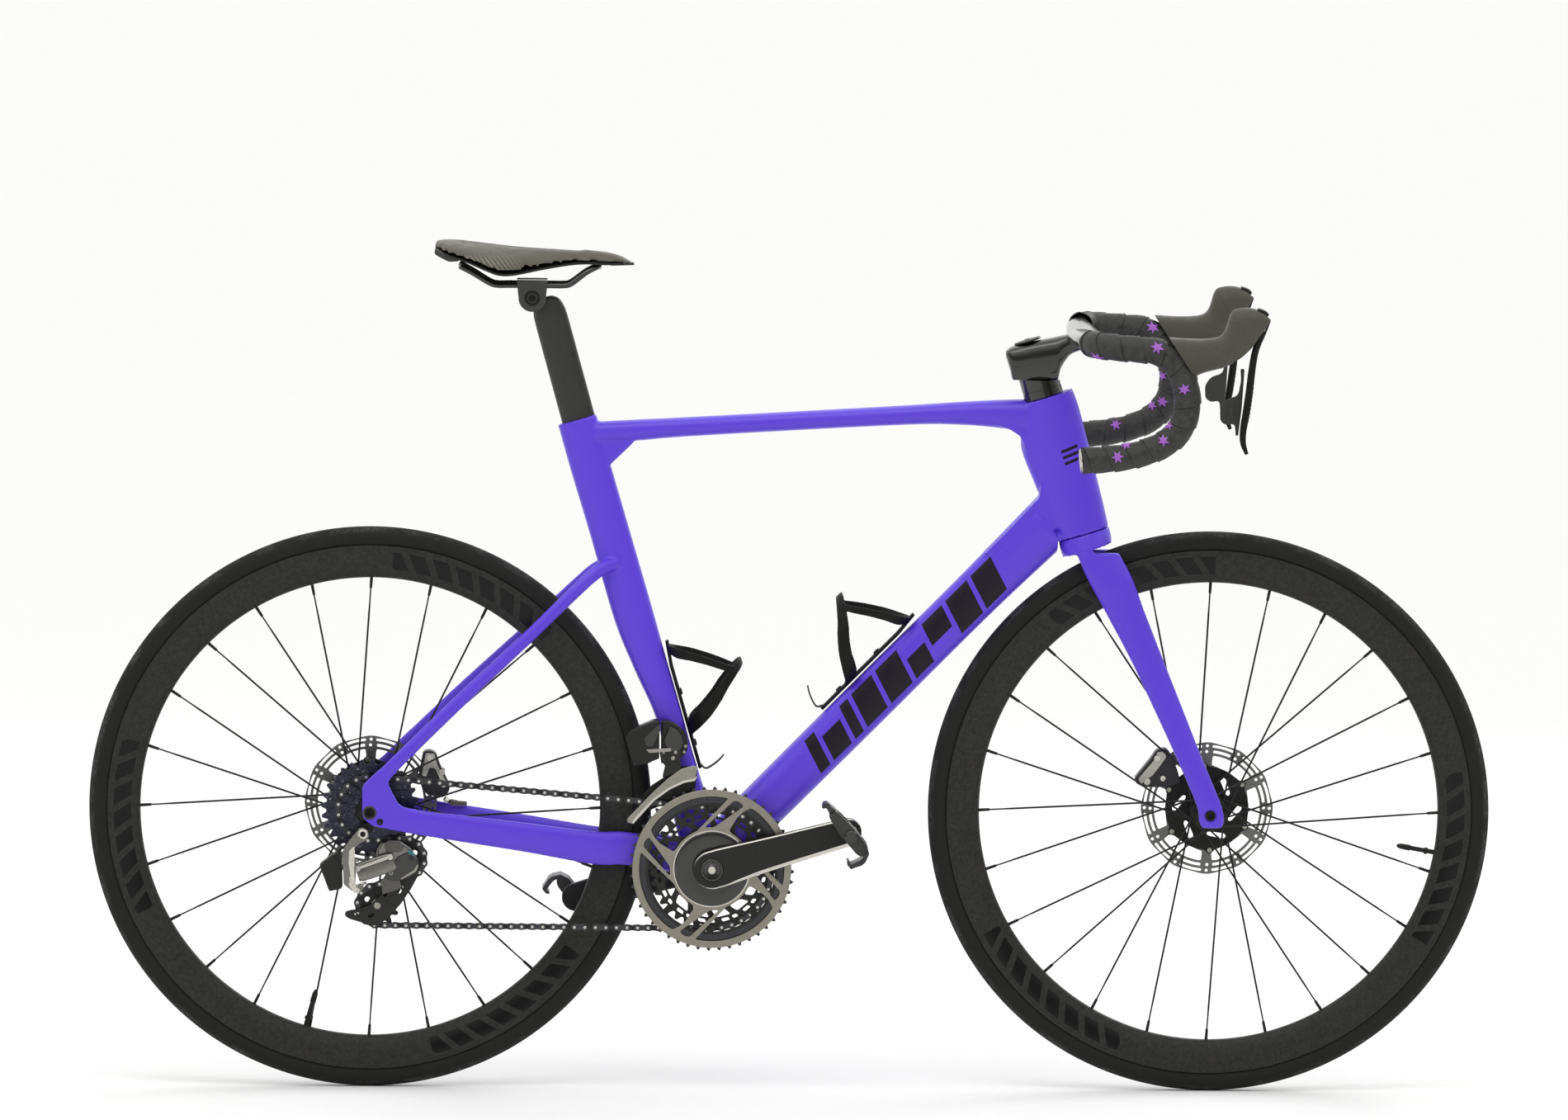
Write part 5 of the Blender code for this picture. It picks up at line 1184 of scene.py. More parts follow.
def build_rotor(word, axle):
    y = ROTOR_Y[word]
    low, high = y - 0.0009, y + 0.0009
    track = mesh_object(word + "_rotor_track", annulus(TRACK_RADII, low, high, axle))
    for v in track.data.vertices:
        out = Vector((v.co.x - axle.x, 0, v.co.z - axle.z))
        if out.length > 0.0785:
            turn = math.atan2(out.x, -out.z)
            v.co += out.normalized() * 0.0008 * math.cos(12 * turn)
    holes = Shape()
    for i in range(12):
        turn = TAU * i / 12
        arc = TAU / 12
        for radius, wide, start, stop in ((0.0753, 0.0016, 0.16, 0.84), (0.0688, 0.0017, 0.20, 0.80)):
            points = [spin(axle, turn + arc * (start + (stop - start) * k / 10),
                           radius + wide) for k in range(11)]
            points += [spin(axle, turn + arc * (stop - (stop - start) * k / 10),
                            radius - wide) for k in range(11)]
            holes.join(prism(rounded([(p.x, p.z) for p in points], 0.0018, 2), low - 0.01, high + 0.01))
        for radius, shift in ((0.0757, 0.0), (0.0687, 0.02)):
            spot = spin(axle, turn + arc * shift, radius)
            points = [(spot.x + 0.0019 * math.cos(a), spot.z + 0.0019 * math.sin(a)) for a in np.linspace(0,
                TAU, 13)[:-1]]
            holes.join(prism(points, low - 0.01, high + 0.01))
    for i in range(6):
        turn = TAU * i / 6
        points = [spin(axle, turn + math.radians(6 + 48 * k / 12), 0.0640) for k in range(13)]
        points += [spin(axle, turn + math.radians(54 - 48 * k / 12),
                        0.0525 - 0.0025 * math.sin(k / 12 * math.pi))
                   for k in range(13)]
        holes.join(prism(rounded([(p.x, p.z) for p in points], 0.003, 3), low - 0.01, high + 0.01))
    carve(track, holes)
    piece(word + "_rotor_track", track, ROTOR_STEEL.material, word + "_wheel", word + "_rotor",
          bevel=0.00015)
    carrier = mesh_object(word + "_rotor_carrier", annulus(CARRIER_RADII, low - 0.0004, high + 0.0004, axle))
    for v in carrier.data.vertices:
        out = Vector((v.co.x - axle.x, 0, v.co.z - axle.z))
        if out.length > 0.0500:
            turn = math.atan2(out.x, -out.z)
            v.co += out.normalized() * 0.0052 * max(0.0, math.cos(6 * turn - 0.45)) ** 6
    slots = Shape()
    for i in range(6):
        turn = TAU * i / 6 + 0.35
        points = []
        for along, across in ((-0.010, -0.0026), (0.009, -0.0034), (0.012, 0.0), (0.009, 0.0034),
                              (-0.010, 0.0026),
                              (-0.0125, 0.0)):
            base = spin(axle, turn, 0.0345)
            tilt = turn + 1.05
            points.append((base.x + along * math.sin(tilt) + across * math.cos(tilt),
                           base.z - along * math.cos(tilt) + across * math.sin(tilt)))
        slots.join(prism(rounded(points, 0.0022, 3), low - 0.02, high + 0.02))
    carve(carrier, slots)
    piece(word + "_rotor_carrier", carrier, SATIN_BLACK.material, word + "_wheel", bevel=0.0003)
    rivets = Shape()
    for i in range(6):
        spot = spin(axle, TAU * i / 6 + 0.075, 0.0512)
        rivets.join(disc(0.0030, low - 0.0009, high + 0.0009, Vector((spot.x, 0, spot.z)), 20))
    piece(word + "_rotor_rivets", rivets, STEEL.material, word + "_wheel", bevel=0.0003)


def build_valve(word, axle):
    turn = VALVE_TURN[word]
    foot, tip = spin(axle, turn, 0.280), spin(axle, turn, 0.232)
    rings = []
    for t, r in ((0.0, 0.0030), (0.22, 0.0030), (0.225, 0.0042), (0.30, 0.0042), (0.305, 0.0029),
                 (0.66, 0.0029),
                 (0.67, 0.0037), (0.90, 0.0034), (1.0, 0.0018)):
        p = foot.lerp(tip, t)
        heading = (tip - foot).normalized()
        rings.append(ring(p, Y, heading.cross(Y), r, r, 20))
    piece(word + "_valve", loft(rings), SATIN_BLACK.material, word + "_wheel", angle=30)


def build_wheels():
    for word, axle in AXLE.items():
        build_tyre(word, axle)
        build_rim(word, axle)
        build_hub(word, axle)
        build_rotor(word, axle)
        build_valve(word, axle)
        for side in (-1, 1):
            build_spoke_set(word, axle, side)


def tyre_material(word):
    """Black tread with dusty patches, a fine sidewall rib, and wear."""
    axle = AXLE[word]
    m = Nodes(word + "_tyre_rubber", (0.013, 0.013, 0.012), 0.72, specular=0.12)
    turn, far, across = polar(m, axle)
    dust = m.noise(26, 6, (1, 1, 1), 0.7)
    patch = m.cells(60, "SMOOTH_F1")
    tread = m.remap(far, 0.3310, 0.3350, 0.0, 1.0)
    share = m.math("MULTIPLY", m.remap(dust, 0.47, 0.60, 0.0, 1.0), tread)
    speck = m.remap(m.noise(420, 6), 0.42, 0.60, 0.2, 1.0)
    mixed = m.mix(m.math("MULTIPLY", share, speck), (0.017, 0.017, 0.016), (0.062, 0.063, 0.062))
    m.link(mixed, "Base Color")
    m.gloss(dust, 0.3, 0.7, 0.12)
    ribs = m.node("TexWave", {"Vector": m.node("CombineXYZ", {0: far}).outputs[0],
                              "Scale": 0.1 * math.pi / 0.0011}).outputs["Fac"]
    m.bump(m.math("MULTIPLY", ribs, m.remap(far, 0.3290, 0.3320, 1.0, 0.0)), 0.00010, 0.6)
    m.bump(m.noise(900, 5), 0.00012, 0.8)
    m.bump(m.math("MULTIPLY", m.remap(patch, 0.0, 0.5, 0, 1), tread), 0.00025, 0.5)
    return m


def rim_material(word):
    """Satin carbon with broad darker blocks round the flank, in place of lettering."""
    axle = AXLE[word]
    m = Nodes(word + "_rim_carbon", (0.016, 0.015, 0.013), 0.42, specular=0.18)
    turn, far, across = polar(m, axle)
    count = 3
    place = m.math("FRACT", m.math("ADD", m.math("MULTIPLY", turn, float(count)), RIM_PHASE[word]))
    slant = m.math("ADD", m.math("MULTIPLY", turn, 66.0), m.math("MULTIPLY", far, 22.0))
    dash = m.remap(m.math("FRACT", slant), 0.30, 0.33, 0.0, 1.0)
    inside = m.math("MULTIPLY", m.remap(place, 0.09, 0.092, 0, 1), m.remap(place, 0.428, 0.43, 1, 0))
    band = m.math("MULTIPLY", m.remap(far, 0.2880, 0.2884, 0, 1), m.remap(far, 0.3092, 0.3096, 1, 0))
    mark = m.math("MULTIPLY", m.math("MULTIPLY", dash, inside), band)
    tow = m.noise(240, 4, (1, 0.2, 1))
    base = m.mix(m.remap(tow, 0.35, 0.65, 0, 1), (0.018, 0.018, 0.016), (0.031, 0.030, 0.027))
    m.link(m.mix(mark, base, (0.0065, 0.0065, 0.0065)), "Base Color")
    m.link(m.math("SUBTRACT", 0.46, m.math("MULTIPLY", mark, 0.24)), "Roughness")
    m.bump(m.noise(1500, 4), 0.00003)
    return m


RIM_PHASE = {"front": 0.42, "rear": 0.05}
TYRE = {word: tyre_material(word) for word in AXLE}
RIM = {word: rim_material(word) for word in AXLE}
SPOKE_BLACK = plain("spoke_black", (0.014, 0.014, 0.014), 0.35, 0.5, grain=1200, spread=0.2, relief=0.00001)
ROTOR_STEEL = plain("rotor_steel", (0.16, 0.16, 0.155), 0.34, 1.0, grain=600, spread=0.15, relief=0.00002,
                    stretch=(1, 8, 1))


# ------------------------------------------------------------ brakes and hose
def build_caliper(word, outline, arch, bolts, y):
    """A flat-mount caliper: black body, silver arch piece on its outer side and bright torx bolts."""
    centre = AXLE[word] + Y * y
    host = "frame" if word == "rear" else "cockpit"
    body = mesh_object(word + "_caliper_body", prism(rounded(outline, 0.004, 4), y - 0.0122, y + 0.0112))
    carve(body, disc(0.0836, -0.0022, 0.0022, centre, 96))
    piece(word + "_caliper_body", body, CALIPER.material, host, word + "_brake_caliper",
          bevel=0.0016)
    face = mesh_object(word + "_caliper_arch", prism(rounded(arch, 0.002, 3), y - 0.0138, y - 0.0116))
    piece(word + "_caliper_arch", face, ARCH.material, host, bevel=0.0007)
    ring_shape = mesh_object(word + "_caliper_band", prism(rounded(arch, 0.002, 3), y + 0.0106, y + 0.0124))
    piece(word + "_caliper_band", ring_shape, ARCH.material, host, bevel=0.0006)
    heads = Shape()
    for x, z, r in bolts:
        heads.join(screw(Vector((x, 0, z)), r, y - 0.0130, y - 0.0158, Y, 0.5))
        heads.join(screw(Vector((x, 0, z)), r, y + 0.0118, y + 0.0136, Y, 0.5))
    piece(word + "_caliper_bolts", heads, SILVER.material, host, angle=25)


def build_brakes():
    rear = [(-0.4490, 0.3680), (-0.4430, 0.4010), (-0.4350, 0.4030), (-0.4275, 0.3995), (-0.4230, 0.3860),
            (-0.4105, 0.3600), (-0.4110, 0.3530), (-0.4180, 0.3450), (-0.4380, 0.3480)]
    arch = [(-0.4445, 0.3720), (-0.4400, 0.3990), (-0.4290, 0.3985), (-0.4255, 0.3850), (-0.4140, 0.3630),
            (-0.4190, 0.3600), (-0.4290, 0.3810), (-0.4350, 0.3820), (-0.4390, 0.3700)]
    build_caliper("rear", rear, arch, ((-0.4345, 0.3930, 0.0040), (-0.4200, 0.3760, 0.0036),
                                       (-0.4180, 0.3610, 0.0030)),
                  ROTOR_Y["rear"])
    front = [(0.4445, 0.4110), (0.4380, 0.4010), (0.4180, 0.3760), (0.4190, 0.3700), (0.4280, 0.3650),
             (0.4560, 0.3650), (0.4735, 0.3700), (0.4700, 0.3850), (0.4615, 0.4050), (0.4560, 0.4125)]
    arch = [(0.4450, 0.4080), (0.4420, 0.3990), (0.4220, 0.3750), (0.4260, 0.3690), (0.4400, 0.3800),
            (0.4480, 0.3900), (0.4560, 0.4020), (0.4540, 0.4090)]
    build_caliper("front", front, arch, ((0.4450, 0.4000, 0.0042), (0.4330, 0.3720, 0.0040),
                                         (0.4520, 0.3760, 0.0034)),
                  ROTOR_Y["front"])
    route = curve_through(((-0.4172, 0.0560, 0.3442), (-0.4110, 0.0562, 0.3400), (-0.4000, 0.0575, 0.3376),
                           (-0.3900, 0.0590, 0.3372)), 24)
    piece("brake_hose", tube(route, 0.0024, 14), CABLE.material, "frame", "rear_brake_hose")
    nut = carried_rings(route, ((0.04, 0.0030), (0.06, 0.0040), (0.28, 0.0040), (0.30, 0.0031)), 6)
    piece("brake_hose_nut", nut, SILVER.material, "frame", angle=25)
    boot = carried_rings(route, ((0.36, 0.0028), (0.40, 0.0036), (0.48, 0.0037), (0.50, 0.0033),
                                 (0.54, 0.0037),
                                 (0.60, 0.0037), (0.62, 0.0031), (1.0, 0.0026)), 18)
    piece("brake_hose_boot", boot, BRONZE.material, "frame", angle=30)


def carried_rings(route, rows, sides):
    """Rings of given radii at shares of a path."""
    path = [Vector(p) for p in route]
    frames = carried(path, Z)
    rings = []
    for share, radius in rows:
        k = min(int(round(share * (len(path) - 1))), len(path) - 1)
        spot = share * (len(path) - 1)
        low = min(int(spot), len(path) - 2)
        point = path[low].lerp(path[low + 1], spot - low)
        rings.append(ring(point, frames[k][0], frames[k][1], radius, radius, sides))
    return loft(rings)


CALIPER = plain("caliper_black", (0.018, 0.017, 0.019), 0.36, 0.2, grain=1800, spread=0.25, relief=0.00004)
ARCH = plain("caliper_silver", (0.42, 0.41, 0.37), 0.26, 1.0, grain=900, spread=0.15, relief=0.00002)
BRONZE = plain("bronze_rubber", (0.085, 0.078, 0.055), 0.42, grain=1600, spread=0.25, relief=0.00004)


# ------------------------------------------------------------ drivetrain
PITCH = 0.0127
COGS = (10, 11, 12, 13, 14, 15, 16, 17, 19, 21, 24, 28)
CHAIN_COG = 8
INNER_Y = -0.0415
GUIDE, TENSION = Vector((-0.4640, -0.0320, 0.2790)), Vector((-0.4965, -0.0320, 0.2225))
ARM_LIFT = math.radians(16)


def pitch_radius(teeth):
    return PITCH / (2 * math.sin(math.pi / teeth))


def leaving(first, second, side):
    """Angle at which the chain leaves one circle (x, z, radius) for the next."""
    dx, dz = second[0] - first[0], second[1] - first[1]
    return math.atan2(dz, dx) + side * math.acos((first[2] - second[2]) / math.hypot(dx, dz))


def arc(circle, start, stop, onward):
    while onward and stop < start:
        stop += TAU
    while not onward and stop > start:
        stop -= TAU
    count = max(2, int(abs(stop - start) / 0.03))
    return [(circle[0] + circle[2] * math.cos(a), circle[1] + circle[2] * math.sin(a))
            for a in np.linspace(start, stop, count + 1)]


def chain_pins():
    """Pin positions (x, z) along the chain: ring, cog, guide pulley and tension pulley."""
    wheel = pitch_radius(12)
    big = (CRANK_AXIS.x, CRANK_AXIS.z, pitch_radius(36))
    cog = (REAR_AXLE.x, REAR_AXLE.z, pitch_radius(COGS[CHAIN_COG]))
    guide, tension = (GUIDE.x, GUIDE.z, wheel), (TENSION.x, TENSION.z, wheel)
    turned_guide = (GUIDE.x, GUIDE.z, -wheel)
    upper, lower = leaving(cog, big, 1), leaving(tension, big, -1)
    down = leaving(cog, turned_guide, -1)
    across = leaving(turned_guide, tension, -1)
    path = arc(big, lower, upper, True) + arc(cog, upper, down, True)
    path += arc(guide, down + math.pi, across + math.pi, False) + arc(tension, across, lower, True)
    path = np.array(path + path[:1])
    steps = np.hypot(*np.diff(path, axis=0).T)
    along = np.concatenate([[0], np.cumsum(steps)])
    count = 2 * round(along[-1] / PITCH / 2)
    marks = np.arange(count) * along[-1] / count
    return list(zip(np.interp(marks, along, path[:, 0]), np.interp(marks, along, path[:, 1])))


def chain_plane(x):
    cog_y = -0.0615 + 0.0037 * CHAIN_COG
    share = (x - REAR_AXLE.x - 0.06) / (CRANK_AXIS.x - REAR_AXLE.x - 0.14)
    return cog_y + (INNER_Y - cog_y) * min(max(share, 0.0), 1.0)


def plate(a, b, radius, waist, low, high):
    """A chain side plate: two round ends and a narrow waist."""
    along = (b - a).normalized()
    out = along.cross(Y)
    points = []
    for centre, begin in ((a, 0.5), (b, -0.5)):
        for k in range(7):
            turn = math.pi * (begin + k / 6)
            points.append(centre + (along * math.cos(turn) + out * math.sin(turn)) * radius)
        middle = (a + b) / 2 + out * waist * (-1 if begin > 0 else 1)
        points.append(middle)
    return loft([[p + Y * h for p in points] for h in (low, high)])


def build_chain():
    pins = chain_pins()
    places = [Vector((x, chain_plane(x), z)) for x, z in pins]
    outer, inner, rods = Shape(), Shape(), Shape()
    for i, a in enumerate(places):
        b = places[(i + 1) % len(places)]
        wide = i % 2
        for side in (-1, 1):
            if wide:
                outer.join(plate(a, b, 0.0041, 0.0030, side * 0.00195, side * 0.0028))
            else:
                inner.join(plate(a, b, 0.0041, 0.0030, side * 0.0011, side * 0.00185))
        rods.join(disc(0.0018, -0.0032, 0.0032, a, 10))
        inner.join(disc(0.0037, -0.0011, 0.0011, a, 12))
    piece("chain_outer_plates", outer, CHAIN_PLATE.material, "frame", "chain",
          bevel=0.0002)
    piece("chain_inner_links", inner, CHAIN_DARK.material, "frame", "chain", angle=30)
    piece("chain_pins", rods, CHAIN_PIN.material, "frame", "chain", angle=30)


def phased(centre, teeth):
    """Turn that sets a gullet under the nearest chain pin."""
    best = min(chain_pins(), key=lambda p: abs(math.hypot(p[0] - centre.x,
                                                          p[1] - centre.z) - pitch_radius(teeth)))
    return math.atan2(best[0] - centre.x, centre.z - best[1])


def cog(teeth, bore, y, half, centre, phase=0.0, hooked=False):
    root, tip = pitch_radius(teeth) - 0.0040, pitch_radius(teeth) + 0.0024
    shape = ((0.0, 0.0), (0.15, 0.12), (0.30, 0.70), (0.40, 1.0), (0.60, 1.0), (0.70, 0.70), (0.85, 0.12))
    if hooked:
        shape = ((0.0, 0.0), (0.16, 0.06), (0.30, 0.40), (0.42, 0.86), (0.52, 1.0), (0.62, 0.94),
                 (0.72, 0.50),
                 (0.84, 0.08))
    rings = []
    for i in range(teeth):
        for share, high in shape:
            turn = phase + TAU * (i + share) / teeth
            edge, hole = spin(centre, turn, root + (tip - root) * high), spin(centre, turn, bore)
            rings.append([Vector((edge.x, y - half, edge.z)), Vector((edge.x, y + half, edge.z)),
                          Vector((hole.x, y + half, hole.z)), Vector((hole.x, y - half, hole.z))])
    return loft(rings, closed=True)


def build_cassette():
    stack, spacers = Shape(), Shape()
    for i, teeth in enumerate(COGS):
        y = -0.0615 + 0.0037 * i
        phase = phased(REAR_AXLE, teeth) if i == CHAIN_COG else 0.21 * i
        bore = max(0.0168, pitch_radius(teeth) - 0.0125)
        stack.join(cog(teeth, bore, y, 0.0008, REAR_AXLE, phase))
        if i + 1 < len(COGS):
            low, high = y + 0.0008, y + 0.0029
            reach = max(pitch_radius(teeth) - 0.0058, 0.0190)
            spacers.join(turned([(reach, low), (reach, high), (0.0168, high), (0.0168, low)], REAR_AXLE, 48))
    piece("cassette_cogs", stack, COG_STEEL.material, "cassette", "cassette",
          bevel=0.00025)
    piece("cassette_spacers", spacers, SATIN_BLACK.material, "cassette", angle=30)
    pins = Shape()
    for i, teeth in enumerate(COGS[2:]):
        y = -0.0615 + 0.0037 * (i + 2)
        for k in range(6):
            spot = spin(REAR_AXLE, 0.5 * i + TAU * k / 6, pitch_radius(teeth) - 0.0075)
            pins.join(disc(0.0011, y - 0.0014, y, Vector((spot.x, 0, spot.z)), 8))
    piece("cassette_rivets", pins, STEEL.material, "cassette")


def ring_window(points, quarter, start=None, stop=None, outer=0.0, inner=0.0, inner_span=()):
    """A window in a chainring, drawn in its first quarter and turned on by quarters."""
    outline = [Vector(p) * 0.001 for p in points]
    if outer:
        outline += [Vector((math.sin(a), math.cos(a))) * outer for a in np.linspace(start, stop, 20)]
    if inner:
        outline += [Vector((math.sin(a), math.cos(a))) * inner for a in np.linspace(*inner_span, 10)]
    turn = quarter * math.pi / 2
    return [(CRANK_AXIS.x + p.x * math.cos(turn) + p.y * math.sin(turn),
             CRANK_AXIS.z - p.x * math.sin(turn) + p.y * math.cos(turn)) for p in outline]


def build_rings():
    face = mesh_object("outer_ring_face", turned([(0.0463, -0.0496), (0.0463, -0.0510), (0.0952, -0.0512),
                                                  (0.0958, -0.0506), (0.0958, -0.0496)], CRANK_AXIS, 192))
    slots = Shape()
    rad = math.radians
    for quarter in range(4):
        slot = ring_window([(-9.2, 49.9), (26.6, 82.8), (33, 81), (38.5, 76), (2.4, 50.3)], quarter)
        slots.join(prism(rounded(slot, 0.0035, 4), -0.06, -0.04))
        wide = ring_window([(20.5, 46.2), (30.5, 62.5), (37.5, 69.0), (46, 73.6)], quarter, rad(34.5),
                           rad(103),
                           0.0876, 0.0490, (rad(68), rad(30)))
        slots.join(prism(rounded(wide, 0.0022, 3), -0.06, -0.04))
    carve(face, slots)
    piece("outer_ring_face", face, TAUPE.material, "crank", "outer_chainring", bevel=0.0005)
    teeth = mesh_object("outer_ring_teeth", cog(48, 0.0795, -0.0486, 0.0009, CRANK_AXIS, 0.03, hooked=True))
    piece("outer_ring_teeth", teeth, DARK_STEEL.material, "crank", bevel=0.0003)
    wall = turned([(0.0762, -0.0490), (0.0880, -0.0496), (0.0880, -0.0470), (0.0775, -0.0466),
                   (0.0762, -0.0470)],
                  CRANK_AXIS, 160)
    piece("outer_ring_wall", wall, MATTE_METAL.material, "crank", bevel=0.0003)
    inner = mesh_object("inner_ring_plate", cog(36, 0.0462, INNER_Y, 0.0009, CRANK_AXIS,
                                                phased(CRANK_AXIS, 36)))
    holes = Shape()
    for i in range(14):
        turn = TAU * i / 14
        for low, high, start, span, lean in ((0.0505, 0.0600, 0.0, 0.30, 0.10),
                                             (0.0622, 0.0662, 0.19, 0.14, 0.02),
                                             (0.0622, 0.0662, 0.40, 0.10, 0.02)):
            corners = [(low, start), (low, start + span), (high, start + span + lean), (high, start + lean)]
            points = [spin(CRANK_AXIS, turn + a, r) for r, a in corners]
            holes.join(prism(rounded([(p.x, p.z) for p in points], 0.0028, 4), -0.05, -0.03))
    carve(inner, holes)
    piece("inner_ring_plate", inner, MATTE_METAL.material, "crank", "inner_chainring",
          bevel=0.0004)
    step = [(0.0795, -0.0478), (0.0795, -0.0462), (0.0690, -0.0424), (0.0670, -0.0424), (0.0670, -0.0436),
            (0.0775, -0.0474)]
    carrier = mesh_object("ring_bridge", turned(step, CRANK_AXIS, 128))
    gaps = Shape()
    for i in range(8):
        points = [spin(CRANK_AXIS, TAU * i / 8 + a, r) for r, a in ((0.0600, 0.0), (0.0600, 0.68),
                                                                    (0.0830, 0.72),
                                                                    (0.0830, 0.04))]
        gaps.join(prism([(p.x, p.z) for p in points], -0.06, -0.03))
    carve(carrier, gaps)
    piece("ring_bridge", carrier, MATTE_METAL.material, "crank")
    dish = [(0.0150, -0.0528), (0.0300, -0.0530), (0.0400, -0.0534), (0.0436, -0.0530), (0.0450, -0.0518),
            (0.0450, -0.0412), (0.0430, -0.0400), (0.0265, -0.0450), (0.0150, -0.0450)]
    piece("spider_disc", turned(dish, CRANK_AXIS, 128), GLOSS_BLACK.material, "crank", "crank_spider",
          angle=25)
    trim = [(0.0451, -0.0517), (0.0464, -0.0517), (0.0464, -0.0497), (0.0451, -0.0497)]
    piece("spider_trim", turned(trim, CRANK_AXIS, 128), SILVER.material, "crank", angle=25)


ARM_ROWS = ((0.0130, 0.0229, 0.0520, 0.0695), (0.0280, 0.0222, 0.0520, 0.0695),
            (0.0550, 0.0208, 0.0530, 0.0697),
            (0.1000, 0.0190, 0.0553, 0.0706), (0.1450, 0.0176, 0.0576, 0.0719),
            (0.1700, 0.0168, 0.0585, 0.0725))


def arm_rows():
    """Rows (reach, half depth, inner, outer) with round ends."""
    rows = []
    for k in range(9):
        turn = math.pi / 2 * k / 8
        rows.append((0.0005 - 0.0229 * math.cos(turn) * 0.999, max(0.0229 * math.sin(turn), 0.0009), 0.0520,
                     0.0695))
    rows += list(ARM_ROWS)
    for k in range(1, 9):
        turn = math.pi / 2 * k / 8
        rows.append((0.1700 + 0.0165 * math.sin(turn) * 0.999, max(0.0168 * math.cos(turn), 0.0009), 0.0585,
                     0.0725))
    return rows


def build_arm(side, word):
    reach = Vector((math.cos(ARM_LIFT), 0, math.sin(ARM_LIFT))) * (-side)
    up = Vector((-reach.z, 0, reach.x)) * (-side)

    def at(s, w, y):
        return CRANK_AXIS + reach * s + up * w + Y * side * y

    body, upper, lower = [], [], []
    for s, half, low, high in arm_rows():
        grow = min(max((s - 0.012) / 0.03, 0.0), 1.0)
        round_off = min(1.0, half / 0.016)
        top, under = 0.0016 * round_off, (0.0016 + 0.0034 * grow) * round_off
        depth_top, depth_under = 0.0016 * round_off, (0.0016 + 0.0030 * grow) * round_off
        body.append([at(s, half - top, high), at(s, half, high - depth_top), at(s, half, low + 0.0015),
                     at(s, half * 0.9, low), at(s, -half * 0.9, low), at(s, -half, low + 0.0015),
                     at(s, -half, high - depth_under), at(s, -half + under, high)])
        lift = 0.00012
        for rows, sign, wide, deep in ((upper, 1, top, depth_top), (lower, -1, under, depth_under)):
            a, b = at(s, sign * (half - wide), high), at(s, sign * half, high - deep)
            out = up * sign * deep + Y * side * wide
            out = out.normalized() * lift
            rows.append([a.lerp(b, 0.06) + out, a.lerp(b, 0.94) + out, a.lerp(b, 0.94) - out * 2,
                         a.lerp(b, 0.06) - out * 2])
    arm = mesh_object(word + "_crank", loft(body))
    carve(arm, disc(0.0142, side * 0.0650, side * 0.08, CRANK_AXIS, 48))
    piece(word + "_crank", arm, ARM_BLACK.material, "crank", word + "_crank_arm",
          angle=25,
          bevel=0.0002)
    piece(word + "_crank_upper_edge", loft(upper), SILVER.material, "crank", angle=25)
    piece(word + "_crank_lower_edge", loft(lower), SILVER.material, "crank", angle=25)
    step = 1 if side > 0 else -1
    cap = [(0.0000, 0.0652), (0.0138, 0.0652), (0.0138, 0.0690), (0.0130, 0.0697), (0.0112, 0.0697),
           (0.0104, 0.0685),
           (0.0068, 0.0682), (0.0060, 0.0688), (0.0000, 0.0688)]
    cap = [(max(r, 0.00002), step * y) for r, y in cap]
    piece(word + "_crank_cap", turned(cap, CRANK_AXIS, 64), GLOSS_BLACK.material, "crank", angle=25)
    piece(word + "_crank_hex", screw(CRANK_AXIS, 0.0046, step * 0.0684, step * 0.0694, Y, 0.62),
          SILVER.material,
          "crank", angle=25)
    if side < 0:
        tube_shape = turned([(0.0110, -0.0640), (0.0145, -0.0640), (0.0145, 0.0515), (0.0110, 0.0515)],
                            CRANK_AXIS, 64)
        piece("crank_spindle", tube_shape, DARK_STEEL.material, "crank", "right_crank_arm", angle=30)


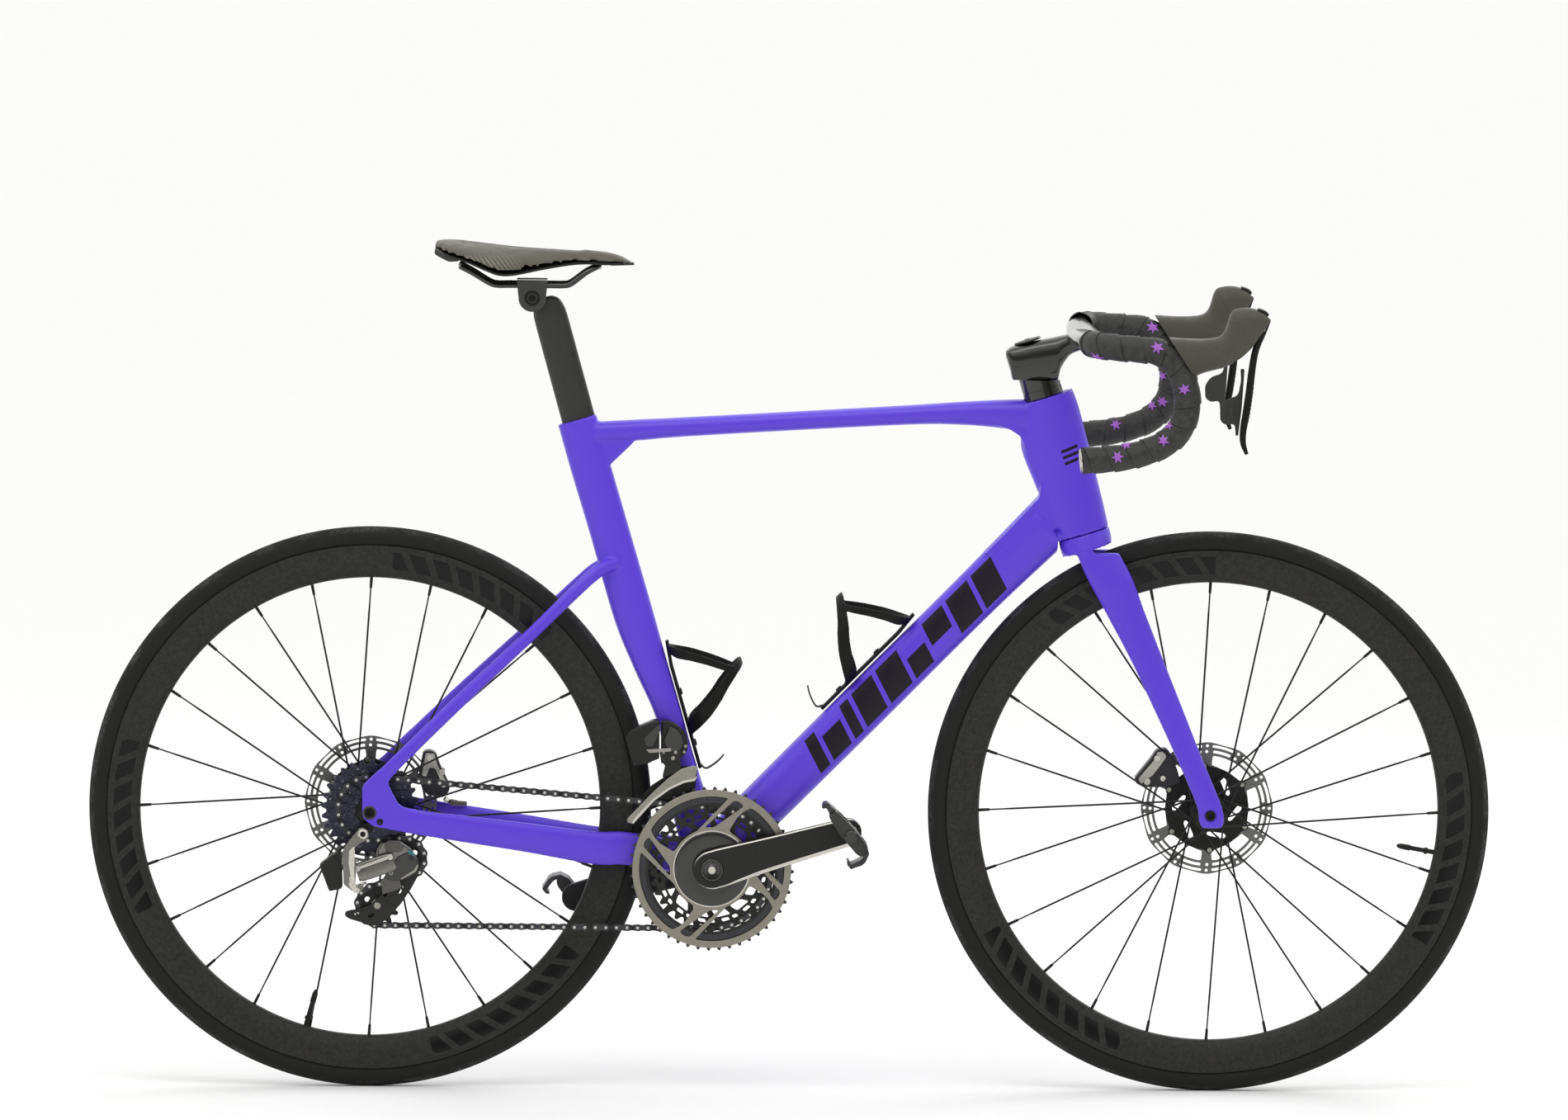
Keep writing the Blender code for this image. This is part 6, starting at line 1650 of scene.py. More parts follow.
def build_pedal(word, side):
    reach = Vector((math.cos(ARM_LIFT), 0, math.sin(ARM_LIFT))) * (-side)
    axle = CRANK_AXIS + reach * 0.1725
    tilt = math.radians(-50 if side < 0 else 128)
    nose = Vector((math.cos(tilt), 0, math.sin(tilt)))
    up = Vector((-nose.z, 0, nose.x)) * (1 if side < 0 else -1)
    low, high = sorted((side * 0.0840, side * 0.1360))

    def at(points):
        return [((axle + nose * u + up * w).x, (axle + nose * u + up * w).z) for u, w in points]

    core = at([(-0.036, 0.0060), (-0.036, -0.0055), (-0.012, -0.0085), (0.020, -0.0085), (0.027, -0.0060),
               (0.028, 0.0040), (0.020, 0.0085), (-0.012, 0.0085)])
    body = mesh_object(word + "_pedal_body", prism(rounded(core, 0.004, 3), low + 0.004, high - 0.003))
    gap = at([(0.010, -0.03), (0.020, -0.03), (0.020, 0.03), (0.010, 0.03)])
    gap_back = at([(-0.031, -0.03), (-0.013, -0.03), (-0.013, 0.03), (-0.031, 0.03)])
    carve(body, prism(rounded(gap, 0.003, 3), low + 0.014, high - 0.012),
          prism(rounded(gap_back, 0.003, 3), low + 0.014, high - 0.012))
    piece(word + "_pedal_body", body, PEDAL.material, word + "_pedal", word + "_pedal",
          bevel=0.001)
    hook_line = at([(0.004, 0.0085), (0.020, 0.0085), (0.0300, 0.0035), (0.0345, -0.0060), (0.0348, -0.0120),
                    (0.0320, -0.0185), (0.0300, -0.0252), (0.0225, -0.0250), (0.0195, -0.0222),
                    (0.0205, -0.0205),
                    (0.0255, -0.0215), (0.0275, -0.0150), (0.0290, -0.0090), (0.0280, -0.0020),
                    (0.0240, 0.0040),
                    (0.0180, 0.0065), (0.004, 0.0068)])
    hook = mesh_object(word + "_pedal_plate", prism(rounded(hook_line, 0.0015, 2), low + 0.002, high - 0.006))
    window = at([(0.008, -0.005), (0.022, -0.005), (0.022, 0.03), (0.008, 0.03)])
    carve(hook, prism(window, low + 0.016, high - 0.020))
    piece(word + "_pedal_plate", hook, DARK_STEEL.material, word + "_pedal", bevel=0.0005)
    claw = at([(-0.034, 0.0030), (-0.046, 0.0050), (-0.0500, 0.0035), (-0.0515, -0.0010), (-0.0490, -0.0050),
               (-0.0465, -0.0045), (-0.0455, -0.0010), (-0.036, -0.0025), (-0.024, -0.0020),
               (-0.024, 0.0050)])
    piece(word + "_pedal_claw", prism(rounded(claw, 0.0015, 2), low + 0.010, high - 0.010),
          DARK_STEEL.material,
          word + "_pedal", bevel=0.0006)
    wing = at([(-0.036, 0.0066), (-0.046, 0.0035), (-0.0495, 0.0000), (-0.046, -0.0010), (-0.036, 0.0015)])
    piece(word + "_pedal_wing", prism(rounded(wing, 0.0012, 2), low + 0.006, high - 0.005), PEDAL.material,
          word + "_pedal", bevel=0.0008)
    pin = [(0.0001, side * 0.0731), (0.0076, side * 0.0731), (0.0076, side * 0.0760), (0.0090, side * 0.0765),
           (0.0090, side * 0.0800), (0.0068, side * 0.0805), (0.0068, side * 0.0860), (0.0001, side * 0.0860)]
    piece(word + "_pedal_axle", turned(pin, axle, 40), SILVER.material, word + "_pedal", angle=25)
    end = [(0.0001, side * 0.1330), (0.0080, side * 0.1330), (0.0078, side * 0.1352), (0.0060, side * 0.1362),
           (0.0001, side * 0.1362)]
    piece(word + "_pedal_cap", turned(end, axle, 40), GLOSS_BLACK.material, word + "_pedal", angle=25)
    spot = axle + nose * 0.0315 - up * 0.0110
    piece(word + "_pedal_screw", screw(Vector((spot.x, 0, spot.z)), 0.0024, side * 0.1292, side * 0.1308, Y),
          STEEL.material, word + "_pedal", angle=25)


def slab(name, outline, low, high, material, body, stands_for=(), corner=0.0012, bevel=0.0006,
         cuts=()):
    return piece(name, prism(rounded(outline, corner, 3), low, high), material.material, body, stands_for,
                 bevel=bevel, cuts=cuts)


def bolt(name, x, z, radius, low, high, material, body, socket=0.55):
    return piece(name, screw(Vector((x, 0, z)), radius, low, high, Y, socket), material.material, body,
                 angle=25)


def build_rear_derailleur():
    fixed = "frame"
    knuckle = [(-0.5208, 0.3170), (-0.5190, 0.3205), (-0.5140, 0.3215), (-0.5075, 0.3180), (-0.5065, 0.3110),
               (-0.5098, 0.3065), (-0.5190, 0.3015), (-0.5235, 0.2960), (-0.5240, 0.2845), (-0.5218, 0.2780),
               (-0.5218, 0.2700), (-0.5225, 0.2540), (-0.5218, 0.2505), (-0.5130, 0.2525), (-0.5125, 0.2480),
               (-0.5170, 0.2440), (-0.5250, 0.2440), (-0.5365, 0.2530), (-0.5372, 0.2700), (-0.5400, 0.2850),
               (-0.5372, 0.2945), (-0.5300, 0.3060)]
    arm = mesh_object("mech_knuckle", prism(rounded(knuckle, 0.002, 3), -0.0890, -0.0757))
    piece("mech_knuckle", arm, KNUCKLE.material, fixed, "rear_derailleur_knuckle", bevel=0.0022)
    pivot, pin_line = Vector((-0.5200, -0.0700, 0.2650)), Vector((-0.32, 0, 0.947)).normalized()
    ears = Shape()
    for low, high in ((-0.0158, -0.0128), (0.0128, 0.0158)):
        ears.join(disc(0.0064, low, high, pivot, 32, pin_line))
    piece("mech_ears", ears, SILVER.material, fixed, bevel=0.0006)
    fold = [(-0.5245, 0.2990), (-0.5235, 0.2940), (-0.5240, 0.2700), (-0.5235, 0.2560), (-0.5275, 0.2560),
            (-0.5310, 0.2790), (-0.5305, 0.2930)]
    slab("mech_rib", fold, -0.0900, -0.0880, SILVER, fixed, corner=0.0012, bevel=0.0007)
    bolt("mech_bolt", -0.5139, 0.3137, 0.0060, -0.0885, -0.0905, SILVER, fixed, 0.60)
    bolt("mech_bolt_socket", -0.5139, 0.3137, 0.0036, -0.0895, -0.0908, SATIN_BLACK, fixed, 0.45)
    battery = [(-0.5660, 0.2765), (-0.5520, 0.2880), (-0.5440, 0.2930), (-0.5405, 0.2900), (-0.5385, 0.2700),
               (-0.5378, 0.2510), (-0.5400, 0.2478), (-0.5540, 0.2450)]
    slab("mech_battery", battery, -0.0950, -0.0700, PLASTIC, fixed, "rear_derailleur_battery",
         0.0022, 0.0018)
    seam = [(-0.5495, 0.2880), (-0.5480, 0.2890), (-0.5400, 0.2800), (-0.5395, 0.2500), (-0.5412, 0.2492),
            (-0.5415, 0.2790)]
    slab("mech_battery_catch", seam, -0.0958, -0.0944, SATIN_BLACK, fixed, corner=0.0006, bevel=0.0003)
    bolt("mech_lower_bolt", -0.5262, 0.2560, 0.0036, -0.0885, -0.0903, SILVER, fixed)
    tab = [(-0.5300, 0.2620), (-0.5230, 0.2620), (-0.5215, 0.2500), (-0.5170, 0.2470), (-0.5185, 0.2420),
           (-0.5240, 0.2425), (-0.5310, 0.2530)]
    slab("mech_tab", tab, -0.0896, -0.0886, SILVER, fixed, corner=0.001, bevel=0.0004)
    start, stop = Vector((-0.5200, -0.0700, 0.2650)), Vector((-0.4770, -0.0625, 0.2790))
    link_axis = Vector((-0.32, 0, 0.947)).normalized()
    heading = (stop - start).normalized()
    broad = (link_axis - heading * link_axis.dot(heading)).normalized()
    flat = heading.cross(broad)
    rows = [ring(start + heading * s, broad, flat, w, 0.0034, 20, 3.5)
            for s, w in ((-0.001, 0.0100), (0.003, 0.0115), (0.012, 0.0120), (0.034, 0.0118), (0.043, 0.0112),
                         (0.046, 0.0095))]
    piece("mech_link", loft(rows), KNUCKLE.material, "derailleur_link", "rear_derailleur_link",
          angle=40)
    strip = [ring(start + heading * s + broad * (0.0055 + 0.02 * s) - Y * 0.0046, broad, flat, 0.0017,
                  0.0010, 12, 3)
             for s in (-0.001, 0.010, 0.044)]
    piece("mech_link_strip", loft(strip), SILVER.material, "derailleur_link", angle=40)
    ends = Shape()
    for s in (0.001, 0.0435):
        spot = start + heading * s + broad * (0.0055 + 0.02 * s) - Y * 0.0044
        ends.join(screw(Vector((spot.x, 0, spot.z)), 0.0036, spot.y, spot.y - 0.0020, Y))
    piece("mech_link_screws", ends, SILVER.material, "derailleur_link", angle=25)
    build_mech_body()
    build_mech_cage()


def build_mech_body():
    moving = "derailleur_body"
    shell = [(-0.4980, 0.2905), (-0.4930, 0.3000), (-0.4860, 0.3035), (-0.4700, 0.3025), (-0.4560, 0.2930),
             (-0.4480, 0.2800), (-0.4475, 0.2700), (-0.4560, 0.2625), (-0.4700, 0.2560), (-0.4785, 0.2580),
             (-0.4860, 0.2700), (-0.4960, 0.2720)]
    slab("mech_body", shell, -0.0570, -0.0420, KNUCKLE, moving, "rear_derailleur_body", 0.003,
         0.0025)
    dark = [(-0.4720, 0.2840), (-0.4580, 0.2900), (-0.4480, 0.2790), (-0.4475, 0.2690), (-0.4570, 0.2600),
            (-0.4720, 0.2545), (-0.4860, 0.2560), (-0.4880, 0.2660), (-0.4800, 0.2720)]
    slab("mech_motor", dark, -0.0592, -0.0568, GLOSS_BLACK, moving, corner=0.003, bevel=0.0012)
    cap = [(-0.4880, 0.2960), (-0.4870, 0.3020), (-0.4700, 0.3015), (-0.4640, 0.2960), (-0.4680, 0.2900),
           (-0.4860, 0.2880)]
    slab("mech_cover", cap, -0.0596, -0.0568, MATTE_STEEL, moving, corner=0.0015, bevel=0.0008)
    tile = [(-0.4925, 0.2560), (-0.4715, 0.2615), (-0.4670, 0.2470), (-0.4720, 0.2440), (-0.4900, 0.2380)]
    slab("mech_tile", tile, -0.0580, -0.0520, MATTE_STEEL, moving, corner=0.0012, bevel=0.0006)
    foot = [(-0.4860, 0.2600), (-0.4700, 0.2640), (-0.4690, 0.2480), (-0.4840, 0.2440)]
    slab("mech_foot", foot, -0.0530, -0.0430, SATIN_BLACK, moving, corner=0.001)
    rib = [(-0.4680, 0.2560), (-0.4500, 0.2660), (-0.4470, 0.2740), (-0.4485, 0.2745), (-0.4530, 0.2675),
           (-0.4680, 0.2580)]
    slab("mech_brace", rib, -0.0604, -0.0590, STEEL, moving, corner=0.0005, bevel=0.0003)
    glint = [(-0.4590, 0.2925), (-0.4540, 0.2895), (-0.4510, 0.2850), (-0.4560, 0.2860), (-0.4600, 0.2890)]
    slab("mech_light", glint, -0.0602, -0.0588, TEAL, moving, corner=0.0008, bevel=0.0003)
    bolt("mech_body_bolt", -0.4800, 0.2640, 0.0026, -0.0575, -0.0596, STEEL, moving)
    bolt("mech_pivot_bolt", -0.4560, 0.2820, 0.0030, -0.0590, -0.0604, DARK_STEEL, moving)


def build_mech_cage():
    moving = "derailleur_cage"
    outline = [(-0.5358, 0.2125), (-0.5340, 0.2155), (-0.5290, 0.2170), (-0.5180, 0.2185), (-0.5050, 0.2235),
               (-0.4950, 0.2320), (-0.4850, 0.2450), (-0.4780, 0.2640), (-0.4740, 0.2820), (-0.4690, 0.2890),
               (-0.4600, 0.2900), (-0.4500, 0.2840), (-0.4450, 0.2740), (-0.4480, 0.2580), (-0.4560, 0.2430),
               (-0.4680, 0.2250), (-0.4820, 0.2090), (-0.4950, 0.1985), (-0.5040, 0.1985), (-0.5120, 0.2010),
               (-0.5290, 0.2060), (-0.5345, 0.2090)]
    cuts = Shape()
    for x, z, a, b, lean in ((-0.5040, 0.2105, 0.0044, 0.0024, 0.45), (-0.4870, 0.2360, 0.0030, 0.0022, 0.9),
                             (-0.4690, 0.2420, 0.0055, 0.0026, 1.1), (-0.5210, 0.2125, 0.0030, 0.0019, 0.2),
                             (-0.4740, 0.2570, 0.0036, 0.0021, 1.2)):
        points = []
        for k in range(16):
            turn = TAU * k / 16
            u, v = a * math.cos(turn), b * math.sin(turn)
            points.append((x + u * math.cos(lean) - v * math.sin(lean),
                           z + u * math.sin(lean) + v * math.cos(lean)))
        cuts.join(prism(points, -0.05, -0.03))
    slab("cage_outer_plate", outline, -0.0402, -0.0378, CAGE_BLACK, moving, "rear_derailleur_cage",
         0.0018, 0.0006, cuts=(cuts,))
    inner = [(-0.5120, 0.2210), (-0.5060, 0.2290), (-0.4860, 0.2600), (-0.4760, 0.2890), (-0.4640, 0.2930),
             (-0.4540, 0.2880), (-0.4530, 0.2760), (-0.4700, 0.2380), (-0.4850, 0.2130), (-0.4960, 0.2090)]
    holes = Shape()
    for x, z, r in ((-0.4740, 0.2600, 0.0045), (-0.4840, 0.2420, 0.0040), (-0.4680, 0.2740, 0.0030)):
        holes.join(disc(r, -0.05, -0.01, Vector((x, 0, z)), 24))
    slab("cage_inner_plate", inner, -0.0286, -0.0273, CAGE_BLACK, moving, corner=0.002, bevel=0.0003,
         cuts=(holes,))
    for word, centre in (("guide", GUIDE), ("tension", TENSION)):
        middle = Vector((centre.x, 0, centre.z))
        piece(word + "_pulley_bolt", screw(middle, 0.0042, -0.0398, -0.0412), STEEL.material, moving,
              angle=25)
        piece(word + "_pulley_pin", disc(0.0028, -0.0385, -0.0280, middle, 20), STEEL.material, moving,
              angle=25)
        wheel = mesh_object(word + "_pulley_wheel", cog(12, 0.0031, -0.0320, 0.0010, middle,
                                                        phased(middle, 12)))
        windows = Shape()
        for k in range(6):
            spot = spin(middle, TAU * k / 6, 0.0140)
            windows.join(disc(0.0033, -0.04, -0.02, Vector((spot.x, 0, spot.z)), 18))
        carve(wheel, windows)
        piece(word + "_pulley_wheel", wheel, PLASTIC.material, word + "_pulley", word + "_pulley",
              bevel=0.0003)
        hub = turned([(0.0031, -0.0336), (0.0075, -0.0334), (0.0078, -0.0328), (0.0078, -0.0312),
                      (0.0075, -0.0306),
                      (0.0031, -0.0304)], middle, 32)
        piece(word + "_pulley_hub", hub, STEEL.material, word + "_pulley", angle=25)


def build_front_derailleur():
    fixed = "frame"
    shell = [(-0.1560, 0.4480), (-0.1490, 0.4490), (-0.1380, 0.4440), (-0.1290, 0.4360), (-0.1240, 0.4260),
             (-0.1235, 0.4170), (-0.1260, 0.4090), (-0.1330, 0.4020), (-0.1400, 0.3960), (-0.1560, 0.3970)]
    slab("shifter_body", shell, -0.0430, -0.0200, PLASTIC, fixed, "front_derailleur_body", 0.002,
         0.0018)
    dome = [(-0.1460, 0.4420), (-0.1370, 0.4380), (-0.1300, 0.4290), (-0.1290, 0.4190), (-0.1350, 0.4110),
            (-0.1480, 0.4120), (-0.1530, 0.4260)]
    slab("shifter_dome", dome, -0.0455, -0.0428, GLOSS_BLACK, fixed, corner=0.003, bevel=0.0012)
    battery = [(-0.1990, 0.4280), (-0.1935, 0.4365), (-0.1640, 0.4495), (-0.1580, 0.4480), (-0.1580, 0.4030),
               (-0.1660, 0.4000), (-0.1700, 0.3975), (-0.1885, 0.3935)]
    slab("shifter_battery", battery, -0.0480, -0.0210, PLASTIC, fixed, "front_derailleur_battery",
         0.002, 0.0018)
    facet = [(-0.1760, 0.4280), (-0.1590, 0.4450), (-0.1570, 0.4380), (-0.1660, 0.4180), (-0.1740, 0.4180)]
    slab("shifter_facet", facet, -0.0490, -0.0478, GLOSS_BLACK, fixed, corner=0.001, bevel=0.0005)
    catch = [(-0.1740, 0.4140), (-0.1440, 0.4160), (-0.1440, 0.4120), (-0.1700, 0.4100)]
    slab("shifter_catch", catch, -0.0486, -0.0440, STEEL, fixed, corner=0.001, bevel=0.0005)
    lug = [(-0.1580, 0.4120), (-0.1320, 0.4120), (-0.1330, 0.3990), (-0.1380, 0.3930), (-0.1500, 0.3930),
           (-0.1560, 0.4000)]
    slab("shifter_lug", lug, -0.0452, -0.0400, MATTE_METAL, fixed, corner=0.0015, bevel=0.0008)
    for k, (x, z, r) in enumerate(((-0.1385, 0.4105, 0.0022), (-0.1415, 0.4035, 0.0026),
                                   (-0.1265, 0.4180, 0.0020),
                                   (-0.1280, 0.4110, 0.0018), (-0.1530, 0.4100, 0.0016),
                                   (-0.1460, 0.3960, 0.0018))):
        bolt(f"shifter_bolt_{k}", x, z, r, -0.0448, -0.0462, STEEL, fixed)
    moving = "front_derailleur_cage"
    outer = [(-0.1115, 0.3935), (-0.1170, 0.3950), (-0.1320, 0.3905), (-0.1480, 0.3790), (-0.1670, 0.3610),
             (-0.1830, 0.3440), (-0.1965, 0.3300), (-0.1960, 0.3255), (-0.1890, 0.3240), (-0.1800, 0.3340),
             (-0.1640, 0.3520), (-0.1450, 0.3660), (-0.1280, 0.3740), (-0.1150, 0.3765)]
    slab("shifter_cage_outer", outer, -0.0471, -0.0455, CAGE_SILVER, moving, "front_derailleur_cage",
         0.002, 0.0005)
    lip = [(-0.1115, 0.3830), (-0.1150, 0.3765), (-0.1280, 0.3740), (-0.1450, 0.3660), (-0.1640, 0.3520),
           (-0.1800, 0.3340), (-0.1890, 0.3240), (-0.1912, 0.3262), (-0.1820, 0.3370), (-0.1655, 0.3545),
           (-0.1460, 0.3685), (-0.1285, 0.3768), (-0.1160, 0.3793)]
    slab("shifter_cage_lip", lip, -0.0479, -0.0469, SILVER, moving, corner=0.0006, bevel=0.0003)
    inner = [(-0.1115, 0.3935), (-0.1320, 0.3930), (-0.1670, 0.3700), (-0.1850, 0.3500), (-0.1700, 0.3390),
             (-0.1450, 0.3500), (-0.1150, 0.3600)]
    slab("shifter_cage_inner", inner, -0.0376, -0.0362, SATIN_BLACK, moving, corner=0.002, bevel=0.0004)
    bridge = [(-0.1540, 0.3800), (-0.1320, 0.3880), (-0.1320, 0.3985), (-0.1500, 0.3985)]
    slab("shifter_bridge", bridge, -0.0462, -0.0300, MATTE_METAL, moving, corner=0.001, bevel=0.0006)
    bolt("shifter_cage_bolt", -0.1915, 0.3275, 0.0022, -0.0469, -0.0482, STEEL, moving)
    bolt("shifter_cage_screw", -0.1190, 0.3890, 0.0020, -0.0469, -0.0480, STEEL, moving)


def build_drivetrain():
    build_chain()
    build_cassette()
    build_rings()
    for side, word in ((-1, "right"), (1, "left")):
        build_arm(side, word)
        build_pedal(word, side)
    build_rear_derailleur()
    build_front_derailleur()


def cog_material():
    """Blue-black hard coating, worn to bright metal in scattered patches."""
    m = Nodes("cassette_steel", (0.030, 0.030, 0.042), 0.26, 0.9)
    turn, far, across = polar(m, REAR_AXLE)
    scuff = m.noise(500, 6)
    tone = m.mix(m.remap(scuff, 0.35, 0.7, 0, 1), (0.018, 0.018, 0.030), (0.070, 0.072, 0.100))
    wear = m.remap(m.noise(160, 5), 0.60, 0.72, 0.0, 0.7)
    m.link(m.mix(wear, tone, (0.30, 0.30, 0.32)), "Base Color")
    m.gloss(scuff, 0.3, 0.7, 0.10)
    m.bump(m.noise(1400, 4), 0.00004)
    return m


COG_STEEL = cog_material()
CHAIN_PLATE = plain("chain_plate", (0.060, 0.060, 0.064), 0.32, 0.9, grain=900, spread=0.4, relief=0.00003)
CHAIN_DARK = plain("chain_inner", (0.030, 0.030, 0.032), 0.36, 0.9, grain=900, spread=0.4, relief=0.00003)
CHAIN_PIN = plain("chain_pin", (0.55, 0.54, 0.50), 0.25, 1.0, grain=900, spread=0.1, relief=0.00002)
MATTE_METAL = plain("blasted_black", (0.014, 0.014, 0.012), 0.45, 0.3, grain=2600, spread=0.25,
                    relief=0.00004)
ARM_BLACK = plain("arm_black", (0.0125, 0.0125, 0.0115), 0.48, 0.0, grain=2200, spread=0.2, relief=0.00003,
                  specular=0.3)
PEDAL = plain("pedal_composite", (0.024, 0.024, 0.021), 0.40, grain=1800, spread=0.25, relief=0.00005)
KNUCKLE = plain("grey_bright_alloy", (0.20, 0.195, 0.175), 0.26, 1.0, grain=800, spread=0.15, relief=0.00002)
MATTE_STEEL = plain("grey_cast", (0.115, 0.11, 0.10), 0.38, 0.6, grain=1600, spread=0.2, relief=0.00004)
CAGE_BLACK = plain("cage_black", (0.013, 0.013, 0.012), 0.30, 0.3, grain=2000, spread=0.2, relief=0.00002)
CAGE_SILVER = plain("cage_alloy", (0.30, 0.29, 0.25), 0.25, 1.0, grain=900, spread=0.12, relief=0.00002,
                    stretch=(1, 4, 1))
TEAL = plain("teal_print", (0.010, 0.19, 0.17), 0.25, grain=900, spread=0.2, relief=0.00001)


# ------------------------------------------------------------ bottle cages, axles and small frame fittings
def strap(path, broad_axis, widths, thick, sides=14, power=3.0):
    """A flat band along a path, broad along one axis."""
    count = 40
    rows = curve_through([(*p, w) for p, w in zip(path, widths)], count)
    points = [Vector(r[:3]) for r in rows]
    rings = []
    for p, d, r in zip(points, headings(points), rows):
        broad = (broad_axis - d * broad_axis.dot(d)).normalized()
        rings.append(ring(p, broad, d.cross(broad), r[3], thick, sides, power))
    return loft(rings)


def build_cage(name, foot, along, out):
    """A side-arm cage: a spine on the tube, two straps that wrap the bottle and a wire toe."""
    def at(u, y, w):
        return foot + along * u + out * w + Y * y

    bands = Shape()
    for side in (-1, 1):
        lower = [(0.044, 0.003, 0.0030), (0.052, 0.014, 0.0055), (0.058, 0.026, 0.0130),
                 (0.066, 0.0370, 0.0270),
                 (0.078, 0.0395, 0.0430), (0.091, 0.0375, 0.0570), (0.103, 0.0290, 0.0720),
                 (0.110, 0.0160, 0.0820),
                 (0.112, 0.0, 0.0850)]
        upper = [(0.150, 0.002, 0.0040), (0.148, 0.013, 0.0070), (0.143, 0.026, 0.0140),
                 (0.135, 0.0370, 0.0300),
                 (0.124, 0.0385, 0.0480), (0.113, 0.0360, 0.0640), (0.106, 0.0270, 0.0750)]
        bands.join(strap([at(u, y * side, w) for u, y, w in lower], along,
                         (0.0055, 0.0085, 0.0095, 0.0082, 0.0070, 0.0064, 0.0060, 0.0055, 0.0052), 0.00155))
        bands.join(strap([at(u, y * side, w) for u, y, w in upper], along,
                         (0.0045, 0.0060, 0.0064, 0.0052, 0.0046, 0.0044, 0.0040), 0.00150))
    spine = [(0.0, 0.0070), (0.02, 0.0078), (0.05, 0.0090), (0.13, 0.0090), (0.150, 0.0075), (0.160, 0.0050)]
    bands.join(loft([ring(at(u, 0, 0.0026 + 0.003 * max(0.0, u - 0.13) / 0.03), out, Y, 0.0022, half, 24, 4)
                     for u, half in spine]))
    cage = mesh_object(name + "_shell", bands)
    remesh(cage, 0.00090, 3)
    slots = Shape()
    for u in (0.032, 0.096):
        ends = [at(u - 0.006, 0, 0.0), at(u + 0.006, 0, 0.0)]
        rows = []
        for height in (-0.004, 0.012):
            loop = []
            for centre, begin in ((ends[1], -math.pi / 2), (ends[0], math.pi / 2)):
                for k in range(9):
                    turn = begin + math.pi * k / 8
                    spoke = along * math.cos(turn) + Y * math.sin(turn)
                    loop.append(centre + spoke * 0.0028 + out * height)
            rows.append(loop)
        slots.join(loft(rows))
    carve(cage, slots)
    piece(name + "_shell", cage, MATTE_CARBON.material, "frame", name, angle=50)
    wire = curve_through([tuple(at(u, y, w)) for u, y, w in ((0.004, -0.004, 0.0045),
                                                             (-0.002, -0.004, 0.0090),
                                                             (0.000, -0.004, 0.0190), (0.004, -0.003, 0.0280),
                                                             (0.008, 0.0, 0.0340), (0.004, 0.003, 0.0280),
                                                             (0.000, 0.004, 0.0190), (-0.002, 0.004, 0.0090),
                                                             (0.004, 0.004, 0.0045))], 60)
    piece(name + "_wire", tube([Vector(p) for p in wire], 0.0010, 10), DARK_STEEL.material, "frame", angle=40)
    heads = Shape()
    for u in (0.032, 0.096):
        heads.join(screw(at(u, 0, 0), 0.0042, 0.0040, 0.0068, out, 0.5))
    piece(name + "_bolts", heads, SATIN_BLACK.material, "frame", angle=25)


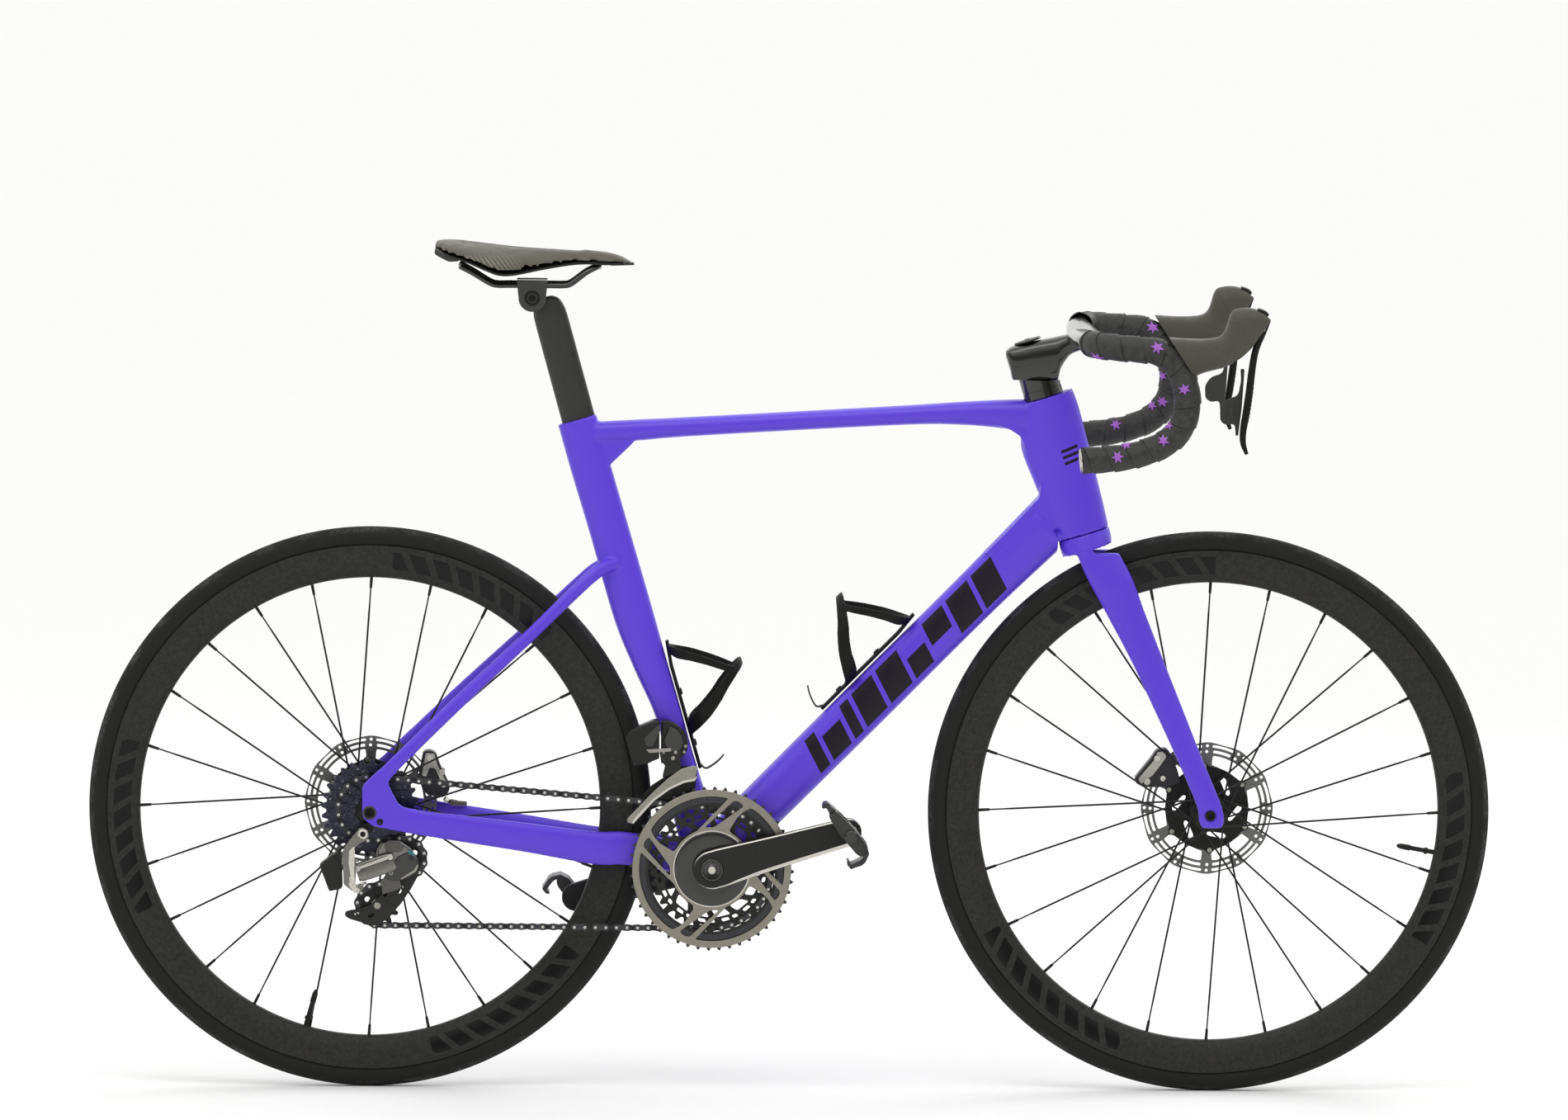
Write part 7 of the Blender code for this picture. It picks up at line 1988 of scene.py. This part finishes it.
def build_fittings():
    build_cage("bottle_cage_down_tube", Vector((0.0395, 0, 0.4585)), Vector((0.7037, 0, 0.7105)),
               Vector((-0.7105, 0, 0.7037)))
    build_cage("bottle_cage_seat_tube", Vector((-0.1105, 0, 0.3870)), Vector((-0.2778, 0, 0.9606)),
               Vector((0.9606, 0, 0.2778)))
    for word, axle, low, high in (("front", FRONT_AXLE, -0.0618, 0.0618),
                                  ("rear", REAR_AXLE, -0.0830, 0.0790)):
        rod = [(0.0001, low), (0.0056, low), (0.0059, low + 0.0004), (0.0059, high - 0.0004), (0.0056, high),
               (0.0040, high), (0.0036, high - 0.0005), (0.0036, high - 0.0080), (0.0001, high - 0.0080)]
        rod = [(0.0001, low + 0.0060), (0.0036, low + 0.0060), (0.0038, low)] + rod[1:]
        piece(word + "_axle_rod", turned(rod, axle, 48), SATIN_BLACK.material,
              "frame" if word == "rear" else "cockpit", word + "_thru_axle", angle=25)
    ring_face = [(0.0062, -0.0842), (0.0082, -0.0842), (0.0085, -0.0839), (0.0085, -0.0832),
                 (0.0062, -0.0832)]
    piece("rear_axle_socket", turned(ring_face, REAR_AXLE, 48), GLOSS_BLACK.material, "frame", angle=25)
    bolt("dropout_bolt", -0.4935, 0.3282, 0.0040, -0.0832, -0.0848, SATIN_BLACK, "frame")
    hanger = [(-0.5020, 0.3280), (-0.5140, 0.3380), (-0.5165, 0.3445), (-0.5060, 0.3520), (-0.4940, 0.3430),
              (-0.4960, 0.3330), (-0.4990, 0.3250), (-0.5065, 0.3105), (-0.5165, 0.3060), (-0.5215, 0.3150),
              (-0.5150, 0.3235)]
    plate_mesh = mesh_object("hanger_plate", prism(rounded(hanger, 0.0025, 4), -0.0752, -0.0713))
    carve(plate_mesh, disc(0.0063, -0.1, 0.0, REAR_AXLE, 40))
    piece("hanger_plate", plate_mesh, SATIN_BLACK.material, "frame", "derailleur_hanger",
          bevel=0.0005)
    cups = [(0.0222, -0.0432), (0.0258, -0.0433), (0.0262, -0.0436), (0.0262, -0.0443), (0.0258, -0.0446),
            (0.0155, -0.0446), (0.0150, -0.0441), (0.0150, 0.0441), (0.0155, 0.0446), (0.0258, 0.0446),
            (0.0262, 0.0443), (0.0262, 0.0436), (0.0258, 0.0433), (0.0222, 0.0432)]
    piece("bottom_bracket_cups", turned(cups, CRANK_AXIS, 96), SATIN_BLACK.material, "frame",
          "bottom_bracket",
          angle=25)
    for name, low, high, outer, inner in (("lower", 0.0008, 0.0080, 0.0260, 0.0194),
                                          ("upper", HEAD_LENGTH - 0.0080, HEAD_LENGTH - 0.0008, 0.0209,
                                           0.0147)):
        seal = [(outer, low + 0.0006), (outer, high - 0.0006), (outer - 0.0006, high), (inner + 0.0006, high),
                (inner, high - 0.0006), (inner, low + 0.0006), (inner + 0.0006, low), (outer - 0.0006, low)]
        piece("headset_" + name, turned(seal, STEER_BASE, 72, STEER_UP), STEEL.material, "frame",
              f"headset_{name}_bearing", angle=25)


# ------------------------------------------------------------ stage
def set_stage():
    half = 160.0
    floor = mesh_object("studio_floor", Shape().add([(-half, -half, 0), (half, -half, 0), (half, half, 0),
                                                     (-half, half, 0)], [(0, 1, 2, 3)]))
    paper = plain("pale_paper", (0.86, 0.86, 0.855), 0.9, grain=40, spread=0.01, relief=0.0001, specular=0.05)
    floor.data.materials.append(paper.material)
    world = bpy.data.worlds.new("studio")
    STUDIO.world = world
    world.use_nodes = True
    nodes, links = world.node_tree.nodes, world.node_tree.links
    sky = nodes["Background"]
    place = nodes.new("ShaderNodeTexCoord")
    split = nodes.new("ShaderNodeSeparateXYZ")
    links.new(place.outputs["Generated"], split.inputs[0])
    height, side = nodes.new("ShaderNodeMapRange"), nodes.new("ShaderNodeMapRange")
    for made, source, values in ((height, 2, SKY_HEIGHT), (side, 1, SKY_SIDE)):
        links.new(split.outputs[source], made.inputs["Value"])
        for socket, value in zip(("From Min", "From Max", "To Min", "To Max"), values):
            made.inputs[socket].default_value = value
    brightest = nodes.new("ShaderNodeMath")
    brightest.operation = "MAXIMUM"
    links.new(height.outputs[0], brightest.inputs[0])
    links.new(side.outputs[0], brightest.inputs[1])
    links.new(brightest.outputs[0], sky.inputs[1])
    sky.inputs[0].default_value = (1.0, 1.0, 0.995, 1)
    for name, place, size, power, aim in LAMPS:
        light = bpy.data.lights.new(name, "AREA")
        light.shape = "RECTANGLE"
        light.size, light.size_y = size
        light.energy = power
        lamp = bpy.data.objects.new(name, light)
        lamp.location = place
        lamp.rotation_mode = "QUATERNION"
        lamp.rotation_quaternion = (Vector(aim) - Vector(place)).to_track_quat("-Z", "Y")
        STUDIO.collection.objects.link(lamp)
    STUDIO.view_settings.view_transform = "Standard"
    STUDIO.view_settings.look = "None"


SKY_HEIGHT = (0.10, 0.50, 0.0, 1.22)       # the ceiling of the studio is its main light
SKY_SIDE = (-0.5, 0.4, 0.22, 0.96)         # dim towards the riders' right, pale behind the bicycle
LAMPS = (("top_light", (-0.6, -1.6, 3.6), (2.5, 1.2), 22.0, (0, 0, 0.4)),
         ("rim_light", (1.8, 3.0, 2.6), (2.0, 1.5), 26.0, (0, 0, 0.5)))


def set_camera():
    data = bpy.data.cameras.new("camera")
    camera = bpy.data.objects.new("camera", data)
    STUDIO.collection.objects.link(camera)
    yaw, pitch, roll = (math.radians(a) for a in CAMERA_TURN)
    forward = Vector((math.sin(yaw) * math.cos(pitch), math.cos(yaw) * math.cos(pitch), math.sin(pitch)))
    level = Vector((math.cos(yaw), -math.sin(yaw), 0))
    upright = level.cross(forward)
    right = level * math.cos(roll) + upright * math.sin(roll)
    up = upright * math.cos(roll) - level * math.sin(roll)
    turn = Matrix((right, up, -forward)).transposed()
    camera.matrix_world = Matrix.Translation(CAMERA_PLACE) @ turn.to_4x4()
    data.sensor_width = 36.0
    data.lens = CAMERA_LENS
    data.clip_end = 400.0
    STUDIO.camera = camera


CAMERA_PLACE = Vector((-0.3278, -18.0002, 2.0829))
CAMERA_TURN = (1.015, -4.582, 0.438)
CAMERA_LENS = 36.0 * 18147.4 / 1900

build_frame_and_fork()
build_cockpit()
build_seat()
build_wheels()
build_brakes()
build_drivetrain()
build_fittings()
set_stage()
set_camera()
